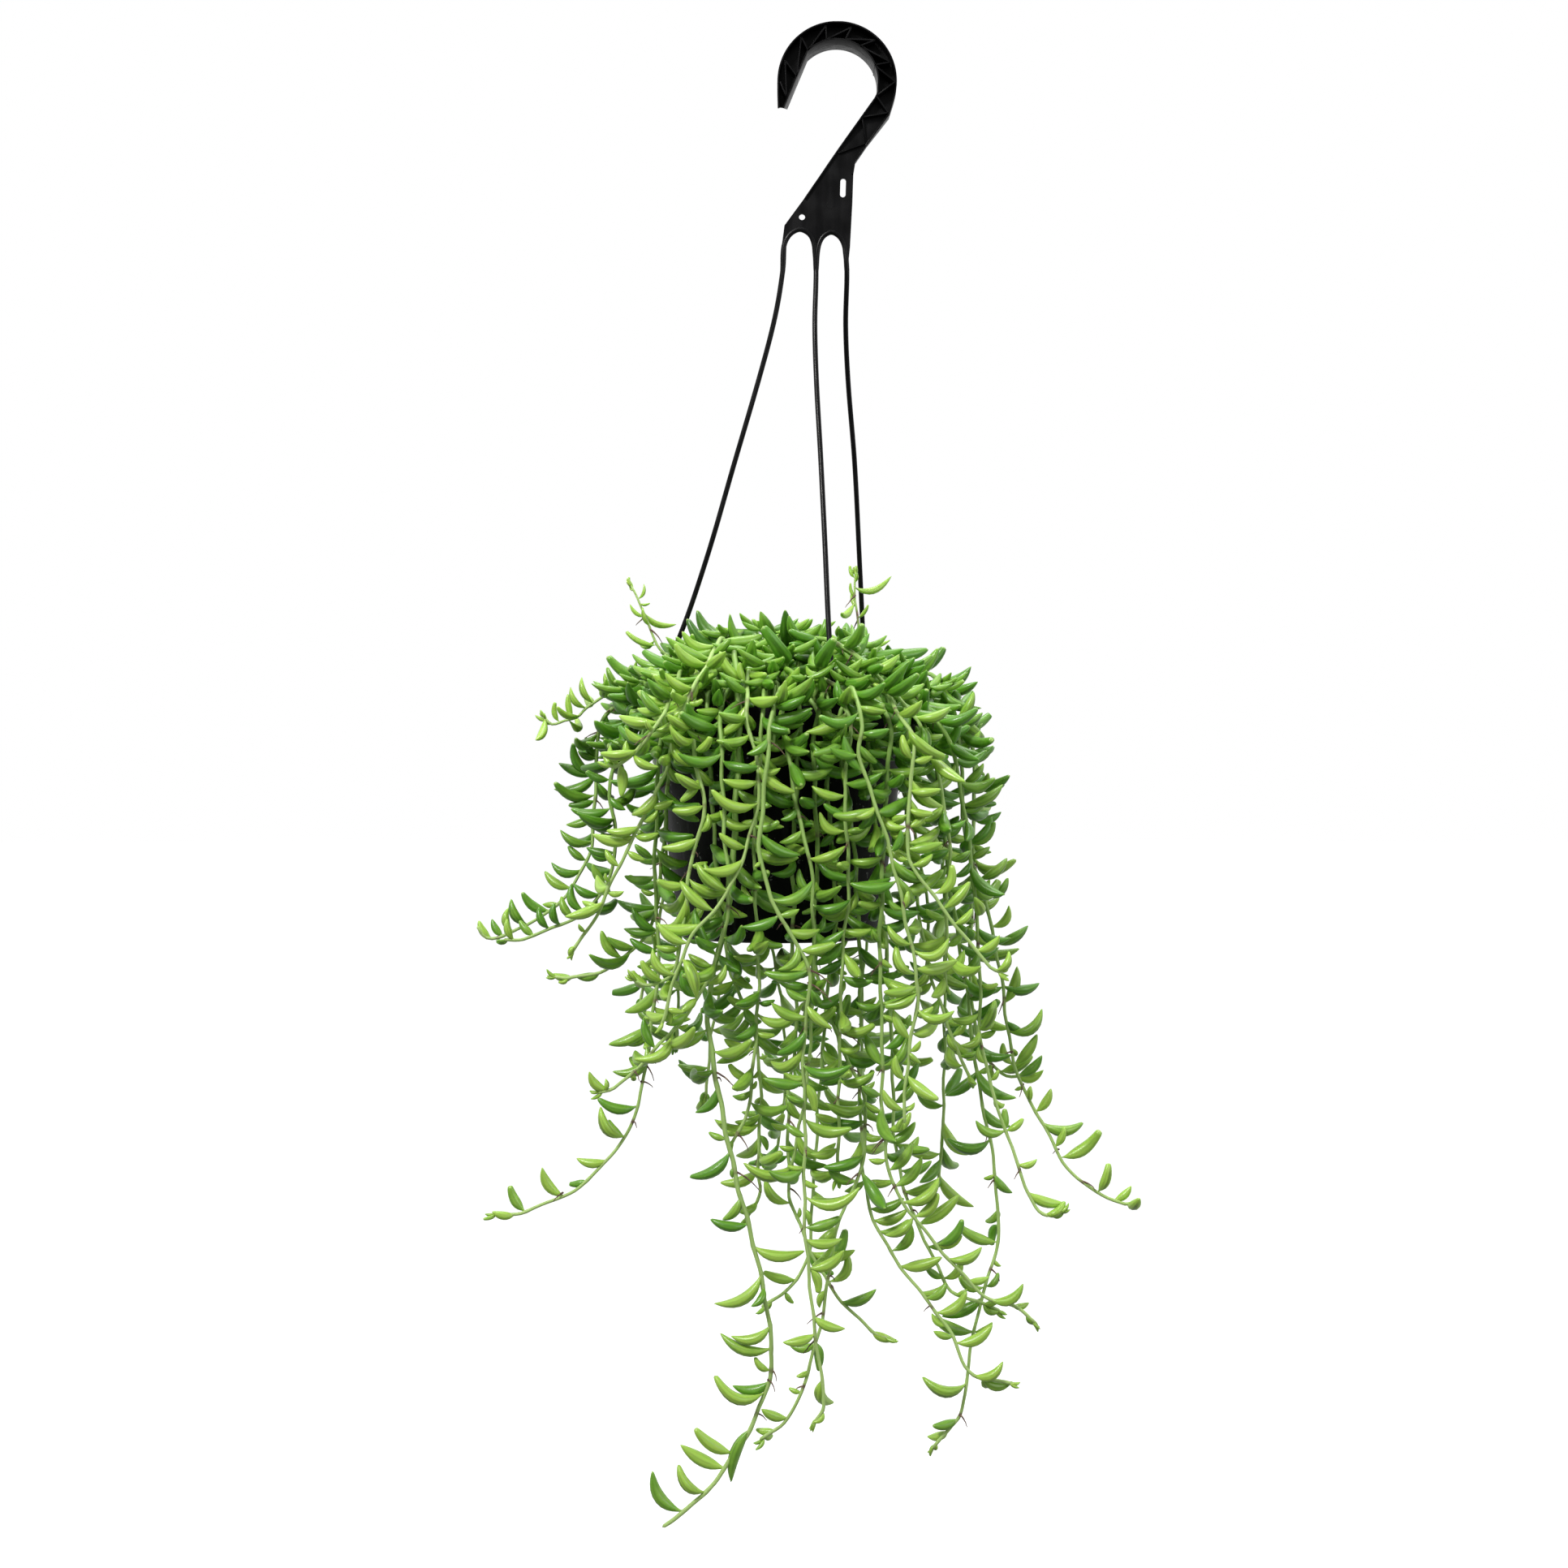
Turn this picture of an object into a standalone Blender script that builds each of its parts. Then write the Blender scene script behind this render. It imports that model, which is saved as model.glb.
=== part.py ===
import math
import random

import bmesh
import bpy
from mathutils import Vector

for old in list(bpy.data.objects):
    bpy.data.objects.remove(old, do_unlink=True)

# Every length is in metres. The origin is where the hook rests on a rail, +Z is up and -Y is the front.
# Routes are drawn on an upright sheet through the hook: a right and down grid of SHEET_UNIT squares,
# looked at from VIEW_DISTANCE in front of its centre, with the depth behind the sheet in millimetres.
SHEET_UNIT = 0.00046
SHEET_CENTRE = (966.0, 966.0)
SHEET_SEAT = (1030.0, 57.0)
VIEW_DISTANCE = 1.2
MM = 0.001

# Pot: a tapered cup with a straight collar at the rim.
POT_X = -0.0322
RIM_Z = -0.3765
POT_HEIGHT = 0.128
COLLAR_HEIGHT = 0.0155
COLLAR_RADIUS = 0.077
WALL_TOP_RADIUS = 0.0721
WALL_BASE_RADIUS = 0.0562
WALL = 0.0014
FLOOR = 0.0018
POT_SIDES = 32
FOOT_RAISE = 0.0012
FOOT_RING = 0.0115
EDGE_ROUND = 0.0035
STEP_DROP = 0.030
STEP_IN = 0.0005
STEP_HALF = 0.0006
DRAIN_RADIUS = 0.0045
DRAIN_CIRCLE = 0.036
DRAIN_COUNT = 4
DRAIN_SIDES = 8

# Soil: fills the pot to a little under the rim.
SOIL_DROP = 0.010
SOIL_HEAP = 0.003
SOIL_BEND_RADIUS = 0.045
SEAT_GAP = 0.0003
HOLE_DEPTH = 0.007
HOLE_SIDES = 5

# Hanger: one moulding of a ribbed hook, a thin plate and three round arms.
HOOK_DEPTH = 0.017
LIMB_DEPTH = 0.0045
HOOK_MIDDLE = 1010.0
TAPER_TOP = 100.0
TAPER_END = 165.0
TIP_SLANT = 0.0052
WEB_SLANT = 0.62
WEB = 0.0016
FLANGE = 0.0011
RIB = 0.0010
BEAD_RADIUS = 0.0015
ARM_RADIUS = 0.00145
ARM_SIDES = 6
EYELET_RADIUS = 0.00175
EYELET_SIDES = 10
CLIP_LENGTH = 0.009
CLIP_WIDTH = 0.0065
CLIP_WALL = 0.0016
CLIP_INNER_SLACK = 0.0005
RIM_ANGLES = (173.0, -67.0, 50.0)

BLACK_PLASTIC = ("black_plastic", (0.012, 0.012, 0.013), 0.55, 0.0)
HANGER_PLASTIC = ("hanger_plastic", (0.010, 0.010, 0.011), 0.42, 0.0)
SOIL_DARK = ("potting_soil", (0.045, 0.030, 0.020), 0.95, 0.0)
LEAFY_GREEN = ("leafy_green", (0.13, 0.30, 0.05), 0.38, 0.0)
LEAFY_BRIGHT = ("leafy_bright", (0.27, 0.46, 0.07), 0.38, 0.0)

# Edges that turn by less than this are shaded round
POT_ROUND = 30.0
HANGER_ROUND = 65.0
STRAND_ROUND = 180.0
FLAT_TURN = 0.004


# Sheet point to world point
def spot(u, v, depth=0.0):
    back = depth * MM
    reach = SHEET_UNIT * (VIEW_DISTANCE + back) / VIEW_DISTANCE
    eye_x = (SHEET_CENTRE[0] - SHEET_SEAT[0]) * SHEET_UNIT
    eye_z = (SHEET_SEAT[1] - SHEET_CENTRE[1]) * SHEET_UNIT
    return Vector((eye_x + (u - SHEET_CENTRE[0]) * reach, back, eye_z - (v - SHEET_CENTRE[1]) * reach))


def flat(u, v, depth=0.0):
    place = spot(u, v, depth)
    return (place.x, place.z)


# Materials and objects
def material(look):
    name, colour, roughness, metallic = look
    surface = bpy.data.materials.get(name) or bpy.data.materials.new(name)
    surface.use_nodes = True
    shader = surface.node_tree.nodes["Principled BSDF"]
    shader.inputs["Base Color"].default_value = (*colour, 1.0)
    shader.inputs["Roughness"].default_value = roughness
    shader.inputs["Metallic"].default_value = metallic
    return surface


def add_object(name, mesh, look=None):
    piece = bpy.data.objects.new(name, mesh)
    bpy.context.scene.collection.objects.link(piece)
    if look is not None:
        mesh.materials.append(material(look))
    return piece


def mesh_from(name, points, faces):
    mesh = bpy.data.meshes.new(name)
    mesh.from_pydata([tuple(point) for point in points], [], faces)
    shape = bmesh.new()
    shape.from_mesh(mesh)
    bmesh.ops.recalc_face_normals(shape, faces=shape.faces)
    bmesh.ops.triangulate(shape, faces=[face for face in shape.faces if len(face.verts) > 4])
    shape.to_mesh(mesh)
    shape.free()
    return mesh


# A solid of stacked rings, each end closed by a face or, for a ring of one point, by a cone
def ring_solid(name, rings):
    points = []
    starts = []
    for ring in rings:
        starts.append(len(points))
        points.extend(ring)
    faces = []
    for index in range(len(rings) - 1):
        low, high = rings[index], rings[index + 1]
        a, b = starts[index], starts[index + 1]
        count = max(len(low), len(high))
        for side in range(count):
            after = (side + 1) % count
            if len(low) == 1:
                faces.append((a, b + after, b + side))
            elif len(high) == 1:
                faces.append((a + side, a + after, b))
            else:
                faces.append((a + side, a + after, b + after, b + side))
    if len(rings[0]) > 1:
        faces.append(tuple(range(starts[0] + len(rings[0]) - 1, starts[0] - 1, -1)))
    if len(rings[-1]) > 1:
        faces.append(tuple(range(starts[-1], starts[-1] + len(rings[-1]))))
    return mesh_from(name, points, faces)


# A turned solid about the pot's axis, from an outline that starts and ends on the axis
def turned(name, outline, sides):
    rings = []
    for radius, height in outline:
        if radius < 1e-6:
            rings.append([Vector((POT_X, 0.0, height))])
            continue
        ring = []
        for side in range(sides):
            angle = 2.0 * math.pi * side / sides
            ring.append(Vector((POT_X + radius * math.cos(angle), radius * math.sin(angle), height)))
        rings.append(ring)
    return ring_solid(name, rings)


# Frames carried along a route without twisting
def carried_frames(route):
    frames = []
    side = None
    for index, point in enumerate(route):
        ahead = route[min(index + 1, len(route) - 1)] - route[max(index - 1, 0)]
        ahead.normalize()
        if side is None:
            guide = Vector((0.0, 1.0, 0.0)) if abs(ahead.y) < 0.9 else Vector((1.0, 0.0, 0.0))
            side = ahead.cross(guide)
        side = (side - ahead * side.dot(ahead)).normalized()
        frames.append((point, side, ahead.cross(side).normalized()))
    return frames


def tube(name, route, radii, sides):
    rings = []
    for (point, across, up), radius in zip(carried_frames(route), radii):
        ring = []
        for side in range(sides):
            angle = 2.0 * math.pi * (side + 0.5) / sides
            ring.append(point + across * (radius * math.cos(angle)) + up * (radius * math.sin(angle)))
        rings.append(ring)
    return ring_solid(name, rings)


# Cuts and unions
def use_modifier(piece, modifier):
    bpy.context.view_layer.update()
    graph = bpy.context.evaluated_depsgraph_get()
    made = bpy.data.meshes.new_from_object(piece.evaluated_get(graph))
    piece.modifiers.remove(modifier)
    before = piece.data
    piece.data = made
    bpy.data.meshes.remove(before)


def join_repeats(piece, repeats, solver="EXACT"):
    if not repeats:
        return
    group = bpy.data.collections.new(piece.name + "_repeats")
    bpy.context.scene.collection.children.link(group)
    for mesh in repeats:
        group.objects.link(bpy.data.objects.new(mesh.name, mesh))
    union = piece.modifiers.new("union", "BOOLEAN")
    union.operation = "UNION"
    union.operand_type = "COLLECTION"
    union.collection = group
    union.solver = solver
    use_modifier(piece, union)
    for used in list(group.objects):
        bpy.data.objects.remove(used, do_unlink=True)
    bpy.data.collections.remove(group)


def cut_holes(piece, cutters):
    group = bpy.data.collections.new(piece.name + "_cutters")
    bpy.context.scene.collection.children.link(group)
    for mesh in cutters:
        cutter = bpy.data.objects.new(mesh.name, mesh)
        cutter.hide_render = True
        cutter.display_type = "WIRE"
        group.objects.link(cutter)
    cut = piece.modifiers.new("cut", "BOOLEAN")
    cut.operation = "DIFFERENCE"
    cut.operand_type = "COLLECTION"
    cut.collection = group
    cut.solver = "EXACT"
    use_modifier(piece, cut)
    for used in list(group.objects):
        bpy.data.objects.remove(used, do_unlink=True)
    bpy.data.collections.remove(group)


def upright_peg(name, x, y, low, high, radius, sides):
    rings = []
    for height in (low, high):
        ring = []
        for side in range(sides):
            angle = 2.0 * math.pi * side / sides
            ring.append(Vector((x + radius * math.cos(angle), y + radius * math.sin(angle), height)))
        rings.append(ring)
    return ring_solid(name, rings)


# Make every face a triangle that looks outward
def tidy_mesh(piece):
    shape = bmesh.new()
    shape.from_mesh(piece.data)
    bmesh.ops.triangulate(shape, faces=shape.faces)
    bmesh.ops.recalc_face_normals(shape, faces=shape.faces)
    shape.to_mesh(piece.data)
    shape.free()


# Merge neighbouring triangles that lie in one plane
def merge_flats(piece):
    shape = bmesh.new()
    shape.from_mesh(piece.data)
    bmesh.ops.dissolve_limit(shape, angle_limit=FLAT_TURN, verts=shape.verts, edges=shape.edges)
    bmesh.ops.triangulate(shape, faces=shape.faces)
    shape.to_mesh(piece.data)
    shape.free()


# Drop loose scrap beside the largest body
def keep_main_body(piece):
    shape = bmesh.new()
    shape.from_mesh(piece.data)
    left = set(shape.faces)
    bodies = []
    while left:
        seed = left.pop()
        body = [seed]
        front = [seed]
        while front:
            for edge in front.pop().edges:
                for face in edge.link_faces:
                    if face in left:
                        left.discard(face)
                        body.append(face)
                        front.append(face)
        bodies.append(body)
    bodies.sort(key=len)
    scrap = [face for body in bodies[:-1] for face in body]
    if scrap:
        bmesh.ops.delete(shape, geom=scrap, context="FACES")
    shape.to_mesh(piece.data)
    shape.free()


def shade_round(piece, degrees):
    piece.data.shade_smooth()
    piece.data.set_sharp_from_angle(angle=math.radians(degrees))




# Pot
def pot_profile():
    base = RIM_Z - POT_HEIGHT
    under = RIM_Z - COLLAR_HEIGHT
    taper = (WALL_TOP_RADIUS - WALL_BASE_RADIUS) / (under - base)
    step = under - STEP_DROP
    at_step = WALL_TOP_RADIUS - taper * STEP_DROP
    return [
        (0.0, base + FOOT_RAISE),
        (WALL_BASE_RADIUS - FOOT_RING - 0.0005, base + FOOT_RAISE),
        (WALL_BASE_RADIUS - FOOT_RING + 0.0005, base),
        (WALL_BASE_RADIUS - EDGE_ROUND, base),
        (WALL_BASE_RADIUS + 0.0004, base + EDGE_ROUND - 0.0001),
        (at_step - STEP_IN, step - STEP_HALF),
        (at_step, step + STEP_HALF),
        (WALL_TOP_RADIUS, under + 0.0004),
        (COLLAR_RADIUS, under + 0.0012),
        (COLLAR_RADIUS, RIM_Z - 0.0004),
        (COLLAR_RADIUS - 0.0003, RIM_Z),
        (COLLAR_RADIUS - WALL, RIM_Z),
        (COLLAR_RADIUS - WALL, under + 0.0030),
        (WALL_TOP_RADIUS - WALL, under + 0.0018),
        (WALL_BASE_RADIUS - WALL, base + 0.0050),
        (WALL_BASE_RADIUS - WALL - 0.0030, base + FOOT_RAISE + FLOOR),
        (0.0, base + FOOT_RAISE + FLOOR),
    ]


def make_pot():
    piece = add_object("pot", turned("pot", pot_profile(), POT_SIDES), BLACK_PLASTIC)
    base = RIM_Z - POT_HEIGHT
    drains = []
    for index in range(DRAIN_COUNT):
        angle = 2.0 * math.pi * (index + 0.5) / DRAIN_COUNT
        x = POT_X + DRAIN_CIRCLE * math.cos(angle)
        y = DRAIN_CIRCLE * math.sin(angle)
        drains.append(upright_peg("drain", x, y, base - 0.002, base + 0.006, DRAIN_RADIUS, DRAIN_SIDES))
    cut_holes(piece, drains)
    tidy_mesh(piece)
    shade_round(piece, POT_ROUND)


# Soil with a plain hole for every stem
def soil_top(radius):
    return RIM_Z - SOIL_DROP + SOIL_HEAP * (1.0 - (radius / WALL_TOP_RADIUS) ** 2)


def soil_profile():
    base = RIM_Z - POT_HEIGHT
    under = RIM_Z - COLLAR_HEIGHT
    inside = COLLAR_RADIUS - WALL - SEAT_GAP
    return [
        (0.0, base + FOOT_RAISE + FLOOR + SEAT_GAP),
        (WALL_BASE_RADIUS - WALL - 0.0034, base + FOOT_RAISE + FLOOR + SEAT_GAP),
        (WALL_BASE_RADIUS - WALL - SEAT_GAP, base + 0.0054),
        (WALL_TOP_RADIUS - WALL - SEAT_GAP, under + 0.0022),
        (inside, under + 0.0034),
        (inside, soil_top(inside)),
        (SOIL_BEND_RADIUS, soil_top(SOIL_BEND_RADIUS)),
        (0.0, soil_top(0.0)),
    ]


def make_soil(holes):
    piece = add_object("soil", turned("soil", soil_profile(), POT_SIDES), SOIL_DARK)
    pegs = []
    for x, y, radius in holes:
        top = soil_top(math.hypot(x - POT_X, y))
        pegs.append(upright_peg("hole", x, y, top - HOLE_DEPTH - SEAT_GAP, top + 0.004, radius, HOLE_SIDES))
    cut_holes(piece, pegs)
    tidy_mesh(piece)
    shade_round(piece, POT_ROUND)


# Hanger. An edge of the hook is some points, then an arc (right, down, radius, first and last angle,
# number of steps), then more points.
HOOK_OUTER = (
    [(958.2, 133.0), (957.6, 112.0)],
    (1031.5, 99.2, 74.0, 178.0, -16.0, 12),
    [(1096.3, 141.0), (1067.6, 180.0), (1053.9, 200.0), (1051.6, 214.0)],
)
HOOK_INNER = (
    [(966.0, 133.6), (981.0, 97.6)],
    (1031.0, 99.0, 50.3, 135.0, -6.0, 9),
    [(1080.8, 113.0), (1077.2, 120.0), (1034.4, 180.0), (1020.6, 200.0), (1011.4, 213.7), (991.0, 243.3)],
)
RIB_OUTER = [(961.2, 100.3), (967.5, 74.0), (987.3, 45.1), (1017.6, 31.2), (1049.1, 33.0), (1078.1, 48.8),
             (1096.9, 76.0), (1103.0, 100.3), (1093.9, 138.4), (1066.6, 176.0)]
RIB_INNER = [(969.0, 119.0), (981.8, 93.6), (995.7, 61.5), (1018.2, 48.2), (1041.8, 47.6), (1060.0, 56.0),
             (1077.5, 79.7), (1080.0, 117.8), (1062.4, 143.9), (1033.3, 188.1)]
LEFT_ARCH = [(964.5, 333.0), (966.0, 303.0), (973.0, 289.0), (985.5, 282.5), (998.0, 289.0), (1003.5, 303.0),
             (1005.5, 333.0)]
RIGHT_ARCH = [(1005.5, 333.0), (1008.0, 305.0), (1013.5, 292.0), (1024.2, 286.0), (1035.0, 292.0),
              (1041.0, 305.0), (1043.5, 333.0)]
PLATE = [(1050.2, 251.4), (1047.4, 305.0), (1042.5, 306.0), (1035.0, 292.0), (1024.2, 286.0),
         (1013.5, 292.0), (1008.0, 303.0), (1003.5, 302.0), (998.0, 289.0), (985.5, 282.5),
         (973.0, 289.0), (965.5, 303.0), (963.6, 300.0), (966.5, 278.0)]
EYELET = (988.2, 267.6)
SLOT = [(1035.6, 224.0), (1037.2, 220.4), (1041.2, 220.2), (1042.2, 224.0), (1041.6, 240.0),
        (1039.6, 243.2), (1036.6, 242.6), (1035.0, 239.0)]
ARMS = (
    [(964.5, 333, 0), (955, 390, 1), (937, 460, 2), (905, 570, 4), (870, 690, 6), (835, 790, 8),
     (806, 845, 9)],
    [(1005.5, 333, 0), (1004, 400, -8), (1006, 470, -18), (1011, 560, -31), (1016, 660, -45),
     (1022, 790, -62), (1027, 845, -69)],
    [(1043.5, 333, 0), (1042, 400, 8), (1045, 470, 17), (1053, 570, 30), (1059, 690, 43), (1064, 800, 55),
     (1065, 852, 60)],
)


# Half the hook's depth at a place: full round the bend, thinning down the right limb towards the plate
def hook_half(u, v):
    if u < HOOK_MIDDLE and v < TAPER_END:
        return HOOK_DEPTH * 0.5
    share = max(0.0, min(1.0, (v - TAPER_TOP) / (TAPER_END - TAPER_TOP)))
    return HOOK_DEPTH * 0.5 + (LIMB_DEPTH - HOOK_DEPTH) * 0.5 * share


# The hook's lines are drawn along its front edges, each point with half the hook's depth there
def hook_point(u, v):
    half = hook_half(u, v)
    return flat(u, v, -half / MM) + (half,)


def edge_line(parts, finer=1):
    before, arc, after = parts
    centre_u, centre_v, radius, first, last, count = arc
    line = [hook_point(u, v) for u, v in before]
    for index in range(count * finer + 1):
        angle = math.radians(first + (last - first) * index / (count * finer))
        line.append(hook_point(centre_u + radius * math.cos(angle), centre_v - radius * math.sin(angle)))
    line.extend(hook_point(u, v) for u, v in after)
    return line


# The hook's point is cut on a slant, its back shorter than its front and the web between them
def cut_slanted(line):
    near, ahead = Vector(line[0][:2]), Vector(line[1][:2])
    start = near + (ahead - near).normalized() * (TIP_SLANT * WEB_SLANT)
    return [(start.x, start.y, line[0][2])] + line[1:]


# A strip standing across the web along a line
def cross_strip(name, line, thick, slant=0.0):
    rings = []
    for index, (x, z, half) in enumerate(line):
        here = Vector((x, z))
        before = Vector(line[max(index - 1, 0)][:2])
        after = Vector(line[min(index + 1, len(line) - 1)][:2])
        along = (after - before).normalized()
        away = Vector((-along.y, along.x))
        ring = []
        for depth, width in ((-half, 0.5), (half, 0.5), (half, -0.5), (-half, -0.5)):
            place = here + away * (thick * width)
            if index == 0 and depth > 0.0:
                place += along * slant
            ring.append(Vector((place.x, depth, place.y)))
        rings.append(ring)
    return ring_solid(name, rings)


# A slab of an outline drawn in the sheet, half as thick on each side of it
def upright_slab(name, outline, half):
    rings = []
    for depth in (-half, half):
        rings.append([Vector((x, depth, z)) for x, z in outline])
    return ring_solid(name, rings)


# The line moved sideways, to its right as it runs, by a distance
def inset_line(line, distance):
    moved = []
    for index, (x, z, half) in enumerate(line):
        before = Vector(line[max(index - 1, 0)][:2])
        after = Vector(line[min(index + 1, len(line) - 1)][:2])
        along = (after - before).normalized()
        moved.append((x + along.y * distance, z - along.x * distance, half))
    return moved


def peg_across(name, u, v, radius, sides):
    x, z = flat(u, v)
    rings = []
    for depth in (-HOOK_DEPTH, HOOK_DEPTH):
        ring = []
        for side in range(sides):
            angle = 2.0 * math.pi * (side + 0.5) / sides
            ring.append(Vector((x + radius * math.cos(angle), depth, z + radius * math.sin(angle))))
        rings.append(ring)
    return ring_solid(name, rings)


# The clip at an arm's foot straddles the rim with a small gap on each side
def rim_clip(name, angle):
    turn = math.radians(angle)
    out = Vector((math.cos(turn), math.sin(turn), 0.0))
    across = Vector((-math.sin(turn), math.cos(turn), 0.0))
    foot = Vector((POT_X, 0.0, RIM_Z))
    inner = COLLAR_RADIUS - WALL - SEAT_GAP - CLIP_INNER_SLACK
    outer = COLLAR_RADIUS + SEAT_GAP + CLIP_INNER_SLACK
    top = SEAT_GAP
    outline = [
        (inner - CLIP_WALL, top + CLIP_WALL), (outer + CLIP_WALL, top + CLIP_WALL),
        (outer + CLIP_WALL, -CLIP_LENGTH), (outer, -CLIP_LENGTH), (outer, top),
        (inner, top), (inner, -CLIP_LENGTH * 0.5), (inner - CLIP_WALL, -CLIP_LENGTH * 0.5),
    ]
    rings = []
    for half in (-0.5, 0.5):
        rings.append([foot + out * r + across * (half * CLIP_WIDTH) + Vector((0, 0, h)) for r, h in outline])
    return ring_solid(name, rings)


# An arm runs as drawn and ends upright on the top of its clip
def arm_route(index):
    route = [spot(u, v, depth) for u, v, depth in ARMS[index]]
    turn = math.radians(RIM_ANGLES[index])
    reach = COLLAR_RADIUS - WALL * 0.5
    x = POT_X + reach * math.cos(turn)
    y = reach * math.sin(turn)
    route.append(Vector((x, y, RIM_Z + 0.006)))
    route.append(Vector((x, y, RIM_Z + SEAT_GAP + 0.0007)))
    return route


def make_hanger():
    outer = edge_line(HOOK_OUTER)
    inner = edge_line(HOOK_INNER)
    plate = [flat(u, v) for u, v in PLATE]
    upper = [point[:2] for point in cut_slanted(outer)]
    lower = [point[:2] for point in cut_slanted(inner)]
    web = upright_slab("hanger", upper + plate + lower[::-1], WEB * 0.5)
    piece = add_object("hanger", web, HANGER_PLASTIC)
    parts = [
        cross_strip("outer_flange", inset_line(outer, FLANGE * 0.5), FLANGE, TIP_SLANT),
        cross_strip("inner_flange", inset_line(inner, -FLANGE * 0.5), FLANGE, TIP_SLANT),
    ]
    rib_outer = [hook_point(*point) for point in RIB_OUTER]
    rib_inner = [hook_point(*point) for point in RIB_INNER]
    for index in range(len(RIB_OUTER)):
        parts.append(cross_strip("rib", [rib_outer[index], rib_inner[index]], RIB))
        if index + 1 < len(RIB_OUTER):
            parts.append(cross_strip("rib", [rib_inner[index], rib_outer[index + 1]], RIB))
    for arch in (LEFT_ARCH, RIGHT_ARCH):
        route = [spot(u, v) for u, v in arch]
        parts.append(tube("arch", route, [BEAD_RADIUS] * len(route), ARM_SIDES))
    for index in range(len(ARMS)):
        route = arm_route(index)
        parts.append(tube("arm", route, [ARM_RADIUS] * len(route), ARM_SIDES))
        parts.append(rim_clip("clip", RIM_ANGLES[index]))
    join_repeats(piece, parts)
    holes = [peg_across("eyelet", EYELET[0], EYELET[1], EYELET_RADIUS, EYELET_SIDES)]
    holes.append(upright_slab("slot", [flat(u, v) for u, v in SLOT], HOOK_DEPTH))
    cut_holes(piece, holes)
    tidy_mesh(piece)
    merge_flats(piece)
    shade_round(piece, HANGER_ROUND)


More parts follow.
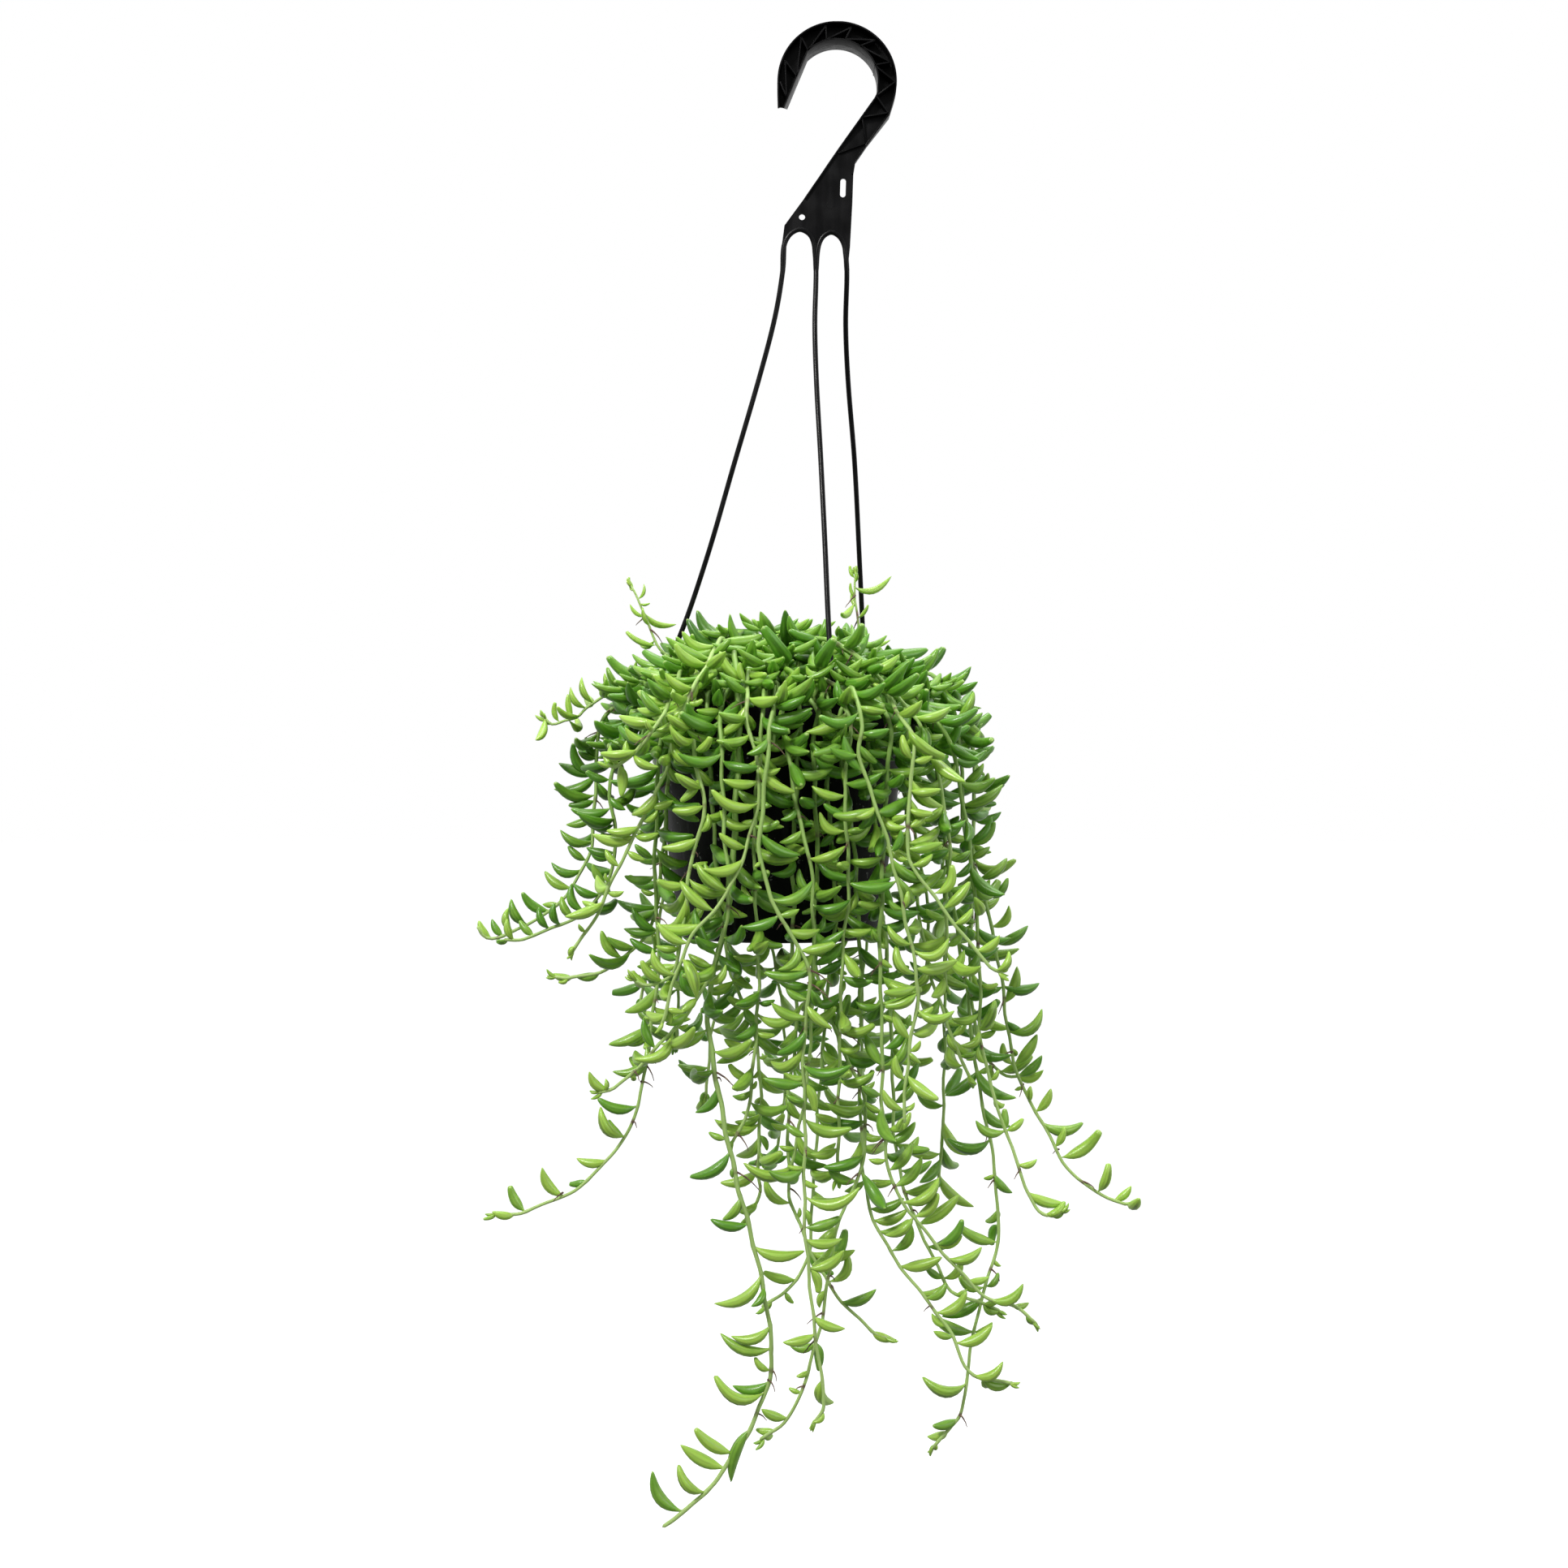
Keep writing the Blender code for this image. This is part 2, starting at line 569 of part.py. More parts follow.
# Strands. Each has a name, a route of (right, down, depth) points from the crown to the tip, and its
# leaves as (foot right, foot down, tip right, tip down). Leaves not listed are filled in by rule.
STRANDS = [
    ("strand_long_left", [
      (905, 800, -50), (908, 838, -70), (911, 872, -84), (910, 930, -90), (906, 1000, -88),
      (903, 1050, -84), (901, 1100, -80), (895, 1140, -76), (885, 1175, -74), (876, 1210, -74),
      (872, 1245, -74), (875, 1285, -76), (885, 1320, -78), (888, 1360, -80), (896, 1395, -82),
      (900, 1420, -82), (909, 1460, -82), (913, 1490, -82), (929, 1535, -82), (937, 1580, -82),
      (946, 1620, -80), (949, 1660, -78), (950, 1688, -76), (938, 1718, -76), (924, 1760, -76),
      (903, 1795, -78), (880, 1825, -80), (870, 1838, -80), (850, 1853, -82), (818, 1881, -84)], [
      (871, 1262, 822, 1290), (878, 1303, 858, 1322), (884, 1330, 856, 1371), (892, 1375, 882, 1380),
      (893, 1398, 873, 1395), (897, 1415, 849, 1450), (905, 1440, 903, 1452), (908, 1474, 890, 1503),
      (914, 1500, 875, 1502), (935, 1568, 879, 1606), (938, 1590, 925, 1610), (947, 1638, 900, 1646),
      (945, 1655, 887, 1642), (948, 1684, 930, 1672), (942, 1705, 902, 1707), (932, 1722, 880, 1694),
      (905, 1785, 856, 1760), (893, 1808, 838, 1780), (866, 1838, 836, 1804), (838, 1857, 804, 1812),
      (923, 1762, 901, 1827), (934, 1538, 992, 1541)]),
    ("strand_left_mid", [
      (830, 850, -40), (818, 880, -66), (812, 930, -74), (809, 1000, -70), (808, 1060, -66),
      (807, 1100, -62), (808, 1140, -58), (812, 1172, -56), (811, 1210, -56), (807, 1245, -56),
      (801, 1275, -56), (799, 1310, -56), (791, 1335, -56), (784, 1362, -56), (779, 1382, -56),
      (766, 1396, -58), (745, 1425, -60), (724, 1454, -62), (700, 1468, -62), (676, 1481, -62),
      (648, 1493, -62), (628, 1497, -62), (608, 1496, -62)], [
      (808, 1060, 782, 1040), (807, 1088, 769, 1079), (806, 1105, 790, 1096), (808, 1140, 779, 1118),
      (809, 1145, 768, 1144), (813, 1170, 776, 1156), (807, 1222, 769, 1247), (812, 1195, 788, 1205),
      (804, 1262, 793, 1253), (800, 1282, 766, 1284), (798, 1300, 754, 1320), (800, 1285, 795, 1291),
      (796, 1322, 776, 1302), (783, 1358, 736, 1353), (770, 1388, 750, 1379), (763, 1394, 740, 1363),
      (740, 1427, 710, 1427), (722, 1455, 701, 1459), (697, 1466, 668, 1438), (652, 1491, 628, 1461),
      (630, 1497, 606, 1493)]),
    ("strand_low_left", [
      (880, 835, -56), (886, 866, -78), (888, 900, -96), (890, 960, -98), (893, 1030, -98),
      (897, 1090, -96), (895, 1135, -92), (884, 1180, -90), (872, 1205, -88), (860, 1230, -88),
      (846, 1248, -86), (831, 1270, -86), (808, 1292, -84), (793, 1308, -84), (776, 1324, -82),
      (757, 1341, -82), (738, 1345, -82)], [
      (888, 1165, 856, 1118), (878, 1195, 848, 1175), (872, 1205, 894, 1188), (862, 1228, 841, 1195),
      (858, 1232, 838, 1247), (846, 1250, 820, 1262), (832, 1270, 848, 1262), (793, 1307, 796, 1291),
      (812, 1292, 793, 1254), (778, 1322, 782, 1330), (752, 1341, 726, 1320), (745, 1344, 746, 1329),
      (893, 1100, 868, 1062)]),
    ("strand_front_left", [
      (925, 800, -44), (922, 826, -68), (920, 865, -92), (921, 890, -96), (922, 915, -98),
      (929, 940, -100), (936, 962, -100), (932, 985, -98), (929, 1010, -98), (924, 1030, -98),
      (914, 1052, -98), (903, 1076, -100), (897, 1098, -102), (880, 1117, -102), (862, 1141, -102),
      (848, 1162, -102), (833, 1193, -100), (823, 1225, -98), (819, 1245, -98), (815, 1262, -98)], [
      (921, 838, 887, 802), (918, 842, 912, 816), (920, 866, 888, 905), (922, 906, 882, 912),
      (921, 932, 881, 913), (934, 965, 890, 960), (930, 985, 876, 972), (926, 1016, 887, 998),
      (922, 1040, 886, 1026), (907, 1062, 866, 1070), (896, 1098, 858, 1062), (897, 1098, 870, 1082),
      (878, 1117, 838, 1085), (845, 1162, 810, 1136), (830, 1198, 804, 1168), (836, 1184, 858, 1230),
      (820, 1232, 843, 1247), (819, 1256, 826, 1262), (926, 945, 962, 946), (928, 1020, 960, 1012)]),
    ("strand_front_bright", [
      (860, 830, -48), (855, 855, -74), (852, 885, -92), (856, 930, -96), (860, 965, -96),
      (867, 990, -96), (868, 1005, -96), (858, 1030, -94), (853, 1052, -92), (849, 1080, -92),
      (845, 1110, -90), (842, 1140, -90), (837, 1170, -88), (828, 1200, -86), (812, 1212, -86),
      (795, 1214, -86), (781, 1206, -86)], [
      (860, 960, 838, 988), (866, 985, 828, 998), (867, 1000, 890, 998), (862, 1022, 872, 1002),
      (856, 1036, 815, 1044), (852, 1062, 872, 1062), (849, 1080, 809, 1084), (846, 1108, 822, 1140),
      (842, 1140, 869, 1112), (838, 1162, 808, 1165), (820, 1208, 790, 1183), (803, 1214, 778, 1196),
      (832, 1192, 800, 1190)]),
    ("strand_left_bright", [
      (893, 790, -34), (880, 800, -54), (871, 822, -76), (860, 838, -88), (848, 858, -92),
      (838, 882, -94), (831, 905, -92), (826, 930, -90), (818, 955, -88), (803, 975, -86),
      (793, 998, -84), (783, 1025, -82), (772, 1048, -80), (762, 1070, -78), (752, 1092, -76),
      (741, 1113, -74), (730, 1136, -72), (716, 1158, -70), (706, 1172, -70)], [
      (878, 806, 900, 786), (862, 834, 880, 830), (845, 862, 866, 862), (826, 915, 856, 944),
      (830, 903, 817, 880), (800, 975, 778, 1004), (795, 990, 830, 986), (780, 1034, 766, 1030),
      (785, 1022, 812, 1026), (765, 1068, 746, 1046), (757, 1082, 746, 1076), (748, 1098, 769, 1098),
      (736, 1122, 717, 1110), (722, 1150, 713, 1138), (708, 1170, 702, 1180), (790, 1005, 810, 998),
      (775, 1042, 795, 1060)]),
    ("strand_front_short", [
      (845, 815, -52), (836, 835, -74), (826, 860, -90), (818, 880, -102), (808, 895, -106),
      (795, 912, -106), (785, 928, -104), (772, 938, -102), (758, 946, -100), (748, 944, -100)], [
      (806, 900, 796, 886), (815, 880, 790, 850), (793, 916, 770, 896), (783, 930, 812, 945),
      (775, 936, 772, 912), (757, 946, 744, 930), (768, 940, 752, 918), (772, 940, 765, 982)]),
]
STRANDS += [
    ("strand_left_low", [
      (790, 868, -10), (776, 884, -18), (768, 906, -24), (760, 930, -28), (752, 960, -30),
      (751, 990, -30), (757, 1022, -30), (758, 1050, -30), (752, 1078, -30), (740, 1102, -30),
      (720, 1122, -30), (703, 1134, -30), (690, 1138, -30), (664, 1150, -30), (645, 1156, -30),
      (622, 1158, -30)], [
      (751, 985, 771, 998), (754, 1000, 703, 996), (756, 1020, 722, 1012), (759, 1040, 740, 1026),
      (757, 1050, 722, 1044), (748, 1090, 730, 1064), (738, 1104, 706, 1088), (720, 1122, 705, 1088),
      (735, 1110, 730, 1115), (708, 1124, 692, 1104), (694, 1138, 684, 1112), (679, 1140, 664, 1118),
      (652, 1152, 640, 1134), (630, 1158, 625, 1132), (752, 960, 722, 950), (753, 955, 775, 962)]),
    ("strand_left_outer", [
      (775, 862, 12), (755, 872, 12), (742, 890, 12), (736, 915, 12), (732, 945, 10),
      (731, 975, 8), (732, 1005, 6), (728, 1032, 4), (723, 1060, 2), (708, 1078, 0),
      (697, 1097, -2), (688, 1113, -4), (660, 1130, -6), (638, 1143, -8), (620, 1154, -8),
      (600, 1155, -8), (590, 1142, -8)], [
      (731, 990, 700, 992), (730, 1010, 697, 1016), (730, 1012, 752, 1022), (727, 1035, 690, 1022),
      (724, 1055, 700, 1042), (723, 1045, 752, 1058), (712, 1072, 679, 1062), (702, 1086, 671, 1073),
      (690, 1112, 668, 1114), (672, 1120, 643, 1099), (650, 1136, 630, 1107), (630, 1148, 627, 1118),
      (619, 1153, 606, 1132), (604, 1155, 590, 1134), (732, 958, 682, 972), (731, 955, 706, 915),
      (730, 952, 688, 940), (733, 940, 722, 908), (734, 935, 712, 925), (736, 925, 752, 905)]),
    ("strand_left_tail", [
      (836, 890, -50), (826, 920, -66), (822, 980, -64), (818, 1040, -58), (814, 1090, -52),
      (806, 1130, -48), (792, 1158, -46), (773, 1170, -46), (757, 1181, -46), (745, 1195, -46),
      (718, 1202, -46), (700, 1206, -46), (684, 1203, -46)], [
      (776, 1166, 748, 1154), (764, 1174, 741, 1146), (800, 1150, 776, 1152), (800, 1148, 806, 1172),
      (740, 1196, 708, 1202), (706, 1205, 681, 1200), (700, 1206, 688, 1210)]),
    ("strand_left_sprig", [
      (822, 846, 0), (808, 849, -4), (793, 847, -6), (775, 847, -8), (754, 852, -8), (735, 862, -8),
      (722, 872, -8), (711, 885, -8), (695, 889, -8), (680, 892, -8), (672, 884, -8)], [
      (768, 848, 748, 822), (754, 852, 745, 829), (731, 861, 717, 834), (719, 871, 703, 846),
      (709, 885, 700, 855), (688, 889, 684, 865), (677, 891, 671, 878), (790, 846, 784, 814),
      (800, 850, 780, 848), (812, 850, 808, 834)]),
    ("strand_centre_left", [
      (948, 812, -48), (944, 840, -72), (940, 868, -90), (938, 910, -94), (934, 960, -92),
      (930, 1010, -88), (928, 1060, -84), (931, 1110, -80), (933, 1160, -76), (935, 1200, -74),
      (936, 1235, -74), (934, 1265, -74), (930, 1292, -74), (926, 1318, -74), (922, 1350, -74),
      (919, 1378, -74), (912, 1394, -74), (902, 1407, -74)], [
      (933, 1180, 903, 1178), (930, 1238, 896, 1228), (933, 1230, 955, 1232), (935, 1255, 905, 1278),
      (931, 1285, 892, 1280), (925, 1320, 898, 1311), (928, 1322, 935, 1318), (921, 1350, 902, 1350),
      (922, 1340, 932, 1332), (912, 1394, 890, 1392), (934, 1265, 955, 1275), (933, 1150, 965, 1165),
      (930, 1010, 905, 1018), (932, 1110, 915, 1090), (936, 870, 955, 862), (935, 935, 905, 948)]),
    ("strand_inner_left", [
      (875, 868, -30), (872, 905, -72), (876, 960, -72), (880, 1030, -68), (884, 1090, -62),
      (890, 1140, -58), (896, 1180, -56), (906, 1215, -56), (916, 1228, -56), (924, 1255, -56),
      (931, 1290, -58), (937, 1330, -58), (939, 1375, -58), (935, 1405, -58), (934, 1440, -58),
      (937, 1468, -58), (928, 1488, -58), (919, 1502, -58)], [
      (897, 1185, 928, 1218), (908, 1218, 862, 1246), (914, 1226, 880, 1255), (923, 1250, 903, 1272),
      (926, 1280, 882, 1310), (934, 1300, 946, 1300), (932, 1368, 905, 1382), (933, 1405, 906, 1424),
      (934, 1412, 940, 1440), (932, 1440, 887, 1457), (928, 1482, 908, 1492), (936, 1350, 930, 1358),
      (936, 1275, 970, 1300), (938, 1362, 950, 1365), (936, 1405, 945, 1418), (890, 1120, 870, 1150)]),
    ("strand_centre", [
      (955, 842, -50), (960, 862, -74), (966, 900, -90), (972, 935, -92), (977, 962, -92),
      (981, 990, -92), (986, 1015, -92), (994, 1040, -92), (999, 1065, -92), (1001, 1110, -90),
      (1002, 1150, -86), (1003, 1195, -82), (1001, 1235, -80), (998, 1270, -78), (998, 1305, -76),
      (993, 1345, -72), (984, 1375, -70), (979, 1405, -68), (975, 1435, -66)], [
      (974, 940, 1026, 946), (968, 915, 938, 910), (980, 980, 992, 960), (980, 985, 962, 1010),
      (988, 1020, 960, 1038), (999, 1055, 1042, 1042), (1000, 1100, 985, 1070), (1002, 1120, 1048, 1108),
      (1002, 1170, 1040, 1146), (1001, 1155, 1015, 1128), (1001, 1180, 960, 1182), (1002, 1240, 1040, 1220),
      (1000, 1290, 1016, 1262), (998, 1325, 1036, 1302), (1000, 1310, 980, 1300), (995, 1330, 965, 1320),
      (975, 1425, 960, 1412), (1000, 1255, 1030, 1240)]),
    ("strand_centre_long", [
      (972, 835, -60), (962, 850, -82), (951, 880, -100), (946, 930, -104), (940, 985, -104),
      (936, 1040, -104), (940, 1075, -104), (951, 1100, -104), (960, 1127, -104), (975, 1148, -104),
      (985, 1170, -104), (996, 1195, -102), (997, 1225, -100), (994, 1260, -98), (990, 1290, -96),
      (987, 1330, -94), (989, 1360, -92), (992, 1400, -90), (990, 1440, -90), (991, 1490, -90),
      (995, 1540, -90), (998, 1585, -90), (1004, 1632, -90), (1009, 1680, -90), (1016, 1712, -90),
      (1016, 1733, -90), (1003, 1752, -90)], [
      (938, 1060, 930, 1068), (960, 1130, 914, 1142), (962, 1128, 985, 1120), (986, 1170, 958, 1195),
      (994, 1196, 941, 1198), (992, 1225, 968, 1216), (990, 1248, 950, 1235), (994, 1275, 957, 1298),
      (984, 1325, 940, 1328), (989, 1345, 1004, 1370), (992, 1365, 968, 1348), (992, 1385, 1050, 1390),
      (990, 1395, 968, 1384), (990, 1440, 970, 1436), (991, 1450, 1008, 1462), (992, 1472, 1060, 1462),
      (991, 1485, 996, 1510), (996, 1528, 1038, 1526),
      (998, 1562, 1040, 1540), (1000, 1572, 1008, 1594), (1006, 1642, 964, 1654),
      (1005, 1625, 1042, 1637), (1016, 1706, 1028, 1728), (1014, 1735, 1001, 1753), (996, 1502, 1036, 1500)]),
]
STRANDS += [
    ("strand_centre_low", [
      (985, 850, -54), (984, 880, -76), (983, 930, -78), (980, 1000, -74), (976, 1060, -68),
      (978, 1120, -62), (975, 1180, -58), (979, 1230, -56), (982, 1265, -56), (976, 1300, -56),
      (972, 1345, -56), (971, 1400, -56), (972, 1445, -58), (975, 1482, -60), (988, 1505, -62),
      (999, 1532, -64), (1010, 1560, -66), (1020, 1580, -66), (1040, 1603, -66), (1060, 1627, -66),
      (1074, 1640, -66), (1095, 1648, -66)], [
      (972, 1380, 950, 1384), (972, 1422, 938, 1422), (973, 1440, 960, 1448), (976, 1488, 943, 1450),
      (990, 1508, 985, 1488), (1002, 1540, 1054, 1540), (1008, 1555, 1042, 1514), (1018, 1575, 1042, 1540),
      (1042, 1603, 1080, 1588), (1072, 1640, 1104, 1651), (1000, 1535, 1028, 1570), (978, 1240, 1000, 1256),
      (975, 1190, 950, 1210), (974, 1350, 990, 1380), (980, 1270, 960, 1290), (972, 1400, 1020, 1436)]),
    ("strand_centre_tip", [
      (1012, 850, -62), (1010, 868, -84), (1004, 900, -86), (1003, 960, -84), (1007, 1030, -78),
      (1006, 1090, -72), (1003, 1150, -68), (1010, 1210, -66), (1018, 1245, -68), (1031, 1275, -70),
      (1044, 1305, -72), (1053, 1325, -74), (1061, 1340, -74), (1064, 1370, -76), (1067, 1395, -76),
      (1062, 1425, -76), (1056, 1455, -76), (1044, 1482, -76), (1032, 1510, -76), (1026, 1545, -76),
      (1021, 1580, -76), (1015, 1612, -76), (1009, 1645, -76), (999, 1672, -76), (990, 1708, -76),
      (980, 1735, -76), (966, 1753, -76), (948, 1767, -76), (938, 1774, -76)], [
      (1022, 1262, 1046, 1225), (1047, 1310, 1010, 1335), (1060, 1340, 1078, 1332), (1063, 1362, 1016, 1358),
      (1066, 1385, 1014, 1374), (1062, 1420, 1014, 1438), (1058, 1452, 1020, 1440), (1052, 1465, 1000, 1475),
      (1034, 1505, 1002, 1535), (1028, 1530, 1000, 1560), (1020, 1590, 1010, 1612), (1003, 1660, 973, 1658),
      (1005, 1655, 1008, 1690), (1000, 1685, 981, 1696), (985, 1720, 972, 1710), (972, 1747, 938, 1736),
      (955, 1762, 931, 1761), (942, 1770, 952, 1768), (1050, 1318, 1008, 1328), (1010, 1200, 1040, 1180),
      (1006, 1040, 1030, 1022), (1006, 1110, 988, 1125)]),
    ("strand_front_right", [
      (1018, 838, -60), (1036, 850, -82), (1043, 872, -94), (1048, 890, -96), (1043, 930, -96),
      (1041, 980, -94), (1041, 1030, -92), (1044, 1060, -90), (1046, 1088, -88), (1041, 1115, -86),
      (1040, 1145, -84), (1038, 1180, -82), (1037, 1230, -80), (1035, 1290, -78), (1034, 1340, -76),
      (1033, 1400, -74), (1033, 1455, -72)], [
      (1040, 880, 992, 902), (1044, 870, 1032, 838), (1044, 905, 1068, 908), (1040, 930, 998, 916),
      (1041, 945, 1040, 962), (1041, 975, 1000, 968), (1041, 1000, 1015, 990), (1043, 1020, 1010, 1000),
      (1042, 1030, 1068, 1020), (1045, 1070, 1014, 1062), (1046, 1085, 1098, 1082), (1043, 1105, 1008, 1122),
      (1042, 1120, 1055, 1098), (1040, 1140, 1074, 1145), (1038, 1170, 1004, 1188), (1038, 1195, 1076, 1208),
      (1036, 1235, 1040, 1208), (1036, 1260, 1078, 1262), (1034, 1300, 1060, 1290), (1034, 1335, 1078, 1320),
      (1033, 1375, 1004, 1372), (1033, 1410, 998, 1422), (1033, 1440, 1060, 1405), (1034, 1455, 1000, 1436)]),
    ("strand_front_mid_right", [
      (1032, 826, -58), (1046, 843, -84), (1058, 865, -102), (1061, 895, -106), (1059, 930, -106),
      (1068, 960, -106), (1077, 990, -106), (1085, 1012, -106), (1093, 1035, -106), (1099, 1062, -104),
      (1106, 1092, -104), (1113, 1120, -104), (1121, 1150, -102), (1127, 1185, -102), (1131, 1222, -100),
      (1126, 1255, -98), (1120, 1295, -96), (1118, 1335, -96), (1114, 1368, -96), (1113, 1382, -96)], [
      (1060, 905, 1096, 898), (1059, 935, 1022, 920), (1063, 945, 1040, 905), (1075, 985, 1052, 1006),
      (1077, 992, 1026, 1004), (1078, 985, 1060, 1020), (1096, 1050, 1110, 1022), (1103, 1082, 1047, 1088),
      (1113, 1118, 1118, 1096), (1115, 1130, 1095, 1108), (1124, 1160, 1094, 1140), (1127, 1192, 1105, 1164),
      (1131, 1222, 1096, 1212), (1131, 1215, 1090, 1240), (1128, 1252, 1150, 1240), (1122, 1290, 1134, 1282),
      (1120, 1275, 1100, 1245), (1119, 1325, 1104, 1300), (1116, 1362, 1088, 1342), (1114, 1378, 1127, 1358),
      (1120, 1300, 1135, 1310), (1060, 870, 1092, 876)]),
    ("strand_right_arch", [
      (985, 793, -22), (1003, 787, -36), (1022, 788, -44), (1042, 799, -54), (1062, 815, -64),
      (1082, 832, -72), (1100, 853, -80), (1118, 875, -86), (1134, 893, -90), (1146, 918, -90),
      (1152, 945, -88), (1160, 975, -86), (1166, 1010, -84), (1170, 1045, -82), (1166, 1080, -78),
      (1166, 1130, -74), (1165, 1180, -70), (1166, 1215, -68)], [
      (1012, 788, 972, 776), (1005, 788, 1016, 762), (1060, 812, 1042, 840), (1090, 840, 1110, 862),
      (1100, 855, 1076, 842), (1130, 885, 1172, 870), (1138, 897, 1136, 934), (1146, 915, 1162, 905),
      (1150, 935, 1130, 955), (1160, 970, 1122, 962), (1163, 990, 1128, 1010), (1168, 1022, 1190, 1010),
      (1170, 1045, 1134, 1055), (1168, 1055, 1196, 1048), (1166, 1078, 1140, 1092), (1166, 1100, 1196, 1086),
      (1166, 1135, 1140, 1120), (1166, 1160, 1186, 1150), (1165, 1190, 1188, 1170), (1165, 1212, 1148, 1228),
      (1030, 793, 1066, 780), (1075, 826, 1108, 806), (1120, 878, 1092, 900)]),
    ("strand_right_long", [
      (1062, 838, -44), (1078, 856, -66), (1092, 878, -84), (1097, 905, -90), (1099, 935, -90),
      (1095, 970, -90), (1090, 1005, -88), (1087, 1050, -88), (1087, 1090, -86), (1085, 1130, -84),
      (1084, 1180, -82), (1086, 1225, -80), (1087, 1270, -80), (1087, 1320, -80), (1088, 1370, -80),
      (1087, 1398, -80), (1094, 1430, -80), (1102, 1462, -80), (1115, 1487, -80), (1130, 1508, -80),
      (1148, 1528, -80), (1168, 1550, -80), (1184, 1573, -80), (1197, 1585, -80), (1214, 1597, -80),
      (1235, 1605, -80), (1254, 1612, -80), (1274, 1628, -80)], [
      (1096, 950, 1074, 950), (1097, 955, 1140, 945), (1096, 930, 1070, 925), (1094, 978, 1076, 985),
      (1098, 900, 1062, 905), (1087, 1060, 1045, 1060), (1086, 1110, 1058, 1112), (1085, 1140, 1040, 1126),
      (1084, 1165, 1075, 1145), (1085, 1185, 1100, 1192), (1086, 1230, 1054, 1234), (1087, 1240, 1130, 1222),
      (1087, 1250, 1105, 1258), (1087, 1310, 1066, 1272), (1088, 1280, 1115, 1262), (1088, 1300, 1118, 1278),
      (1088, 1345, 1062, 1338), (1088, 1375, 1066, 1358), (1088, 1385, 1122, 1370), (1091, 1415, 1128, 1382),
      (1098, 1444, 1124, 1408), (1110, 1465, 1136, 1425), (1120, 1488, 1157, 1450), (1130, 1503, 1156, 1470),
      (1128, 1502, 1090, 1522), (1150, 1528, 1186, 1502), (1158, 1532, 1186, 1522), (1175, 1550, 1210, 1536),
      (1190, 1580, 1184, 1566), (1197, 1584, 1219, 1573), (1222, 1598, 1261, 1581), (1248, 1609, 1268, 1605),
      (1262, 1620, 1277, 1631), (1094, 1425, 1070, 1428)]),
    ("strand_right_bright", [
      (1090, 848, -58), (1102, 868, -82), (1114, 890, -100), (1126, 915, -104), (1129, 945, -104),
      (1124, 985, -104), (1118, 1018, -104), (1118, 1045, -104), (1124, 1065, -104), (1134, 1084, -104),
      (1150, 1100, -104), (1163, 1115, -104), (1174, 1135, -104), (1190, 1155, -104), (1207, 1178, -104),
      (1220, 1192, -104), (1234, 1198, -104)], [
      (1125, 985, 1160, 972), (1122, 995, 1150, 1002), (1118, 1020, 1140, 1002), (1120, 1030, 1100, 1012),
      (1119, 1050, 1162, 1038), (1122, 1060, 1098, 1046), (1128, 1075, 1149, 1052), (1146, 1092, 1173, 1065),
      (1164, 1112, 1195, 1086), (1181, 1140, 1198, 1119), (1207, 1170, 1232, 1152), (1230, 1192, 1243, 1172),
      (1232, 1198, 1242, 1188), (1128, 930, 1112, 905), (1128, 945, 1150, 930), (1118, 1010, 1090, 995)]),
    ("strand_right_outer", [
      (1142, 830, -10), (1160, 845, -14), (1173, 868, -18), (1180, 900, -22), (1186, 945, -24),
      (1187, 985, -26), (1186, 1018, -28), (1191, 1040, -28), (1201, 1065, -28), (1211, 1092, -28),
      (1217, 1122, -28), (1223, 1150, -28), (1230, 1185, -28), (1235, 1215, -28), (1237, 1250, -28),
      (1243, 1285, -28), (1250, 1312, -28), (1260, 1336, -30), (1274, 1360, -32), (1283, 1382, -34),
      (1302, 1408, -36), (1316, 1430, -38), (1328, 1453, -40), (1350, 1468, -40), (1372, 1478, -42),
      (1386, 1483, -42), (1404, 1478, -42)], [
      (1178, 885, 1200, 852), (1184, 890, 1211, 878), (1182, 920, 1208, 900), (1186, 935, 1224, 918),
      (1187, 990, 1236, 966), (1188, 1030, 1222, 1006), (1190, 1040, 1226, 1012), (1196, 1055, 1172, 1048),
      (1205, 1068, 1220, 1043), (1206, 1072, 1241, 1057), (1212, 1090, 1242, 1081), (1222, 1138, 1243, 1115),
      (1219, 1130, 1205, 1112), (1228, 1162, 1267, 1140), (1224, 1160, 1198, 1145), (1234, 1216, 1204, 1206),
      (1245, 1230, 1253, 1190), (1250, 1222, 1281, 1211), (1240, 1262, 1262, 1272), (1245, 1280, 1284, 1242),
      (1252, 1318, 1278, 1274), (1255, 1322, 1284, 1300), (1243, 1290, 1252, 1300), (1250, 1312, 1236, 1285),
      (1266, 1345, 1250, 1343), (1270, 1350, 1270, 1338), (1280, 1368, 1295, 1341), (1286, 1383, 1335, 1383),
      (1302, 1402, 1312, 1388), (1316, 1418, 1356, 1393), (1347, 1465, 1366, 1433), (1374, 1478, 1394, 1461),
      (1390, 1482, 1406, 1476), (1186, 960, 1212, 940), (1187, 1000, 1215, 985)]),
    ("strand_right_mid", [
      (1128, 856, -48), (1142, 872, -58), (1158, 892, -62), (1172, 920, -62), (1182, 960, -60),
      (1190, 1010, -56), (1196, 1050, -54), (1200, 1095, -52), (1204, 1140, -52), (1207, 1190, -52),
      (1206, 1245, -52), (1210, 1290, -54), (1219, 1325, -56), (1230, 1365, -58), (1239, 1393, -60),
      (1250, 1428, -62), (1264, 1465, -64), (1276, 1488, -66), (1290, 1499, -68), (1308, 1493, -68)], [
      (1206, 1170, 1186, 1200), (1206, 1245, 1172, 1255), (1210, 1260, 1226, 1232), (1208, 1270, 1182, 1288),
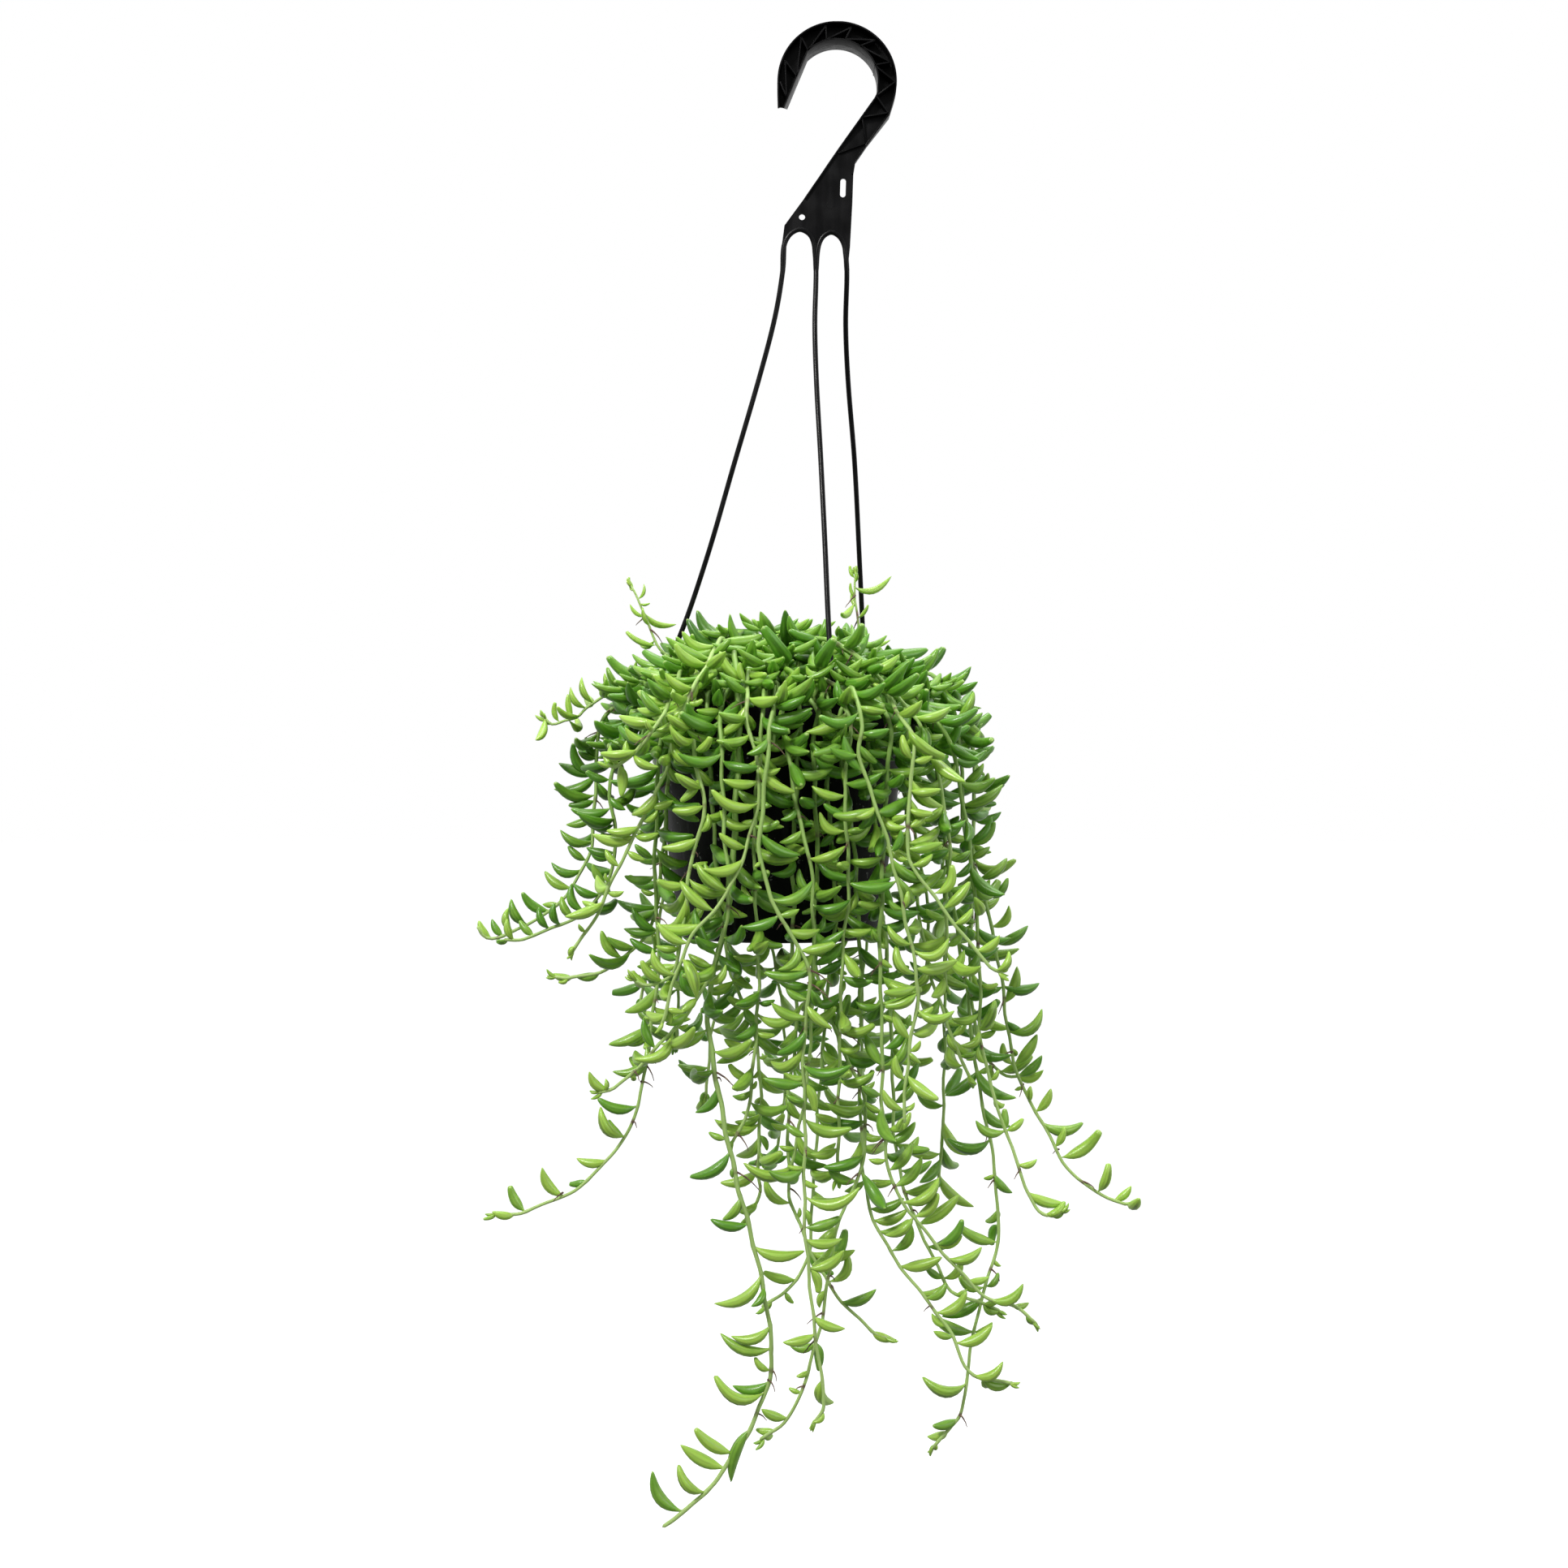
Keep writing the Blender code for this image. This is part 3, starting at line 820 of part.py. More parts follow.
      (1212, 1278, 1226, 1258), (1215, 1310, 1206, 1290), (1222, 1335, 1230, 1318), (1228, 1342, 1238, 1360),
      (1236, 1385, 1238, 1366), (1242, 1390, 1261, 1378), (1238, 1390, 1202, 1380), (1254, 1434, 1278, 1428),
      (1270, 1478, 1314, 1483), (1284, 1493, 1312, 1480), (1292, 1498, 1312, 1492), (1203, 1130, 1180, 1120),
      (1200, 1100, 1178, 1105), (1198, 1060, 1176, 1080), (1207, 1200, 1230, 1212)]),
    ("strand_right_hook", [
      (1108, 832, -30), (1124, 850, -40), (1136, 880, -44), (1150, 930, -44), (1160, 1000, -40),
      (1168, 1070, -36), (1178, 1140, -34), (1190, 1210, -34), (1197, 1270, -36), (1203, 1320, -38),
      (1212, 1362, -40), (1220, 1392, -42), (1223, 1425, -44), (1227, 1460, -46), (1230, 1500, -48),
      (1229, 1530, -50), (1219, 1560, -52), (1210, 1590, -54), (1204, 1620, -56), (1196, 1652, -58),
      (1191, 1690, -60), (1187, 1725, -60), (1181, 1748, -60), (1166, 1767, -60), (1150, 1783, -60)], [
      (1197, 1262, 1180, 1240), (1204, 1320, 1164, 1350), (1211, 1362, 1246, 1388), (1219, 1405, 1166, 1402),
      (1224, 1440, 1248, 1470), (1228, 1448, 1212, 1452), (1229, 1480, 1214, 1505), (1230, 1512, 1222, 1535),
      (1226, 1538, 1180, 1510), (1222, 1540, 1234, 1560), (1210, 1580, 1182, 1572), (1211, 1578, 1230, 1568),
      (1204, 1610, 1160, 1622), (1195, 1645, 1148, 1620), (1196, 1650, 1223, 1629), (1189, 1706, 1136, 1696),
      (1180, 1748, 1149, 1757), (1168, 1765, 1142, 1770), (1156, 1778, 1152, 1786), (1190, 1205, 1172, 1190),
      (1193, 1235, 1215, 1225), (1205, 1330, 1222, 1312)]),
]
STRANDS += [
    ("strand_right_inner", [
      (1048, 856, -36), (1062, 870, -70), (1070, 910, -74), (1076, 970, -70), (1080, 1040, -64),
      (1086, 1110, -58), (1094, 1190, -54), (1098, 1260, -54), (1100, 1330, -54), (1102, 1395, -54),
      (1110, 1432, -54), (1115, 1468, -56), (1128, 1500, -58), (1140, 1525, -60), (1150, 1556, -62),
      (1162, 1575, -64), (1178, 1594, -64), (1200, 1604, -64), (1231, 1614, -64)], [
      (1104, 1405, 1146, 1416), (1112, 1440, 1148, 1430), (1108, 1425, 1132, 1400), (1118, 1478, 1156, 1452),
      (1130, 1500, 1182, 1472), (1142, 1530, 1178, 1514), (1156, 1566, 1184, 1548), (1166, 1580, 1134, 1592),
      (1160, 1572, 1140, 1560), (1180, 1596, 1192, 1588), (1205, 1604, 1232, 1600), (1215, 1608, 1233, 1615),
      (1100, 1340, 1132, 1308), (1101, 1350, 1128, 1330), (1098, 1270, 1122, 1250), (1100, 1300, 1072, 1295),
      (1094, 1200, 1120, 1190), (1094, 1190, 1070, 1180)]),
    ("strand_right_swing", [
      (1020, 858, -44), (1030, 876, -72), (1034, 920, -74), (1044, 980, -70), (1052, 1040, -66),
      (1056, 1110, -60), (1060, 1180, -56), (1060, 1250, -54), (1058, 1310, -54), (1060, 1370, -54),
      (1064, 1430, -56), (1068, 1475, -60), (1078, 1500, -62), (1088, 1527, -64), (1097, 1542, -66),
      (1115, 1563, -68), (1130, 1588, -70), (1150, 1611, -72), (1166, 1634, -74), (1182, 1662, -76),
      (1199, 1694, -78), (1215, 1698, -78), (1246, 1704, -78)], [
      (1074, 1490, 1114, 1476), (1078, 1495, 1118, 1490), (1086, 1520, 1120, 1502), (1096, 1540, 1122, 1508),
      (1114, 1560, 1161, 1549), (1132, 1590, 1166, 1580), (1150, 1608, 1191, 1591), (1162, 1625, 1148, 1618),
      (1172, 1648, 1150, 1640), (1182, 1650, 1223, 1632), (1203, 1693, 1236, 1677), (1210, 1697, 1248, 1702),
      (1208, 1697, 1218, 1706), (1066, 1450, 1100, 1456), (1066, 1462, 1040, 1468), (1062, 1400, 1086, 1402),
      (1060, 1330, 1076, 1318), (1058, 1290, 1038, 1300), (1060, 1240, 1080, 1228),
      (1058, 1200, 1044, 1178)]),
    ("strand_right_low", [
      (1088, 858, -28), (1104, 872, -62), (1112, 920, -62), (1116, 980, -56), (1122, 1050, -48),
      (1132, 1120, -42), (1144, 1190, -40), (1158, 1240, -40), (1168, 1268, -42), (1180, 1295, -44),
      (1190, 1315, -44), (1197, 1330, -44)], [
      (1158, 1240, 1136, 1255), (1162, 1250, 1185, 1262), (1168, 1268, 1190, 1255), (1175, 1282, 1200, 1292),
      (1186, 1305, 1204, 1296), (1180, 1295, 1168, 1274), (1196, 1328, 1204, 1336), (1146, 1200, 1120, 1215),
      (1142, 1180, 1170, 1165), (1134, 1130, 1158, 1118), (1130, 1110, 1105, 1105),
      (1124, 1070, 1150, 1085)]),
    ("strand_right_tail", [
      (1168, 850, 16), (1184, 868, 20), (1196, 900, 22), (1200, 950, 18), (1200, 1010, 12),
      (1198, 1080, 4), (1196, 1150, -4), (1196, 1220, -10), (1204, 1275, -12), (1218, 1308, -14),
      (1240, 1326, -14), (1266, 1322, -14)], [
      (1230, 1319, 1272, 1300), (1222, 1312, 1228, 1330), (1250, 1327, 1286, 1318), (1208, 1285, 1190, 1306),
      (1204, 1275, 1228, 1268), (1198, 905, 1216, 914), (1200, 940, 1214, 955), (1200, 960, 1238, 966),
      (1200, 985, 1228, 990), (1200, 1005, 1234, 1000), (1198, 1040, 1222, 1050), (1197, 1100, 1222, 1112),
      (1196, 1160, 1220, 1185), (1196, 1200, 1170, 1216)]),
    ("strand_centre_twig", [
      (1000, 866, -34), (1003, 880, -72), (1012, 920, -66), (1014, 980, -62), (1018, 1050, -56),
      (1020, 1120, -50), (1020, 1200, -44), (1016, 1270, -42), (1010, 1340, -42), (1006, 1400, -44),
      (1004, 1460, -48), (999, 1510, -52), (996, 1548, -54), (982, 1577, -56), (962, 1594, -58),
      (940, 1610, -58)], [
      (980, 1577, 940, 1567), (965, 1590, 978, 1606), (950, 1602, 938, 1614), (1004, 1470, 1030, 1490),
      (1005, 1420, 1030, 1408), (1008, 1370, 1032, 1385), (1014, 1290, 1030, 1320), (1018, 1240, 996, 1262),
      (1020, 1180, 1044, 1200), (1020, 1130, 1000, 1140), (1019, 1080, 1040, 1064), (1017, 1020, 998, 1010),
      (1014, 960, 1036, 948), (1012, 930, 990, 922)]),
    ("sprig_top_left", [
      (824, 812, -10), (814, 800, -12), (804, 782, -12), (797, 766, -12), (790, 748, -12),
      (785, 733, -12), (778, 722, -12)], [
      (800, 774, 792, 748), (785, 735, 793, 719), (795, 763, 776, 744), (789, 745, 801, 743),
      (812, 797, 771, 778), (780, 726, 776, 722)]),
    ("sprig_top_right", [
      (1060, 812, 10), (1058, 796, 10), (1057, 775, 10), (1056, 755, 10), (1054, 735, 10),
      (1053, 718, 10), (1053, 708, 10)], [
      (1056, 765, 1070, 745), (1054, 735, 1048, 718), (1055, 752, 1050, 726), (1053, 716, 1053, 702),
      (1058, 790, 1062, 768), (1058, 800, 1042, 782)]),
]


# Strands hanging behind the pot: bearing from +X in degrees, reach past the collar, drop, side drift
BACK_STRANDS = (
    (18, 0.016, 0.27, 0.010), (36, 0.012, 0.21, -0.012), (55, 0.018, 0.25, 0.008),
    (75, 0.012, 0.22, -0.010), (95, 0.018, 0.27, 0.012), (113, 0.013, 0.23, -0.008),
    (131, 0.017, 0.20, 0.006), (149, 0.013, 0.17, -0.006),
)

# Short upright shoots of the crown: (right, down, depth) of the apex, bearing and lean
CROWN_SHOOTS = (
    (862, 800, -30), (905, 776, 6), (932, 768, 34), (952, 774, -14), (985, 772, 18), (1004, 790, -2),
    (1034, 784, 40), (1092, 806, 20), (1122, 822, 36), (872, 812, 44), (838, 822, 22),
)


FOOT_SPACING = 0.0068
STEM_SLACK = 0.0017
STEM_THICK = 0.0013
STEM_THIN = 0.0007
SHOOT_THICK = 0.0012
SHOOT_THIN = 0.0010


# Lay out every stem as a route of points with a radius at each
def stem_routes():
    routes = []
    for name, drawn, leaves in STRANDS:
        points = [spot(u, v, depth) for u, v, depth in drawn]
        routes.append({"name": name, "points": points, "leaves": leaves, "kind": "drawn"})
    for index, (bearing, reach, drop, drift) in enumerate(BACK_STRANDS):
        routes.append({"name": "strand_back_%d" % (index + 1), "leaves": (), "kind": "back",
                       "points": back_points(bearing, reach, drop, drift)})
    for index, (u, v, depth) in enumerate(CROWN_SHOOTS):
        apex = spot(u, v, depth)
        foot = Vector((POT_X + (apex.x - POT_X) * 0.82, apex.y * 0.82, RIM_Z + 0.004))
        points = [foot, foot.lerp(apex, 0.5), apex]
        routes.append({"name": "crown_shoot_%d" % (index + 1), "leaves": (), "kind": "crown",
                       "points": points})
    feet = spread_feet([plan_foot(route["points"][0]) for route in routes])
    for route, foot in zip(routes, feet):
        add_root(route, foot)
        over_the_rim(route)
        route["points"] = thin_route(route["points"])
        route["radii"] = stem_radii(route["points"], route["kind"])
    return routes


# The route of a strand behind the pot
def back_points(bearing, reach, drop, drift):
    turn = math.radians(bearing)
    out = Vector((math.cos(turn), math.sin(turn), 0.0))
    side = Vector((-out.y, out.x, 0.0))
    axis = Vector((POT_X, 0.0, RIM_Z))
    start = axis + out * 0.052 + Vector((0.0, 0.0, 0.026))
    points = [start, axis + out * (COLLAR_RADIUS + reach * 0.5) + Vector((0.0, 0.0, 0.018))]
    steps = 9
    for step in range(1, steps + 1):
        share = step / steps
        sway = math.sin(share * 5.0 + bearing) * drift
        swing = reach + 0.012 * math.sin(share * 3.0 + bearing * 0.7)
        points.append(axis + out * (COLLAR_RADIUS + swing) + side * sway - Vector((0.0, 0.0, drop * share)))
    return points


# Leave out route points that lie almost on the line between their neighbours
def thin_route(points):
    kept = points[:4]
    for index in range(4, len(points) - 1):
        a, b, here = kept[-1], points[index + 1], points[index]
        line = b - a
        off = (here - a) - line * ((here - a).dot(line) / line.dot(line))
        if off.length > STEM_SLACK or line.length > 0.050 or here.z > RIM_Z - 0.020:
            kept.append(here)
    kept.append(points[-1])
    return kept if len(points) > 4 else points


# Where in the pot a stem starts, seen from above and from the pot's axis
def plan_foot(first):
    plan = Vector((first.x - POT_X, first.y))
    return plan * 0.92


# Nudge the roots apart so that each has a hole of its own
def spread_feet(feet):
    limit = WALL_TOP_RADIUS - WALL - 0.006
    for _ in range(200):
        for index, foot in enumerate(feet):
            for other in feet[:index]:
                away = foot - other
                if away.length < FOOT_SPACING:
                    if away.length < 1e-6:
                        away = Vector((1e-4, 1e-4))
                    shift = away.normalized() * ((FOOT_SPACING - away.length) * 0.5 + 1e-5)
                    foot += shift
                    other -= shift
        for foot in feet:
            if foot.length > limit:
                foot *= limit / foot.length
    return feet


# A stem starts upright in its hole, and the outer ones rise above the rim before they lean out
def add_root(route, plan):
    ground = soil_top(plan.length)
    foot = Vector((POT_X + plan.x, plan.y, ground - HOLE_DEPTH))
    rise = Vector((foot.x, foot.y, ground + 0.003))
    high = []
    if plan_radius(route["points"][0]) > WALL_TOP_RADIUS - 0.008:
        high.append(Vector((foot.x, foot.y, RIM_Z + 0.009)))
    route["points"] = [foot, rise] + high + route["points"]


def plan_radius(point):
    return math.hypot(point.x - POT_X, point.y)


# Lift a stem over the rim where it crosses, and keep it off the wall below
def over_the_rim(route):
    points = route["points"]
    lip = COLLAR_RADIUS + 0.0025
    for here in points[2:]:
        if RIM_Z - POT_HEIGHT - 0.004 < here.z < RIM_Z + 0.001:
            across = plan_radius(here)
            wall = pot_radius(here.z) + 0.0048
            if across < wall:
                here.x = POT_X + (here.x - POT_X) * wall / max(across, 1e-6)
                here.y *= wall / max(across, 1e-6)
    for index in range(2, len(points) - 1):
        near, far = points[index], points[index + 1]
        if plan_radius(near) < lip + 0.002:
            near.z = max(near.z, RIM_Z + 0.007)
        if plan_radius(near) < lip <= plan_radius(far):
            start, end = plan_radius(near), plan_radius(far)
            if start < COLLAR_RADIUS - 0.004 and end > COLLAR_RADIUS + 0.003:
                hump = near.lerp(far, (COLLAR_RADIUS - start) / (end - start))
                hump.z = max(hump.z, RIM_Z + 0.0055)
                points.insert(index + 1, hump)
            return


# A stem keeps its thickness for a third of its length, then thins to its tip
def stem_radii(points, kind):
    thick, thin = (SHOOT_THICK, SHOOT_THIN) if kind == "crown" else (STEM_THICK, STEM_THIN)
    last = len(points) - 1
    return [thick + (thin - thick) * max(0.0, (index / last - 0.35) / 0.65) for index in range(last + 1)]


# Distance between two straight pieces
def piece_gap(a, b, c, d):
    ax, ay, az = b[0] - a[0], b[1] - a[1], b[2] - a[2]
    cx, cy, cz = d[0] - c[0], d[1] - c[1], d[2] - c[2]
    rx, ry, rz = a[0] - c[0], a[1] - c[1], a[2] - c[2]
    aa = ax * ax + ay * ay + az * az
    cc = cx * cx + cy * cy + cz * cz
    ac = ax * cx + ay * cy + az * cz
    ar = ax * rx + ay * ry + az * rz
    cr = cx * rx + cy * ry + cz * rz
    under = aa * cc - ac * ac
    s = 0.0 if under < 1e-18 else min(1.0, max(0.0, (ac * cr - ar * cc) / under))
    t = 0.0 if cc < 1e-18 else (ac * s + cr) / cc
    if t < 0.0:
        t = 0.0
        s = 0.0 if aa < 1e-18 else min(1.0, max(0.0, -ar / aa))
    elif t > 1.0:
        t = 1.0
        s = 0.0 if aa < 1e-18 else min(1.0, max(0.0, (ac - ar) / aa))
    dx, dy, dz = rx + ax * s - cx * t, ry + ay * s - cy * t, rz + az * s - cz * t
    return math.sqrt(dx * dx + dy * dy + dz * dz), dx, dy, dz, s, t


# The space taken so far: capsules kept in a coarse grid of cells
CELL = 0.016


class Space:
    def __init__(self):
        self.cells = {}

    def span(self, a, b, reach):
        low = [int(math.floor((min(a[k], b[k]) - reach) / CELL)) for k in range(3)]
        high = [int(math.floor((max(a[k], b[k]) + reach) / CELL)) for k in range(3)]
        for i in range(low[0], high[0] + 1):
            for j in range(low[1], high[1] + 1):
                for k in range(low[2], high[2] + 1):
                    yield (i, j, k)

    def add(self, a, b, radius, owner):
        item = (tuple(a), tuple(b), radius, owner)
        for cell in self.span(a, b, radius):
            self.cells.setdefault(cell, []).append(item)

    def near(self, a, b, reach):
        found = {}
        for cell in self.span(a, b, reach):
            for item in self.cells.get(cell, ()):
                found[id(item)] = item
        return list(found.values())

    def free(self, a, b, radius, owner, gap, own_share):
        a, b = tuple(a), tuple(b)
        for c, d, other, whose in self.near(a, b, radius + gap):
            if whose == owner:
                # A leaf may cross its own stem and its neighbours by a share of their widths
                if own_share is None:
                    continue
                need = (radius + other) * own_share
            else:
                need = radius + other + gap
            if piece_gap(a, b, c, d)[0] < need:
                return False
        return True


def pot_radius(height):
    under = RIM_Z - COLLAR_HEIGHT
    if height > under - 0.003:
        return COLLAR_RADIUS
    share = min(1.0, max(0.0, (under - height) / (POT_HEIGHT - COLLAR_HEIGHT)))
    return WALL_TOP_RADIUS + (WALL_BASE_RADIUS - WALL_TOP_RADIUS) * share + 0.001


# Whether a ball at a point is clear of the pot and the soil
def clear_of_pot(point, radius, gap=0.0006):
    reach = radius + gap
    across = plan_radius(point)
    if point.z > RIM_Z + reach:
        return True
    if point.z < RIM_Z - POT_HEIGHT - reach:
        return True
    if across > pot_radius(point.z) + reach:
        return True
    inside = WALL_TOP_RADIUS - WALL - reach
    return across < inside and point.z > soil_top(across) + reach


# Ease the stems apart and off the pot; the two points at each root stay put
STEM_GAP = 0.0016


# The hanger's arms and clips as capsules
def hanger_capsules():
    pieces = []
    for index in range(len(ARMS)):
        line = arm_route(index)
        pieces.extend((line[k], line[k + 1], BEAD_RADIUS) for k in range(len(line) - 1))
        turn = math.radians(RIM_ANGLES[index])
        across = Vector((-math.sin(turn), math.cos(turn), 0.0)) * (CLIP_WIDTH * 0.5)
        rim = Vector((POT_X + COLLAR_RADIUS * math.cos(turn), COLLAR_RADIUS * math.sin(turn), RIM_Z))
        for height in (0.001, -0.003, -0.008):
            level = rim + Vector((0.0, 0.0, height))
            pieces.append((level - across, level + across, 0.0034))
    return pieces


def ease_stems(routes, rounds=60):
    arms = hanger_capsules()
    for _ in range(rounds):
        space = Space()
        for number, route in enumerate(routes):
            for k in range(len(route["points"]) - 1):
                radius = max(route["radii"][k], route["radii"][k + 1])
                space.add(route["points"][k], route["points"][k + 1], radius, (number, k))
        for a, b, radius in arms:
            space.add(a, b, radius, (-1, 0))
        moved = 0.0
        for number, route in enumerate(routes):
            points, radii = route["points"], route["radii"]
            push = [Vector((0.0, 0.0, 0.0)) for _ in points]
            for k in range(len(points) - 1):
                a, b = tuple(points[k]), tuple(points[k + 1])
                radius = max(radii[k], radii[k + 1])
                for c, d, other, whose in space.near(a, b, radius + STEM_GAP):
                    if whose[0] == number:
                        continue
                    gap, dx, dy, dz, s, _t = piece_gap(a, b, c, d)
                    need = radius + other + STEM_GAP
                    if gap >= need:
                        continue
                    sign = 1.0 if (dy if abs(dy) > 1e-5 else number - whose[0]) > 0.0 else -1.0
                    lean = Vector((dx * 0.5, dy, dz * 0.3)) + Vector((0.0, sign * 0.0004, 0.0))
                    lean = lean.normalized() * (need - gap) * (0.6 if whose[0] >= 0 else 1.1)
                    push[k] += lean * (1.0 - s)
                    push[k + 1] += lean * s
            for k in range(2, len(points)):
                points[k] += push[k]
                moved = max(moved, push[k].length)
            off_the_pot(route)
        if moved < 2e-5:
            break


def move_out(point, distance):
    across = max(plan_radius(point), 1e-6)
    point.x += (point.x - POT_X) / across * distance
    point.y += point.y / across * distance


# Move a route's points, and the lines between them, out of the pot
def off_the_pot(route):
    points, radii = route["points"], route["radii"]
    outside = False
    for k in range(2, len(points)):
        here = points[k]
        reach = radii[k] + 0.0014
        outside = outside or plan_radius(here) > COLLAR_RADIUS
        if here.z > RIM_Z + reach + 0.0008 or here.z < RIM_Z - POT_HEIGHT - reach:
            continue
        if not outside:
            here.z = RIM_Z + reach + 0.0012
            continue
        move_out(here, max(0.0, pot_radius(here.z) + reach - plan_radius(here)))
    for k in range(3, len(points) - 1):
        for share in (0.2, 0.4, 0.6, 0.8):
            here = points[k].lerp(points[k + 1], share)
            if plan_radius(points[k]) < COLLAR_RADIUS + 0.001 and here.z > RIM_Z - 0.001:
                continue
            if RIM_Z - POT_HEIGHT - 0.002 < here.z < RIM_Z + radii[k] + 0.001:
                short = pot_radius(here.z) + radii[k] + 0.0012 - plan_radius(here)
                if short > 0.0 and plan_radius(here) > WALL_BASE_RADIUS:
                    move_out(points[k], short)
                    move_out(points[k + 1], short)


# A leaf: a crescent from its foot on the stem to its tip, its belly sagging down and out
def leaf_line(foot, tip, sag, count):
    chord = tip - foot
    length = chord.length
    outward = Vector((chord.x, chord.y, 0.0))
    if outward.length > 1e-6:
        outward.normalize()
    down = Vector((0.0, 0.0, -1.0)) + outward * 0.55
    across = down - chord * (down.dot(chord) / (length * length))
    across = across.normalized() if across.length > 1e-6 else Vector((0.0, 1.0, 0.0))
    middle = foot + chord * 0.48 + across * (length * sag * 2.0)
    line = []
    for step in range(count + 1):
        t = step / count
        line.append(foot * (1 - t) ** 2 + middle * (2 * t * (1 - t)) + tip * t ** 2)
    return line, across


def leaf_width(length):
    return min(0.0031, 0.0013 + length * 0.075)


def leaf_capsules(foot, tip, sag):
    length = (tip - foot).length
    width = leaf_width(length)
    line, _ = leaf_line(foot, tip, sag, 8)
    return [(line[0], line[1], 0.0007), (line[1], line[3], width * 0.92), (line[3], line[5], width),
            (line[5], line[7], width * 0.75), (line[7], line[8], width * 0.3)]


LEAF_GAP = 0.00035


def leaf_fits(space, capsules, owner):
    for index, (a, b, radius) in enumerate(capsules):
        own = None if index == 0 else 0.45
        if not space.free(a, b, radius, owner, LEAF_GAP, own if index > 1 else None):
            return False
        for share in (0.0, 0.5, 1.0):
            if not clear_of_pot(a.lerp(b, share), radius):
                return False
    return True


# Take the first tip at which the leaf is clear of everything placed so far
def place_leaf(space, owner, foot, tips, sag):
    for tip in tips:
        capsules = leaf_capsules(foot, tip, sag)
        if leaf_fits(space, capsules, owner):
            for a, b, radius in capsules[1:]:
                space.add(a, b, radius, owner)
            return (foot, tip, sag)
    return None


# World point to sheet point
def sheet_of(point):
    reach = SHEET_UNIT * (VIEW_DISTANCE + point.y) / VIEW_DISTANCE
    eye = spot(SHEET_CENTRE[0], SHEET_CENTRE[1])
    return (SHEET_CENTRE[0] + (point.x - eye.x) / reach, SHEET_CENTRE[1] - (point.z - eye.z) / reach)


def nearest_on_stem(route, u, v):
    best = None
    points = route["points"]
    for k in range(2, len(points) - 1):
        for part in range(5):
            here = points[k].lerp(points[k + 1], part / 5.0)
            su, sv = sheet_of(here)
            far = math.hypot(su - u, sv - v)
            if best is None or far < best[0]:
                best = (far, here)
    return best[1]


DEPTH_TRIES = (0.0, 4.0, -4.0, 8.0, -8.0, 12.0, -12.0, 16.0, -16.0)


# A leaf drawn on the sheet: only its depth is found by trying
def drawn_leaf(space, route, number, index, leaf):
    foot = nearest_on_stem(route, leaf[0], leaf[1])
    base = foot.y / MM + ((index * 7) % 5 - 2) * 1.5
    tips = []
    for shift in DEPTH_TRIES:
        tip = spot(leaf[2], leaf[3], base + shift)
        if 0.005 < (tip - foot).length < 0.034:
            tips.append(tip)
    return place_leaf(space, number, foot, tips, 0.15 + 0.05 * (index % 4))


# Leaves by rule, evenly along a stem and turning around it
def rule_leaves(space, route, number, spacing, offset, size, maker):
    points = route["points"]
    kept = []
    run = -offset
    count = 0
    for k in range(2 if route["kind"] != "crown" else 1, len(points) - 1):
        a, b = points[k], points[k + 1]
        span = (b - a).length
        place = 0.0
        while run + (span - place) >= spacing:
            place += spacing - run
            run = 0.0
            foot = a.lerp(b, place / span)
            count += 1
            along = (b - a).normalized()
            leaf = place_leaf(space, number, foot, rule_tips(route, foot, along, count, size, maker),
                              0.12 + 0.05 * (count % 4))
            if leaf:
                kept.append(leaf)
        run += span - place
    return kept


def rule_tips(route, foot, along, count, size, maker):
    out = Vector((foot.x - POT_X, foot.y, 0.0))
    out = out.normalized() if out.length > 1e-5 else Vector((0.0, -1.0, 0.0))
    side = Vector((-out.y, out.x, 0.0))
    length = size * (0.82 + 0.36 * maker.random())
    turn = count * 2.4 + maker.random() * 0.5
    tips = []
    for attempt in range(9):
        angle = turn + attempt * 0.75
        flat_way = out * (math.cos(angle) * 0.9 + 0.28) + side * math.sin(angle)
        flat_way.normalize()
        lift = 0.10 + 0.30 * ((count + attempt) % 3)
        if route["kind"] == "crown":
            lift = 0.30 * ((count * 2 + attempt) % 4)
        way = (flat_way + Vector((0.0, 0.0, lift))).normalized()
        tips.append(foot + way * length)
    return tips


# Which drawn leaves the solids carry: all of them at the tips, two of three on the open sides and one
# of three in the thick of the plant
DENSE = (800.0, 1185.0, 1290.0)
OPEN_DOWN = 1480.0
LEAF_SPACING = {"back": 0.034, "crown": 0.0082}
LEAF_SIZE = {"back": 0.023, "crown": 0.0245}
FIRST_LEAF = 0.004
ROOT_SINK = 0.0005
STEM_SIDES = 3


# Every stem eased clear of the others, then every leaf that finds room
def lay_out():
    routes = stem_routes()
    ease_stems(routes)
    space = Space()
    for a, b, radius in hanger_capsules():
        space.add(a, b, radius, -1)
    for number, route in enumerate(routes):
        points, radii = route["points"], route["radii"]
        for k in range(len(points) - 1):
            space.add(points[k], points[k + 1], max(radii[k], radii[k + 1]), number)
    for number, route in enumerate(routes):
        route["grown"] = []
        for index, leaf in enumerate(route["leaves"]):
            thick = DENSE[0] < leaf[2] < DENSE[1] and leaf[3] < DENSE[2]
            if thick and index % 3 or index % 3 == 2 and leaf[3] < OPEN_DOWN:
                continue
            grown = drawn_leaf(space, route, number, index, leaf)
            if grown:
                route["grown"].append(grown)
    for number, route in enumerate(routes):
        if route["kind"] == "drawn":
            continue
        maker = random.Random(400 + number)
        route["grown"] = rule_leaves(space, route, number, LEAF_SPACING[route["kind"]], FIRST_LEAF,
                                     LEAF_SIZE[route["kind"]], maker)
    return routes


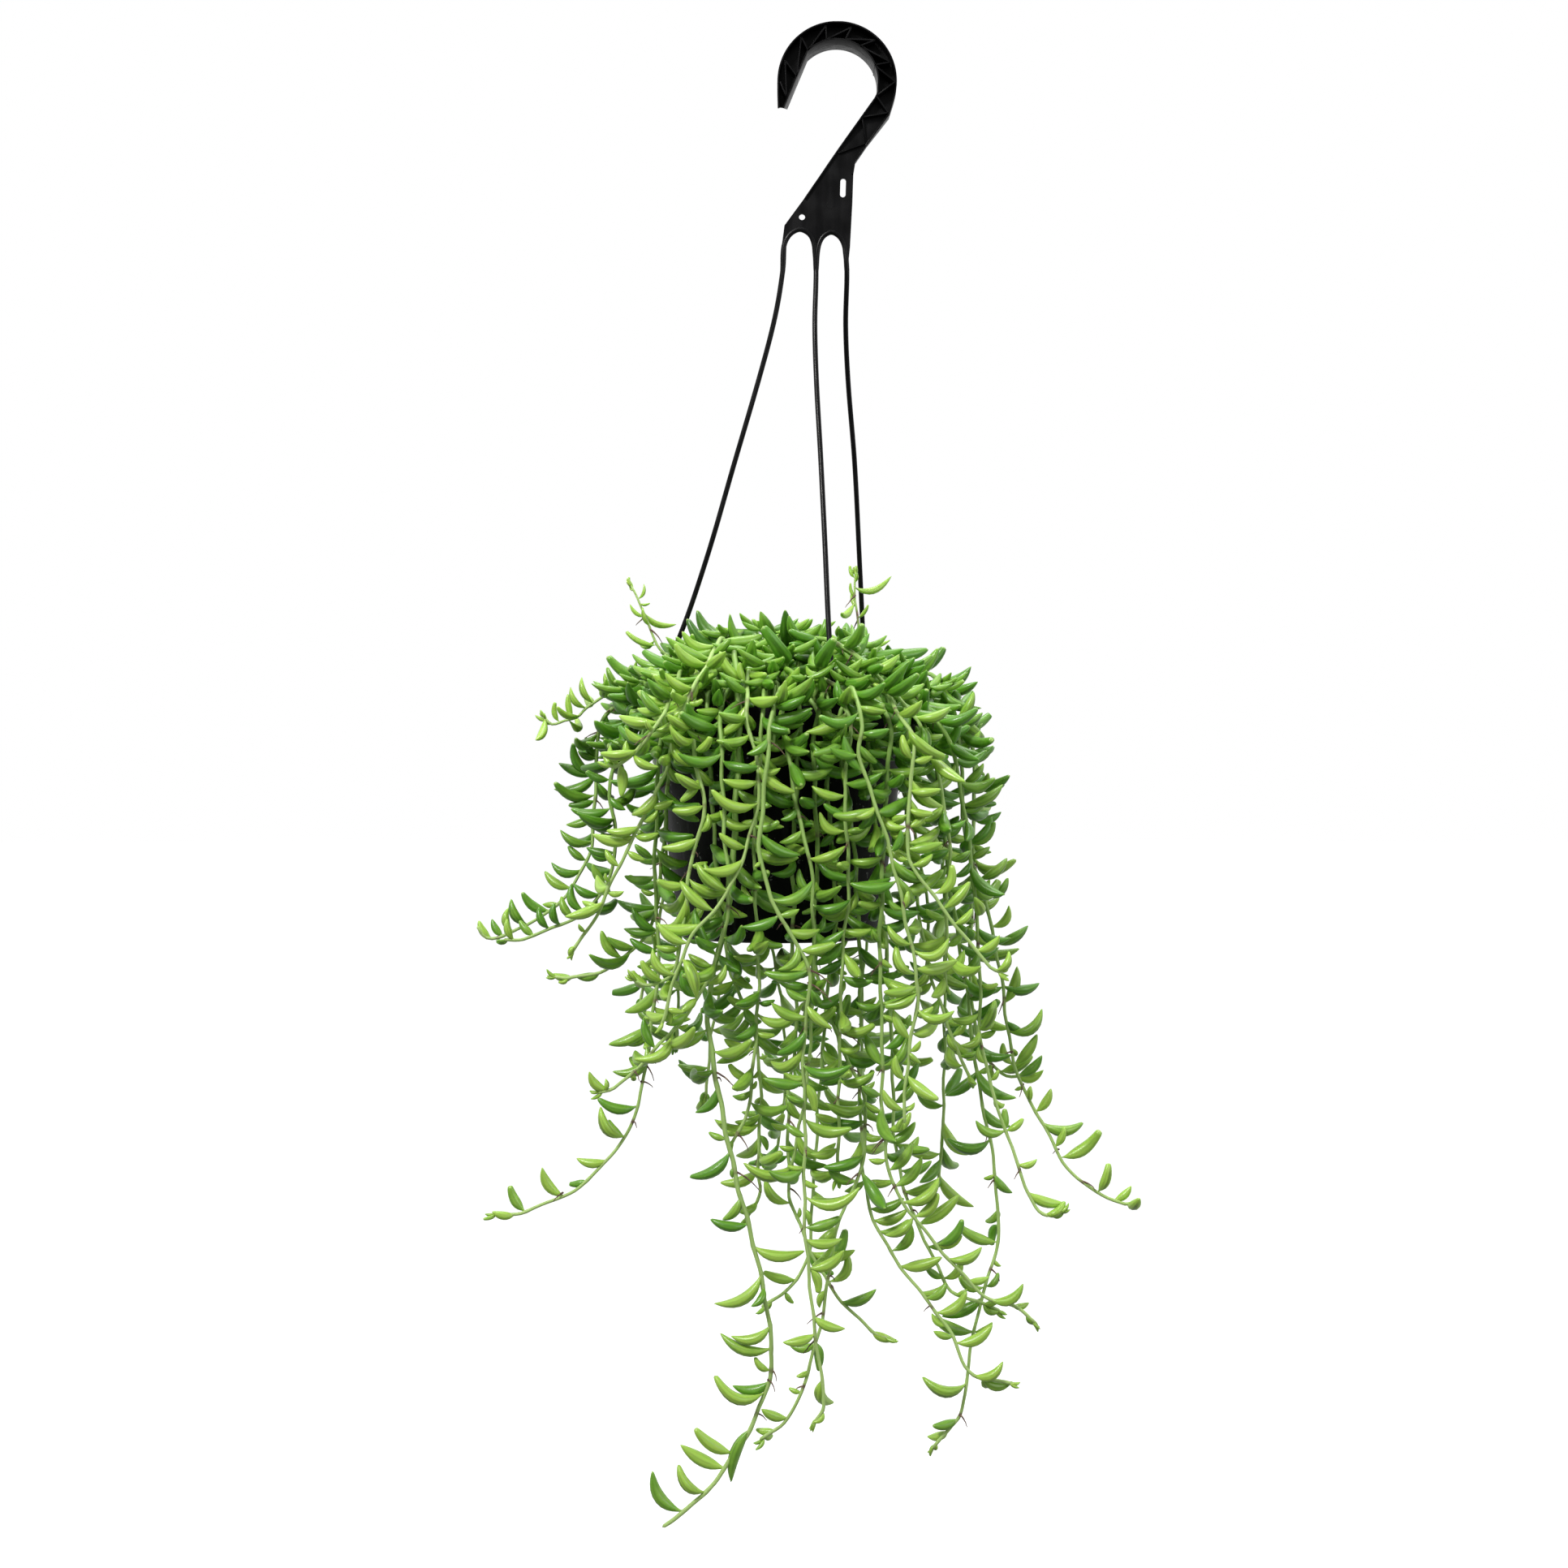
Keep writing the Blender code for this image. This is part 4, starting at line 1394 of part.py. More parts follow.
# A leaf in the thick of the plant has one ring, a leaf on the open outline two
def leaf_mesh(name, grown, plain):
    foot, tip, sag = grown
    length = (tip - foot).length
    width = leaf_width(length)
    line, away = leaf_line(foot, tip, sag, 8)
    chord = (tip - foot).normalized()
    across = chord.cross(away).normalized()
    rings = [[line[0] - (line[1] - line[0]).normalized() * ROOT_SINK]]
    for step, size in ((4, 1.0),) if plain else ((3, 0.92), (6, 0.80)):
        centre = line[step]
        wide = width * size
        ahead = (line[step + 1] - line[step - 1]).normalized()
        up = across.cross(ahead).normalized()
        ring = []
        for angle in (90.0, 210.0, 330.0):
            turn = math.radians(angle)
            ring.append(centre + across * (wide * math.cos(turn) * 0.95) - up * (wide * math.sin(turn)))
        rings.append(ring)
    rings.append([line[8]])
    return ring_solid(name, rings)


def in_thick(route, grown):
    right, down = sheet_of(grown[1])
    return route["kind"] != "drawn" or DENSE[0] < right < DENSE[1] and down < DENSE[2]


# How many edges don't have exactly two faces
def open_edges(piece):
    shape = bmesh.new()
    shape.from_mesh(piece.data)
    count = sum(1 for edge in shape.edges if not edge.is_manifold)
    shape.free()
    return count


# A stem with its leaves, all fused into one closed solid
def make_strand(route):
    points, radii = route["points"], route["radii"]
    look = LEAFY_BRIGHT if "bright" in route["name"] else LEAFY_GREEN
    piece = None
    for solver in ("MANIFOLD", "EXACT"):
        if piece is not None:
            bpy.data.objects.remove(piece, do_unlink=True)
        piece = add_object(route["name"], tube(route["name"], points, radii, STEM_SIDES), look)
        join_repeats(piece, [leaf_mesh("leaf", grown, in_thick(route, grown)) for grown in route["grown"]],
                     solver)
        tidy_mesh(piece)
        keep_main_body(piece)
        if not open_edges(piece):
            break
    shade_round(piece, STRAND_ROUND)


strands = lay_out()
make_pot()
make_soil([(route["points"][0].x, route["points"][0].y, route["radii"][0] + SEAT_GAP + 0.0001)
           for route in strands])
make_hanger()
for strand in strands:
    make_strand(strand)
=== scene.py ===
import math
import random

import bmesh
import bpy
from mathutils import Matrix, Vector, noise


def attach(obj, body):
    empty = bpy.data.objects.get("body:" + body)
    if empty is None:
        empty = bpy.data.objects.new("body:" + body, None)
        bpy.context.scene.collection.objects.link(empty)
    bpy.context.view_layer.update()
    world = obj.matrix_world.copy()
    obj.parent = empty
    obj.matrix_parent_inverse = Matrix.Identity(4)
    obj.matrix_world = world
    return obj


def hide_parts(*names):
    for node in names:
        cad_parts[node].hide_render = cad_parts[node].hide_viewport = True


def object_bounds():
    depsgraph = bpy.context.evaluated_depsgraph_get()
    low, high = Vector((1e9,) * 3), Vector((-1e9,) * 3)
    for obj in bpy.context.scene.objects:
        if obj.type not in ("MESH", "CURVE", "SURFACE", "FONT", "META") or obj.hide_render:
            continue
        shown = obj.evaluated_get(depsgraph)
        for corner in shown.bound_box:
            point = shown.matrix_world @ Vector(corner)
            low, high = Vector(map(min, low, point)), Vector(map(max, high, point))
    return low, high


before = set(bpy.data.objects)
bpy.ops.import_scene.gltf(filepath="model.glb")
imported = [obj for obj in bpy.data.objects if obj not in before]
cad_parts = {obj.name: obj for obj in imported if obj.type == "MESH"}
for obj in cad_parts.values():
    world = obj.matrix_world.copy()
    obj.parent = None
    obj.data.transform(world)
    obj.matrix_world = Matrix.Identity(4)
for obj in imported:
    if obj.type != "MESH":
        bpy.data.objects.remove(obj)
cad_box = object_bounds()

# Every length is in metres. Routes are drawn on an upright sheet through the hook: a right and down grid
# of SHEET_UNIT squares, looked at from VIEW_DISTANCE in front of its centre, with the depth behind the
# sheet in millimetres.
SHEET_UNIT = 0.00046
SHEET_CENTRE = (966.0, 966.0)
SHEET_SEAT = (1030.0, 57.0)
VIEW_DISTANCE = 1.2
MM = 0.001

POT_X = -0.0322
RIM_Z = -0.3765
POT_HEIGHT = 0.128
COLLAR_HEIGHT = 0.0155
COLLAR_RADIUS = 0.077
WALL_TOP_RADIUS = 0.0721
WALL_BASE_RADIUS = 0.0562
WALL = 0.0014
FLOOR = 0.0018
FOOT_RAISE = 0.0012
STEP_DROP = 0.030
DRAIN_RADIUS = 0.0045
DRAIN_CIRCLE = 0.036
DRAIN_COUNT = 4
SOIL_DROP = 0.010
SOIL_HEAP = 0.003
SEAT_GAP = 0.0003
HOLE_DEPTH = 0.007
HOOK_DEPTH = 0.017
LIMB_DEPTH = 0.0045
HOOK_MIDDLE = 1010.0
TAPER_TOP = 100.0
TAPER_END = 165.0
TIP_SLANT = 0.0052
WEB_SLANT = 0.62
BEAD_RADIUS = 0.0015
ARM_RADIUS = 0.00145
CLIP_LENGTH = 0.009
CLIP_WIDTH = 0.0065
CLIP_WALL = 0.0016
CLIP_INNER_SLACK = 0.0005
RIM_ANGLES = (173.0, -67.0, 50.0)

# Seeds of the random draws; some are counted on by the number of the stem
RULE_SEED = 400
EXTRA_SEED = 900
DRESS_SEED = 5000
FILLER_SEED = 71
ROOT_SEED = 9
GRIT_SEED = 33

RIM_MIDDLE = Vector((POT_X, 0.0, RIM_Z))
POT_BASE = RIM_Z - POT_HEIGHT
COLLAR_BASE = RIM_Z - COLLAR_HEIGHT


def upward(height):
    return Vector((0.0, 0.0, height))


# The level direction at a turn from +X, and the one square to it
def level_ways(turn):
    out = Vector((math.cos(turn), math.sin(turn), 0.0))
    return out, Vector((-out.y, out.x, 0.0))


# Sheet point to world point
def spot(u, v, depth=0.0):
    back = depth * MM
    reach = SHEET_UNIT * (VIEW_DISTANCE + back) / VIEW_DISTANCE
    eye_x = (SHEET_CENTRE[0] - SHEET_SEAT[0]) * SHEET_UNIT
    eye_z = (SHEET_SEAT[1] - SHEET_CENTRE[1]) * SHEET_UNIT
    return Vector((eye_x + (u - SHEET_CENTRE[0]) * reach, back, eye_z - (v - SHEET_CENTRE[1]) * reach))


def flat(u, v, depth=0.0):
    place = spot(u, v, depth)
    return (place.x, place.z)


# Cosine and sine at even turns of a full circle
def full_turn(count):
    turns = [2.0 * math.pi * side / count for side in range(count)]
    return [(math.cos(turn), math.sin(turn)) for turn in turns]


# The height of the heaped soil at a distance from the pot's axis
def soil_top(radius):
    return RIM_Z - SOIL_DROP + SOIL_HEAP * (1.0 - (radius / WALL_TOP_RADIUS) ** 2)


# Materials, and the world. A mesh of the plant carries one colour at each point, "grow", which its material
# reads: the age of a leaf from old 0 to young 1, the place along it from root 0 to tip 1, the place around
# it from the inner side 0 to the back 1, and a number of its own. A stem holds its age, how near a joint
# is, the place around it and its number.
class Nodes:
    def __init__(self, owner, shader="Principled BSDF"):
        self.owner = owner
        self.owner.use_nodes = True
        self.tree = self.owner.node_tree
        self.shader = self.tree.nodes[shader]

    def put(self, socket, value):
        if isinstance(value, bpy.types.NodeSocket):
            self.tree.links.new(value, socket)
        elif isinstance(value, tuple) and len(value) == 3 and len(socket.default_value) == 4:
            socket.default_value = (*value, 1.0)
        else:
            socket.default_value = value

    def math(self, operation, a, b=0.0, c=0.0):
        node = self.tree.nodes.new("ShaderNodeMath")
        node.operation = operation
        for socket, value in zip(node.inputs, (a, b, c)):
            self.put(socket, value)
        return node.outputs[0]

    def ramp(self, fac, low, high, to_low=0.0, to_high=1.0, kind="SMOOTHSTEP"):
        node = self.tree.nodes.new("ShaderNodeMapRange")
        node.interpolation_type = kind
        for socket, value in zip(node.inputs, (fac, low, high, to_low, to_high)):
            self.put(socket, value)
        return node.outputs[0]

    def mix(self, fac, a, b, blend="MIX"):
        node = self.tree.nodes.new("ShaderNodeMix")
        node.data_type = "RGBA"
        node.blend_type = blend
        self.put(node.inputs["Factor"], fac)
        self.put(node.inputs["A"], a)
        self.put(node.inputs["B"], b)
        return node.outputs["Result"]

    def noise(self, scale, detail=2.0, stretch=(1.0, 1.0, 1.0)):
        place = self.tree.nodes.new("ShaderNodeTexCoord")
        shift = self.tree.nodes.new("ShaderNodeMapping")
        shift.inputs["Scale"].default_value = stretch
        self.tree.links.new(place.outputs["Object"], shift.inputs["Vector"])
        node = self.tree.nodes.new("ShaderNodeTexNoise")
        node.inputs["Scale"].default_value = scale
        node.inputs["Detail"].default_value = detail
        self.tree.links.new(shift.outputs["Vector"], node.inputs["Vector"])
        return node.outputs["Fac"]

    def grow(self):
        read = self.tree.nodes.new("ShaderNodeAttribute")
        read.attribute_name = "grow"
        split = self.tree.nodes.new("ShaderNodeSeparateColor")
        self.tree.links.new(read.outputs["Color"], split.inputs["Color"])
        return split.outputs[0], split.outputs[1], split.outputs[2], read.outputs["Alpha"]

    def bump(self, height, strength, distance):
        node = self.tree.nodes.new("ShaderNodeBump")
        node.inputs["Strength"].default_value = strength
        node.inputs["Distance"].default_value = distance
        self.tree.links.new(height, node.inputs["Height"])
        self.tree.links.new(node.outputs["Normal"], self.shader.inputs["Normal"])

    def finish(self, colour, roughness, **fixed):
        self.put(self.shader.inputs["Base Color"], colour)
        self.put(self.shader.inputs["Roughness"], roughness)
        for key, value in fixed.items():
            self.put(self.shader.inputs[key.replace("_", " ")], value)
        return self.owner


def material_nodes(name):
    return Nodes(bpy.data.materials.new(name))


LEAF_OLD = (0.044, 0.152, 0.007)
LEAF_MIDDLE = (0.113, 0.333, 0.018)
LEAF_YOUNG = (0.395, 0.645, 0.085)
LEAF_STRIPE = (0.030, 0.085, 0.010)
LEAF_PALE = (0.42, 0.60, 0.15)
STEM_GREEN = (0.235, 0.430, 0.080)
STEM_PALE = (0.44, 0.63, 0.20)
STEM_OLD = (0.135, 0.240, 0.050)
JOINT_BROWN = (0.135, 0.062, 0.060)
ROOT_BROWN = (0.115, 0.058, 0.050)
ROOT_PALE = (0.30, 0.21, 0.13)
SPECK = (0.42, 0.52, 0.36)
POT_BLACK = (0.0035, 0.0035, 0.0040)
POT_GREY = (0.011, 0.011, 0.012)
DROP_GREY = (0.34, 0.35, 0.36)
STREAK_GREY = (0.16, 0.16, 0.17)
HANGER_BLACK = (0.0016, 0.0016, 0.0019)
HANGER_GREY = (0.0042, 0.0042, 0.0048)
SOIL_DARK = (0.014, 0.009, 0.006)
SOIL_BROWN = (0.075, 0.046, 0.027)
SOIL_FLECK = (0.20, 0.14, 0.09)
GRIT_DARK = (0.030, 0.018, 0.011)
GRIT_BROWN = (0.16, 0.105, 0.062)
GRIT_WHITE = (0.62, 0.60, 0.55)
FLOOR_GREY = (0.50, 0.50, 0.50)
WHITE = (1.0, 1.0, 1.0)
WARM = (1.0, 0.985, 0.96)
COOL = (0.96, 0.98, 1.0)


def leaf_material():
    m = material_nodes("waxy_leaf")
    age, along, around, _own = m.grow()
    wander = m.noise(140.0, 3.0)
    tone = m.math("ADD", age, m.math("MULTIPLY", m.math("SUBTRACT", wander, 0.5), 0.30))
    body = m.mix(m.ramp(tone, 0.05, 0.50), LEAF_OLD, LEAF_MIDDLE)
    body = m.mix(m.ramp(tone, 0.50, 0.98), body, LEAF_YOUNG)
    # The darker window along the inner side, soft at its edges, with a faint thin line beside it
    edge = m.math("ADD", around, m.math("MULTIPLY", m.math("SUBTRACT", wander, 0.5), 0.06))
    window = m.ramp(edge, 0.05, 0.16, 1.0, 0.0)
    line = m.ramp(m.math("ABSOLUTE", m.math("SUBTRACT", edge, 0.27)), 0.010, 0.050, 0.35, 0.0)
    reach = m.math("MULTIPLY", m.ramp(along, 0.14, 0.32), m.ramp(along, 0.72, 0.93, 1.0, 0.0))
    lines = m.math("MULTIPLY", m.math("MULTIPLY", m.math("MAXIMUM", window, line), reach), 0.46)
    body = m.mix(lines, body, m.mix(0.55, LEAF_STRIPE, body, "MULTIPLY"))
    # Soft lengthwise veins, darker and lighter in turn
    waves = m.math("SINE", m.math("MULTIPLY", edge, 25.0))
    dark = m.math("MULTIPLY", m.math("MULTIPLY", m.ramp(waves, 0.1, 1.0), reach), 0.20)
    body = m.mix(dark, body, m.mix(0.50, LEAF_STRIPE, body, "MULTIPLY"))
    light = m.math("MULTIPLY", m.math("MULTIPLY", m.ramp(waves, -0.3, -1.0), reach), 0.07)
    body = m.mix(light, body, LEAF_PALE)
    # The back of every leaf is blended a tenth of the way to pale green: a painted highlight along the back
    back = m.ramp(around, 0.55, 0.95)
    body = m.mix(m.math("MULTIPLY", back, 0.10), body, LEAF_PALE)
    ends = m.math("MAXIMUM", m.ramp(along, 0.955, 1.0), m.ramp(along, 0.0, 0.15, 0.75, 0.0))
    body = m.mix(m.math("MULTIPLY", ends, 0.85), body, LEAF_PALE)
    specks = m.ramp(m.noise(900.0, 2.0), 0.66, 0.74, 0.0, 0.20)
    body = m.mix(specks, body, SPECK)
    dust = m.math("ADD", 0.23, m.math("MULTIPLY", m.noise(420.0, 3.0), 0.20))
    m.bump(m.noise(650.0, 2.0), 0.10, 0.0004)
    return m.finish(body, dust, Subsurface_Weight=0.16, Subsurface_Radius=(0.0012, 0.0030, 0.0006),
                    Subsurface_Scale=1.0, Specular_IOR_Level=0.60)


def stem_material():
    m = material_nodes("fleshy_stem")
    age, joint, around, own = m.grow()
    fibre = m.noise(420.0, 3.0)
    body = m.mix(m.ramp(age, 0.05, 0.55), STEM_OLD, STEM_GREEN)
    body = m.mix(m.ramp(m.math("ADD", age, m.math("MULTIPLY", fibre, 0.2)), 0.55, 1.15), body, STEM_PALE)
    stripe = m.ramp(m.math("ABSOLUTE", m.math("SUBTRACT", around, 0.5)), 0.05, 0.22, 0.42, 0.0)
    body = m.mix(stripe, body, STEM_PALE)
    stain = m.math("MULTIPLY", m.ramp(joint, 0.45, 0.95), m.ramp(own, 0.0, 0.6, 0.45, 0.95))
    body = m.mix(stain, body, JOINT_BROWN)
    m.bump(m.noise(800.0, 2.0), 0.25, 0.0005)
    return m.finish(body, m.ramp(fibre, 0.2, 0.8, 0.42, 0.60), Subsurface_Weight=0.12,
                    Subsurface_Radius=(0.0010, 0.0018, 0.0005), Subsurface_Scale=1.0)


def root_material():
    m = material_nodes("aerial_root")
    shade = m.noise(520.0, 3.0)
    body = m.mix(m.ramp(shade, 0.40, 0.72), ROOT_BROWN, ROOT_PALE)
    m.bump(m.noise(1500.0, 2.0), 0.4, 0.0004)
    return m.finish(body, 0.72)


def pot_material():
    m = material_nodes("pot_plastic")
    cloud = m.noise(26.0, 4.0)
    grain = m.noise(1600.0, 2.0)
    body = m.mix(m.ramp(cloud, 0.35, 0.75), POT_BLACK, POT_GREY)
    drops = m.ramp(m.noise(260.0, 3.0), 0.655, 0.70)
    streak = m.ramp(m.noise(180.0, 3.0, (1.0, 1.0, 0.10)), 0.56, 0.72)
    body = m.mix(m.math("MULTIPLY", drops, 0.35), body, DROP_GREY)
    body = m.mix(m.math("MULTIPLY", streak, 0.10), body, STREAK_GREY)
    rough = m.math("ADD", m.ramp(cloud, 0.3, 0.7, 0.34, 0.50), m.math("MULTIPLY", drops, 0.25))
    m.bump(grain, 0.22, 0.0005)
    return m.finish(body, rough, Specular_IOR_Level=0.08)


def hanger_material():
    m = material_nodes("hanger_gloss")
    cloud = m.noise(60.0, 3.0)
    body = m.mix(m.ramp(cloud, 0.35, 0.7), HANGER_BLACK, HANGER_GREY)
    drag = m.noise(240.0, 2.0, (1.0, 1.0, 0.12))
    m.bump(drag, 0.16, 0.0004)
    return m.finish(body, m.ramp(m.math("ADD", cloud, drag), 0.7, 1.3, 0.26, 0.42), Specular_IOR_Level=0.18)


def soil_material():
    m = material_nodes("potting_mix")
    clod = m.noise(170.0, 6.0)
    fleck = m.ramp(m.noise(700.0, 3.0), 0.62, 0.70)
    body = m.mix(m.ramp(clod, 0.35, 0.68), SOIL_DARK, SOIL_BROWN)
    body = m.mix(m.math("MULTIPLY", fleck, 0.5), body, SOIL_FLECK)
    m.bump(m.noise(420.0, 6.0), 0.9, 0.0016)
    return m.finish(body, 0.93)


def grit_material():
    m = material_nodes("soil_grit")
    own = m.grow()[3]
    body = m.mix(m.ramp(own, 0.15, 0.85), GRIT_DARK, GRIT_BROWN)
    body = m.mix(m.ramp(own, 0.93, 0.95), body, GRIT_WHITE)
    m.bump(m.noise(1100.0, 4.0), 0.6, 0.0008)
    return m.finish(body, 0.9)


# Strands. Each has a name, a route of (right, down, depth) points from the crown to the tip, and its
# leaves as (foot right, foot down, tip right, tip down). Leaves not listed are filled in by rule.
STRANDS = [
    ("strand_long_left", [
      (905, 800, -50), (908, 838, -70), (911, 872, -84), (910, 930, -90), (906, 1000, -88),
      (903, 1050, -84), (901, 1100, -80), (895, 1140, -76), (885, 1175, -74), (876, 1210, -74),
      (872, 1245, -74), (875, 1285, -76), (885, 1320, -78), (888, 1360, -80), (896, 1395, -82),
      (900, 1420, -82), (909, 1460, -82), (913, 1490, -82), (929, 1535, -82), (937, 1580, -82),
      (946, 1620, -80), (949, 1660, -78), (950, 1688, -76), (938, 1718, -76), (924, 1760, -76),
      (903, 1795, -78), (880, 1825, -80), (870, 1838, -80), (850, 1853, -82), (818, 1881, -84)], [
      (871, 1262, 822, 1290), (878, 1303, 858, 1322), (884, 1330, 856, 1371), (892, 1375, 882, 1380),
      (893, 1398, 873, 1395), (897, 1415, 849, 1450), (905, 1440, 903, 1452), (908, 1474, 890, 1503),
      (914, 1500, 875, 1502), (935, 1568, 879, 1606), (938, 1590, 925, 1610), (947, 1638, 900, 1646),
      (945, 1655, 887, 1642), (948, 1684, 930, 1672), (942, 1705, 902, 1707), (932, 1722, 880, 1694),
      (905, 1785, 856, 1760), (893, 1808, 838, 1780), (866, 1838, 836, 1804), (838, 1857, 804, 1812),
      (923, 1762, 901, 1827), (934, 1538, 992, 1541)]),
    ("strand_left_mid", [
      (830, 850, -40), (818, 880, -66), (812, 930, -74), (809, 1000, -70), (808, 1060, -66),
      (807, 1100, -62), (808, 1140, -58), (812, 1172, -56), (811, 1210, -56), (807, 1245, -56),
      (801, 1275, -56), (799, 1310, -56), (791, 1335, -56), (784, 1362, -56), (779, 1382, -56),
      (766, 1396, -58), (745, 1425, -60), (724, 1454, -62), (700, 1468, -62), (676, 1481, -62),
      (648, 1493, -62), (628, 1497, -62), (608, 1496, -62)], [
      (808, 1060, 782, 1040), (807, 1088, 769, 1079), (806, 1105, 790, 1096), (808, 1140, 779, 1118),
      (809, 1145, 768, 1144), (813, 1170, 776, 1156), (807, 1222, 769, 1247), (812, 1195, 788, 1205),
      (804, 1262, 793, 1253), (800, 1282, 766, 1284), (798, 1300, 754, 1320), (800, 1285, 795, 1291),
      (796, 1322, 776, 1302), (783, 1358, 736, 1353), (770, 1388, 750, 1379), (763, 1394, 740, 1363),
      (740, 1427, 710, 1427), (722, 1455, 701, 1459), (697, 1466, 668, 1438), (652, 1491, 628, 1461),
      (630, 1497, 606, 1493)]),
    ("strand_low_left", [
      (880, 835, -56), (886, 866, -78), (888, 900, -96), (890, 960, -98), (893, 1030, -98),
      (897, 1090, -96), (895, 1135, -92), (884, 1180, -90), (872, 1205, -88), (860, 1230, -88),
      (846, 1248, -86), (831, 1270, -86), (808, 1292, -84), (793, 1308, -84), (776, 1324, -82),
      (757, 1341, -82), (738, 1345, -82)], [
      (888, 1165, 856, 1118), (878, 1195, 848, 1175), (872, 1205, 894, 1188), (862, 1228, 841, 1195),
      (858, 1232, 838, 1247), (846, 1250, 820, 1262), (832, 1270, 848, 1262), (793, 1307, 796, 1291),
      (812, 1292, 793, 1254), (778, 1322, 782, 1330), (752, 1341, 726, 1320), (745, 1344, 746, 1329),
      (893, 1100, 868, 1062)]),
    ("strand_front_left", [
      (925, 800, -44), (922, 826, -68), (920, 865, -92), (921, 890, -96), (922, 915, -98),
      (929, 940, -100), (936, 962, -100), (932, 985, -98), (929, 1010, -98), (924, 1030, -98),
      (914, 1052, -98), (903, 1076, -100), (897, 1098, -102), (880, 1117, -102), (862, 1141, -102),
      (848, 1162, -102), (833, 1193, -100), (823, 1225, -98), (819, 1245, -98), (815, 1262, -98)], [
      (921, 838, 887, 802), (918, 842, 912, 816), (920, 866, 888, 905), (922, 906, 882, 912),
      (921, 932, 881, 913), (934, 965, 890, 960), (930, 985, 876, 972), (926, 1016, 887, 998),
      (922, 1040, 886, 1026), (907, 1062, 866, 1070), (896, 1098, 858, 1062), (897, 1098, 870, 1082),
      (878, 1117, 838, 1085), (845, 1162, 810, 1136), (830, 1198, 804, 1168), (836, 1184, 858, 1230),
      (820, 1232, 843, 1247), (819, 1256, 826, 1262), (926, 945, 962, 946), (928, 1020, 960, 1012)]),
    ("strand_front_bright", [
      (860, 830, -48), (855, 855, -74), (852, 885, -92), (856, 930, -96), (860, 965, -96),
      (867, 990, -96), (868, 1005, -96), (858, 1030, -94), (853, 1052, -92), (849, 1080, -92),
      (845, 1110, -90), (842, 1140, -90), (837, 1170, -88), (828, 1200, -86), (812, 1212, -86),
      (795, 1214, -86), (781, 1206, -86)], [
      (860, 960, 838, 988), (866, 985, 828, 998), (867, 1000, 890, 998), (862, 1022, 872, 1002),
      (856, 1036, 815, 1044), (852, 1062, 872, 1062), (849, 1080, 809, 1084), (846, 1108, 822, 1140),
      (842, 1140, 869, 1112), (838, 1162, 808, 1165), (820, 1208, 790, 1183), (803, 1214, 778, 1196),
      (832, 1192, 800, 1190)]),
    ("strand_left_bright", [
      (893, 790, -34), (880, 800, -54), (871, 822, -76), (860, 838, -88), (848, 858, -92),
      (838, 882, -94), (831, 905, -92), (826, 930, -90), (818, 955, -88), (803, 975, -86),
      (793, 998, -84), (783, 1025, -82), (772, 1048, -80), (762, 1070, -78), (752, 1092, -76),
      (741, 1113, -74), (730, 1136, -72), (716, 1158, -70), (706, 1172, -70)], [
      (878, 806, 900, 786), (862, 834, 880, 830), (845, 862, 866, 862), (826, 915, 856, 944),
      (830, 903, 817, 880), (800, 975, 778, 1004), (795, 990, 830, 986), (780, 1034, 766, 1030),
      (785, 1022, 812, 1026), (765, 1068, 746, 1046), (757, 1082, 746, 1076), (748, 1098, 769, 1098),
      (736, 1122, 717, 1110), (722, 1150, 713, 1138), (708, 1170, 702, 1180), (790, 1005, 810, 998),
      (775, 1042, 795, 1060)]),
    ("strand_front_short", [
      (845, 815, -52), (836, 835, -74), (826, 860, -90), (818, 880, -102), (808, 895, -106),
      (795, 912, -106), (785, 928, -104), (772, 938, -102), (758, 946, -100), (748, 944, -100)], [
      (806, 900, 796, 886), (815, 880, 790, 850), (793, 916, 770, 896), (783, 930, 812, 945),
      (775, 936, 772, 912), (757, 946, 744, 930), (768, 940, 752, 918), (772, 940, 765, 982)]),
]
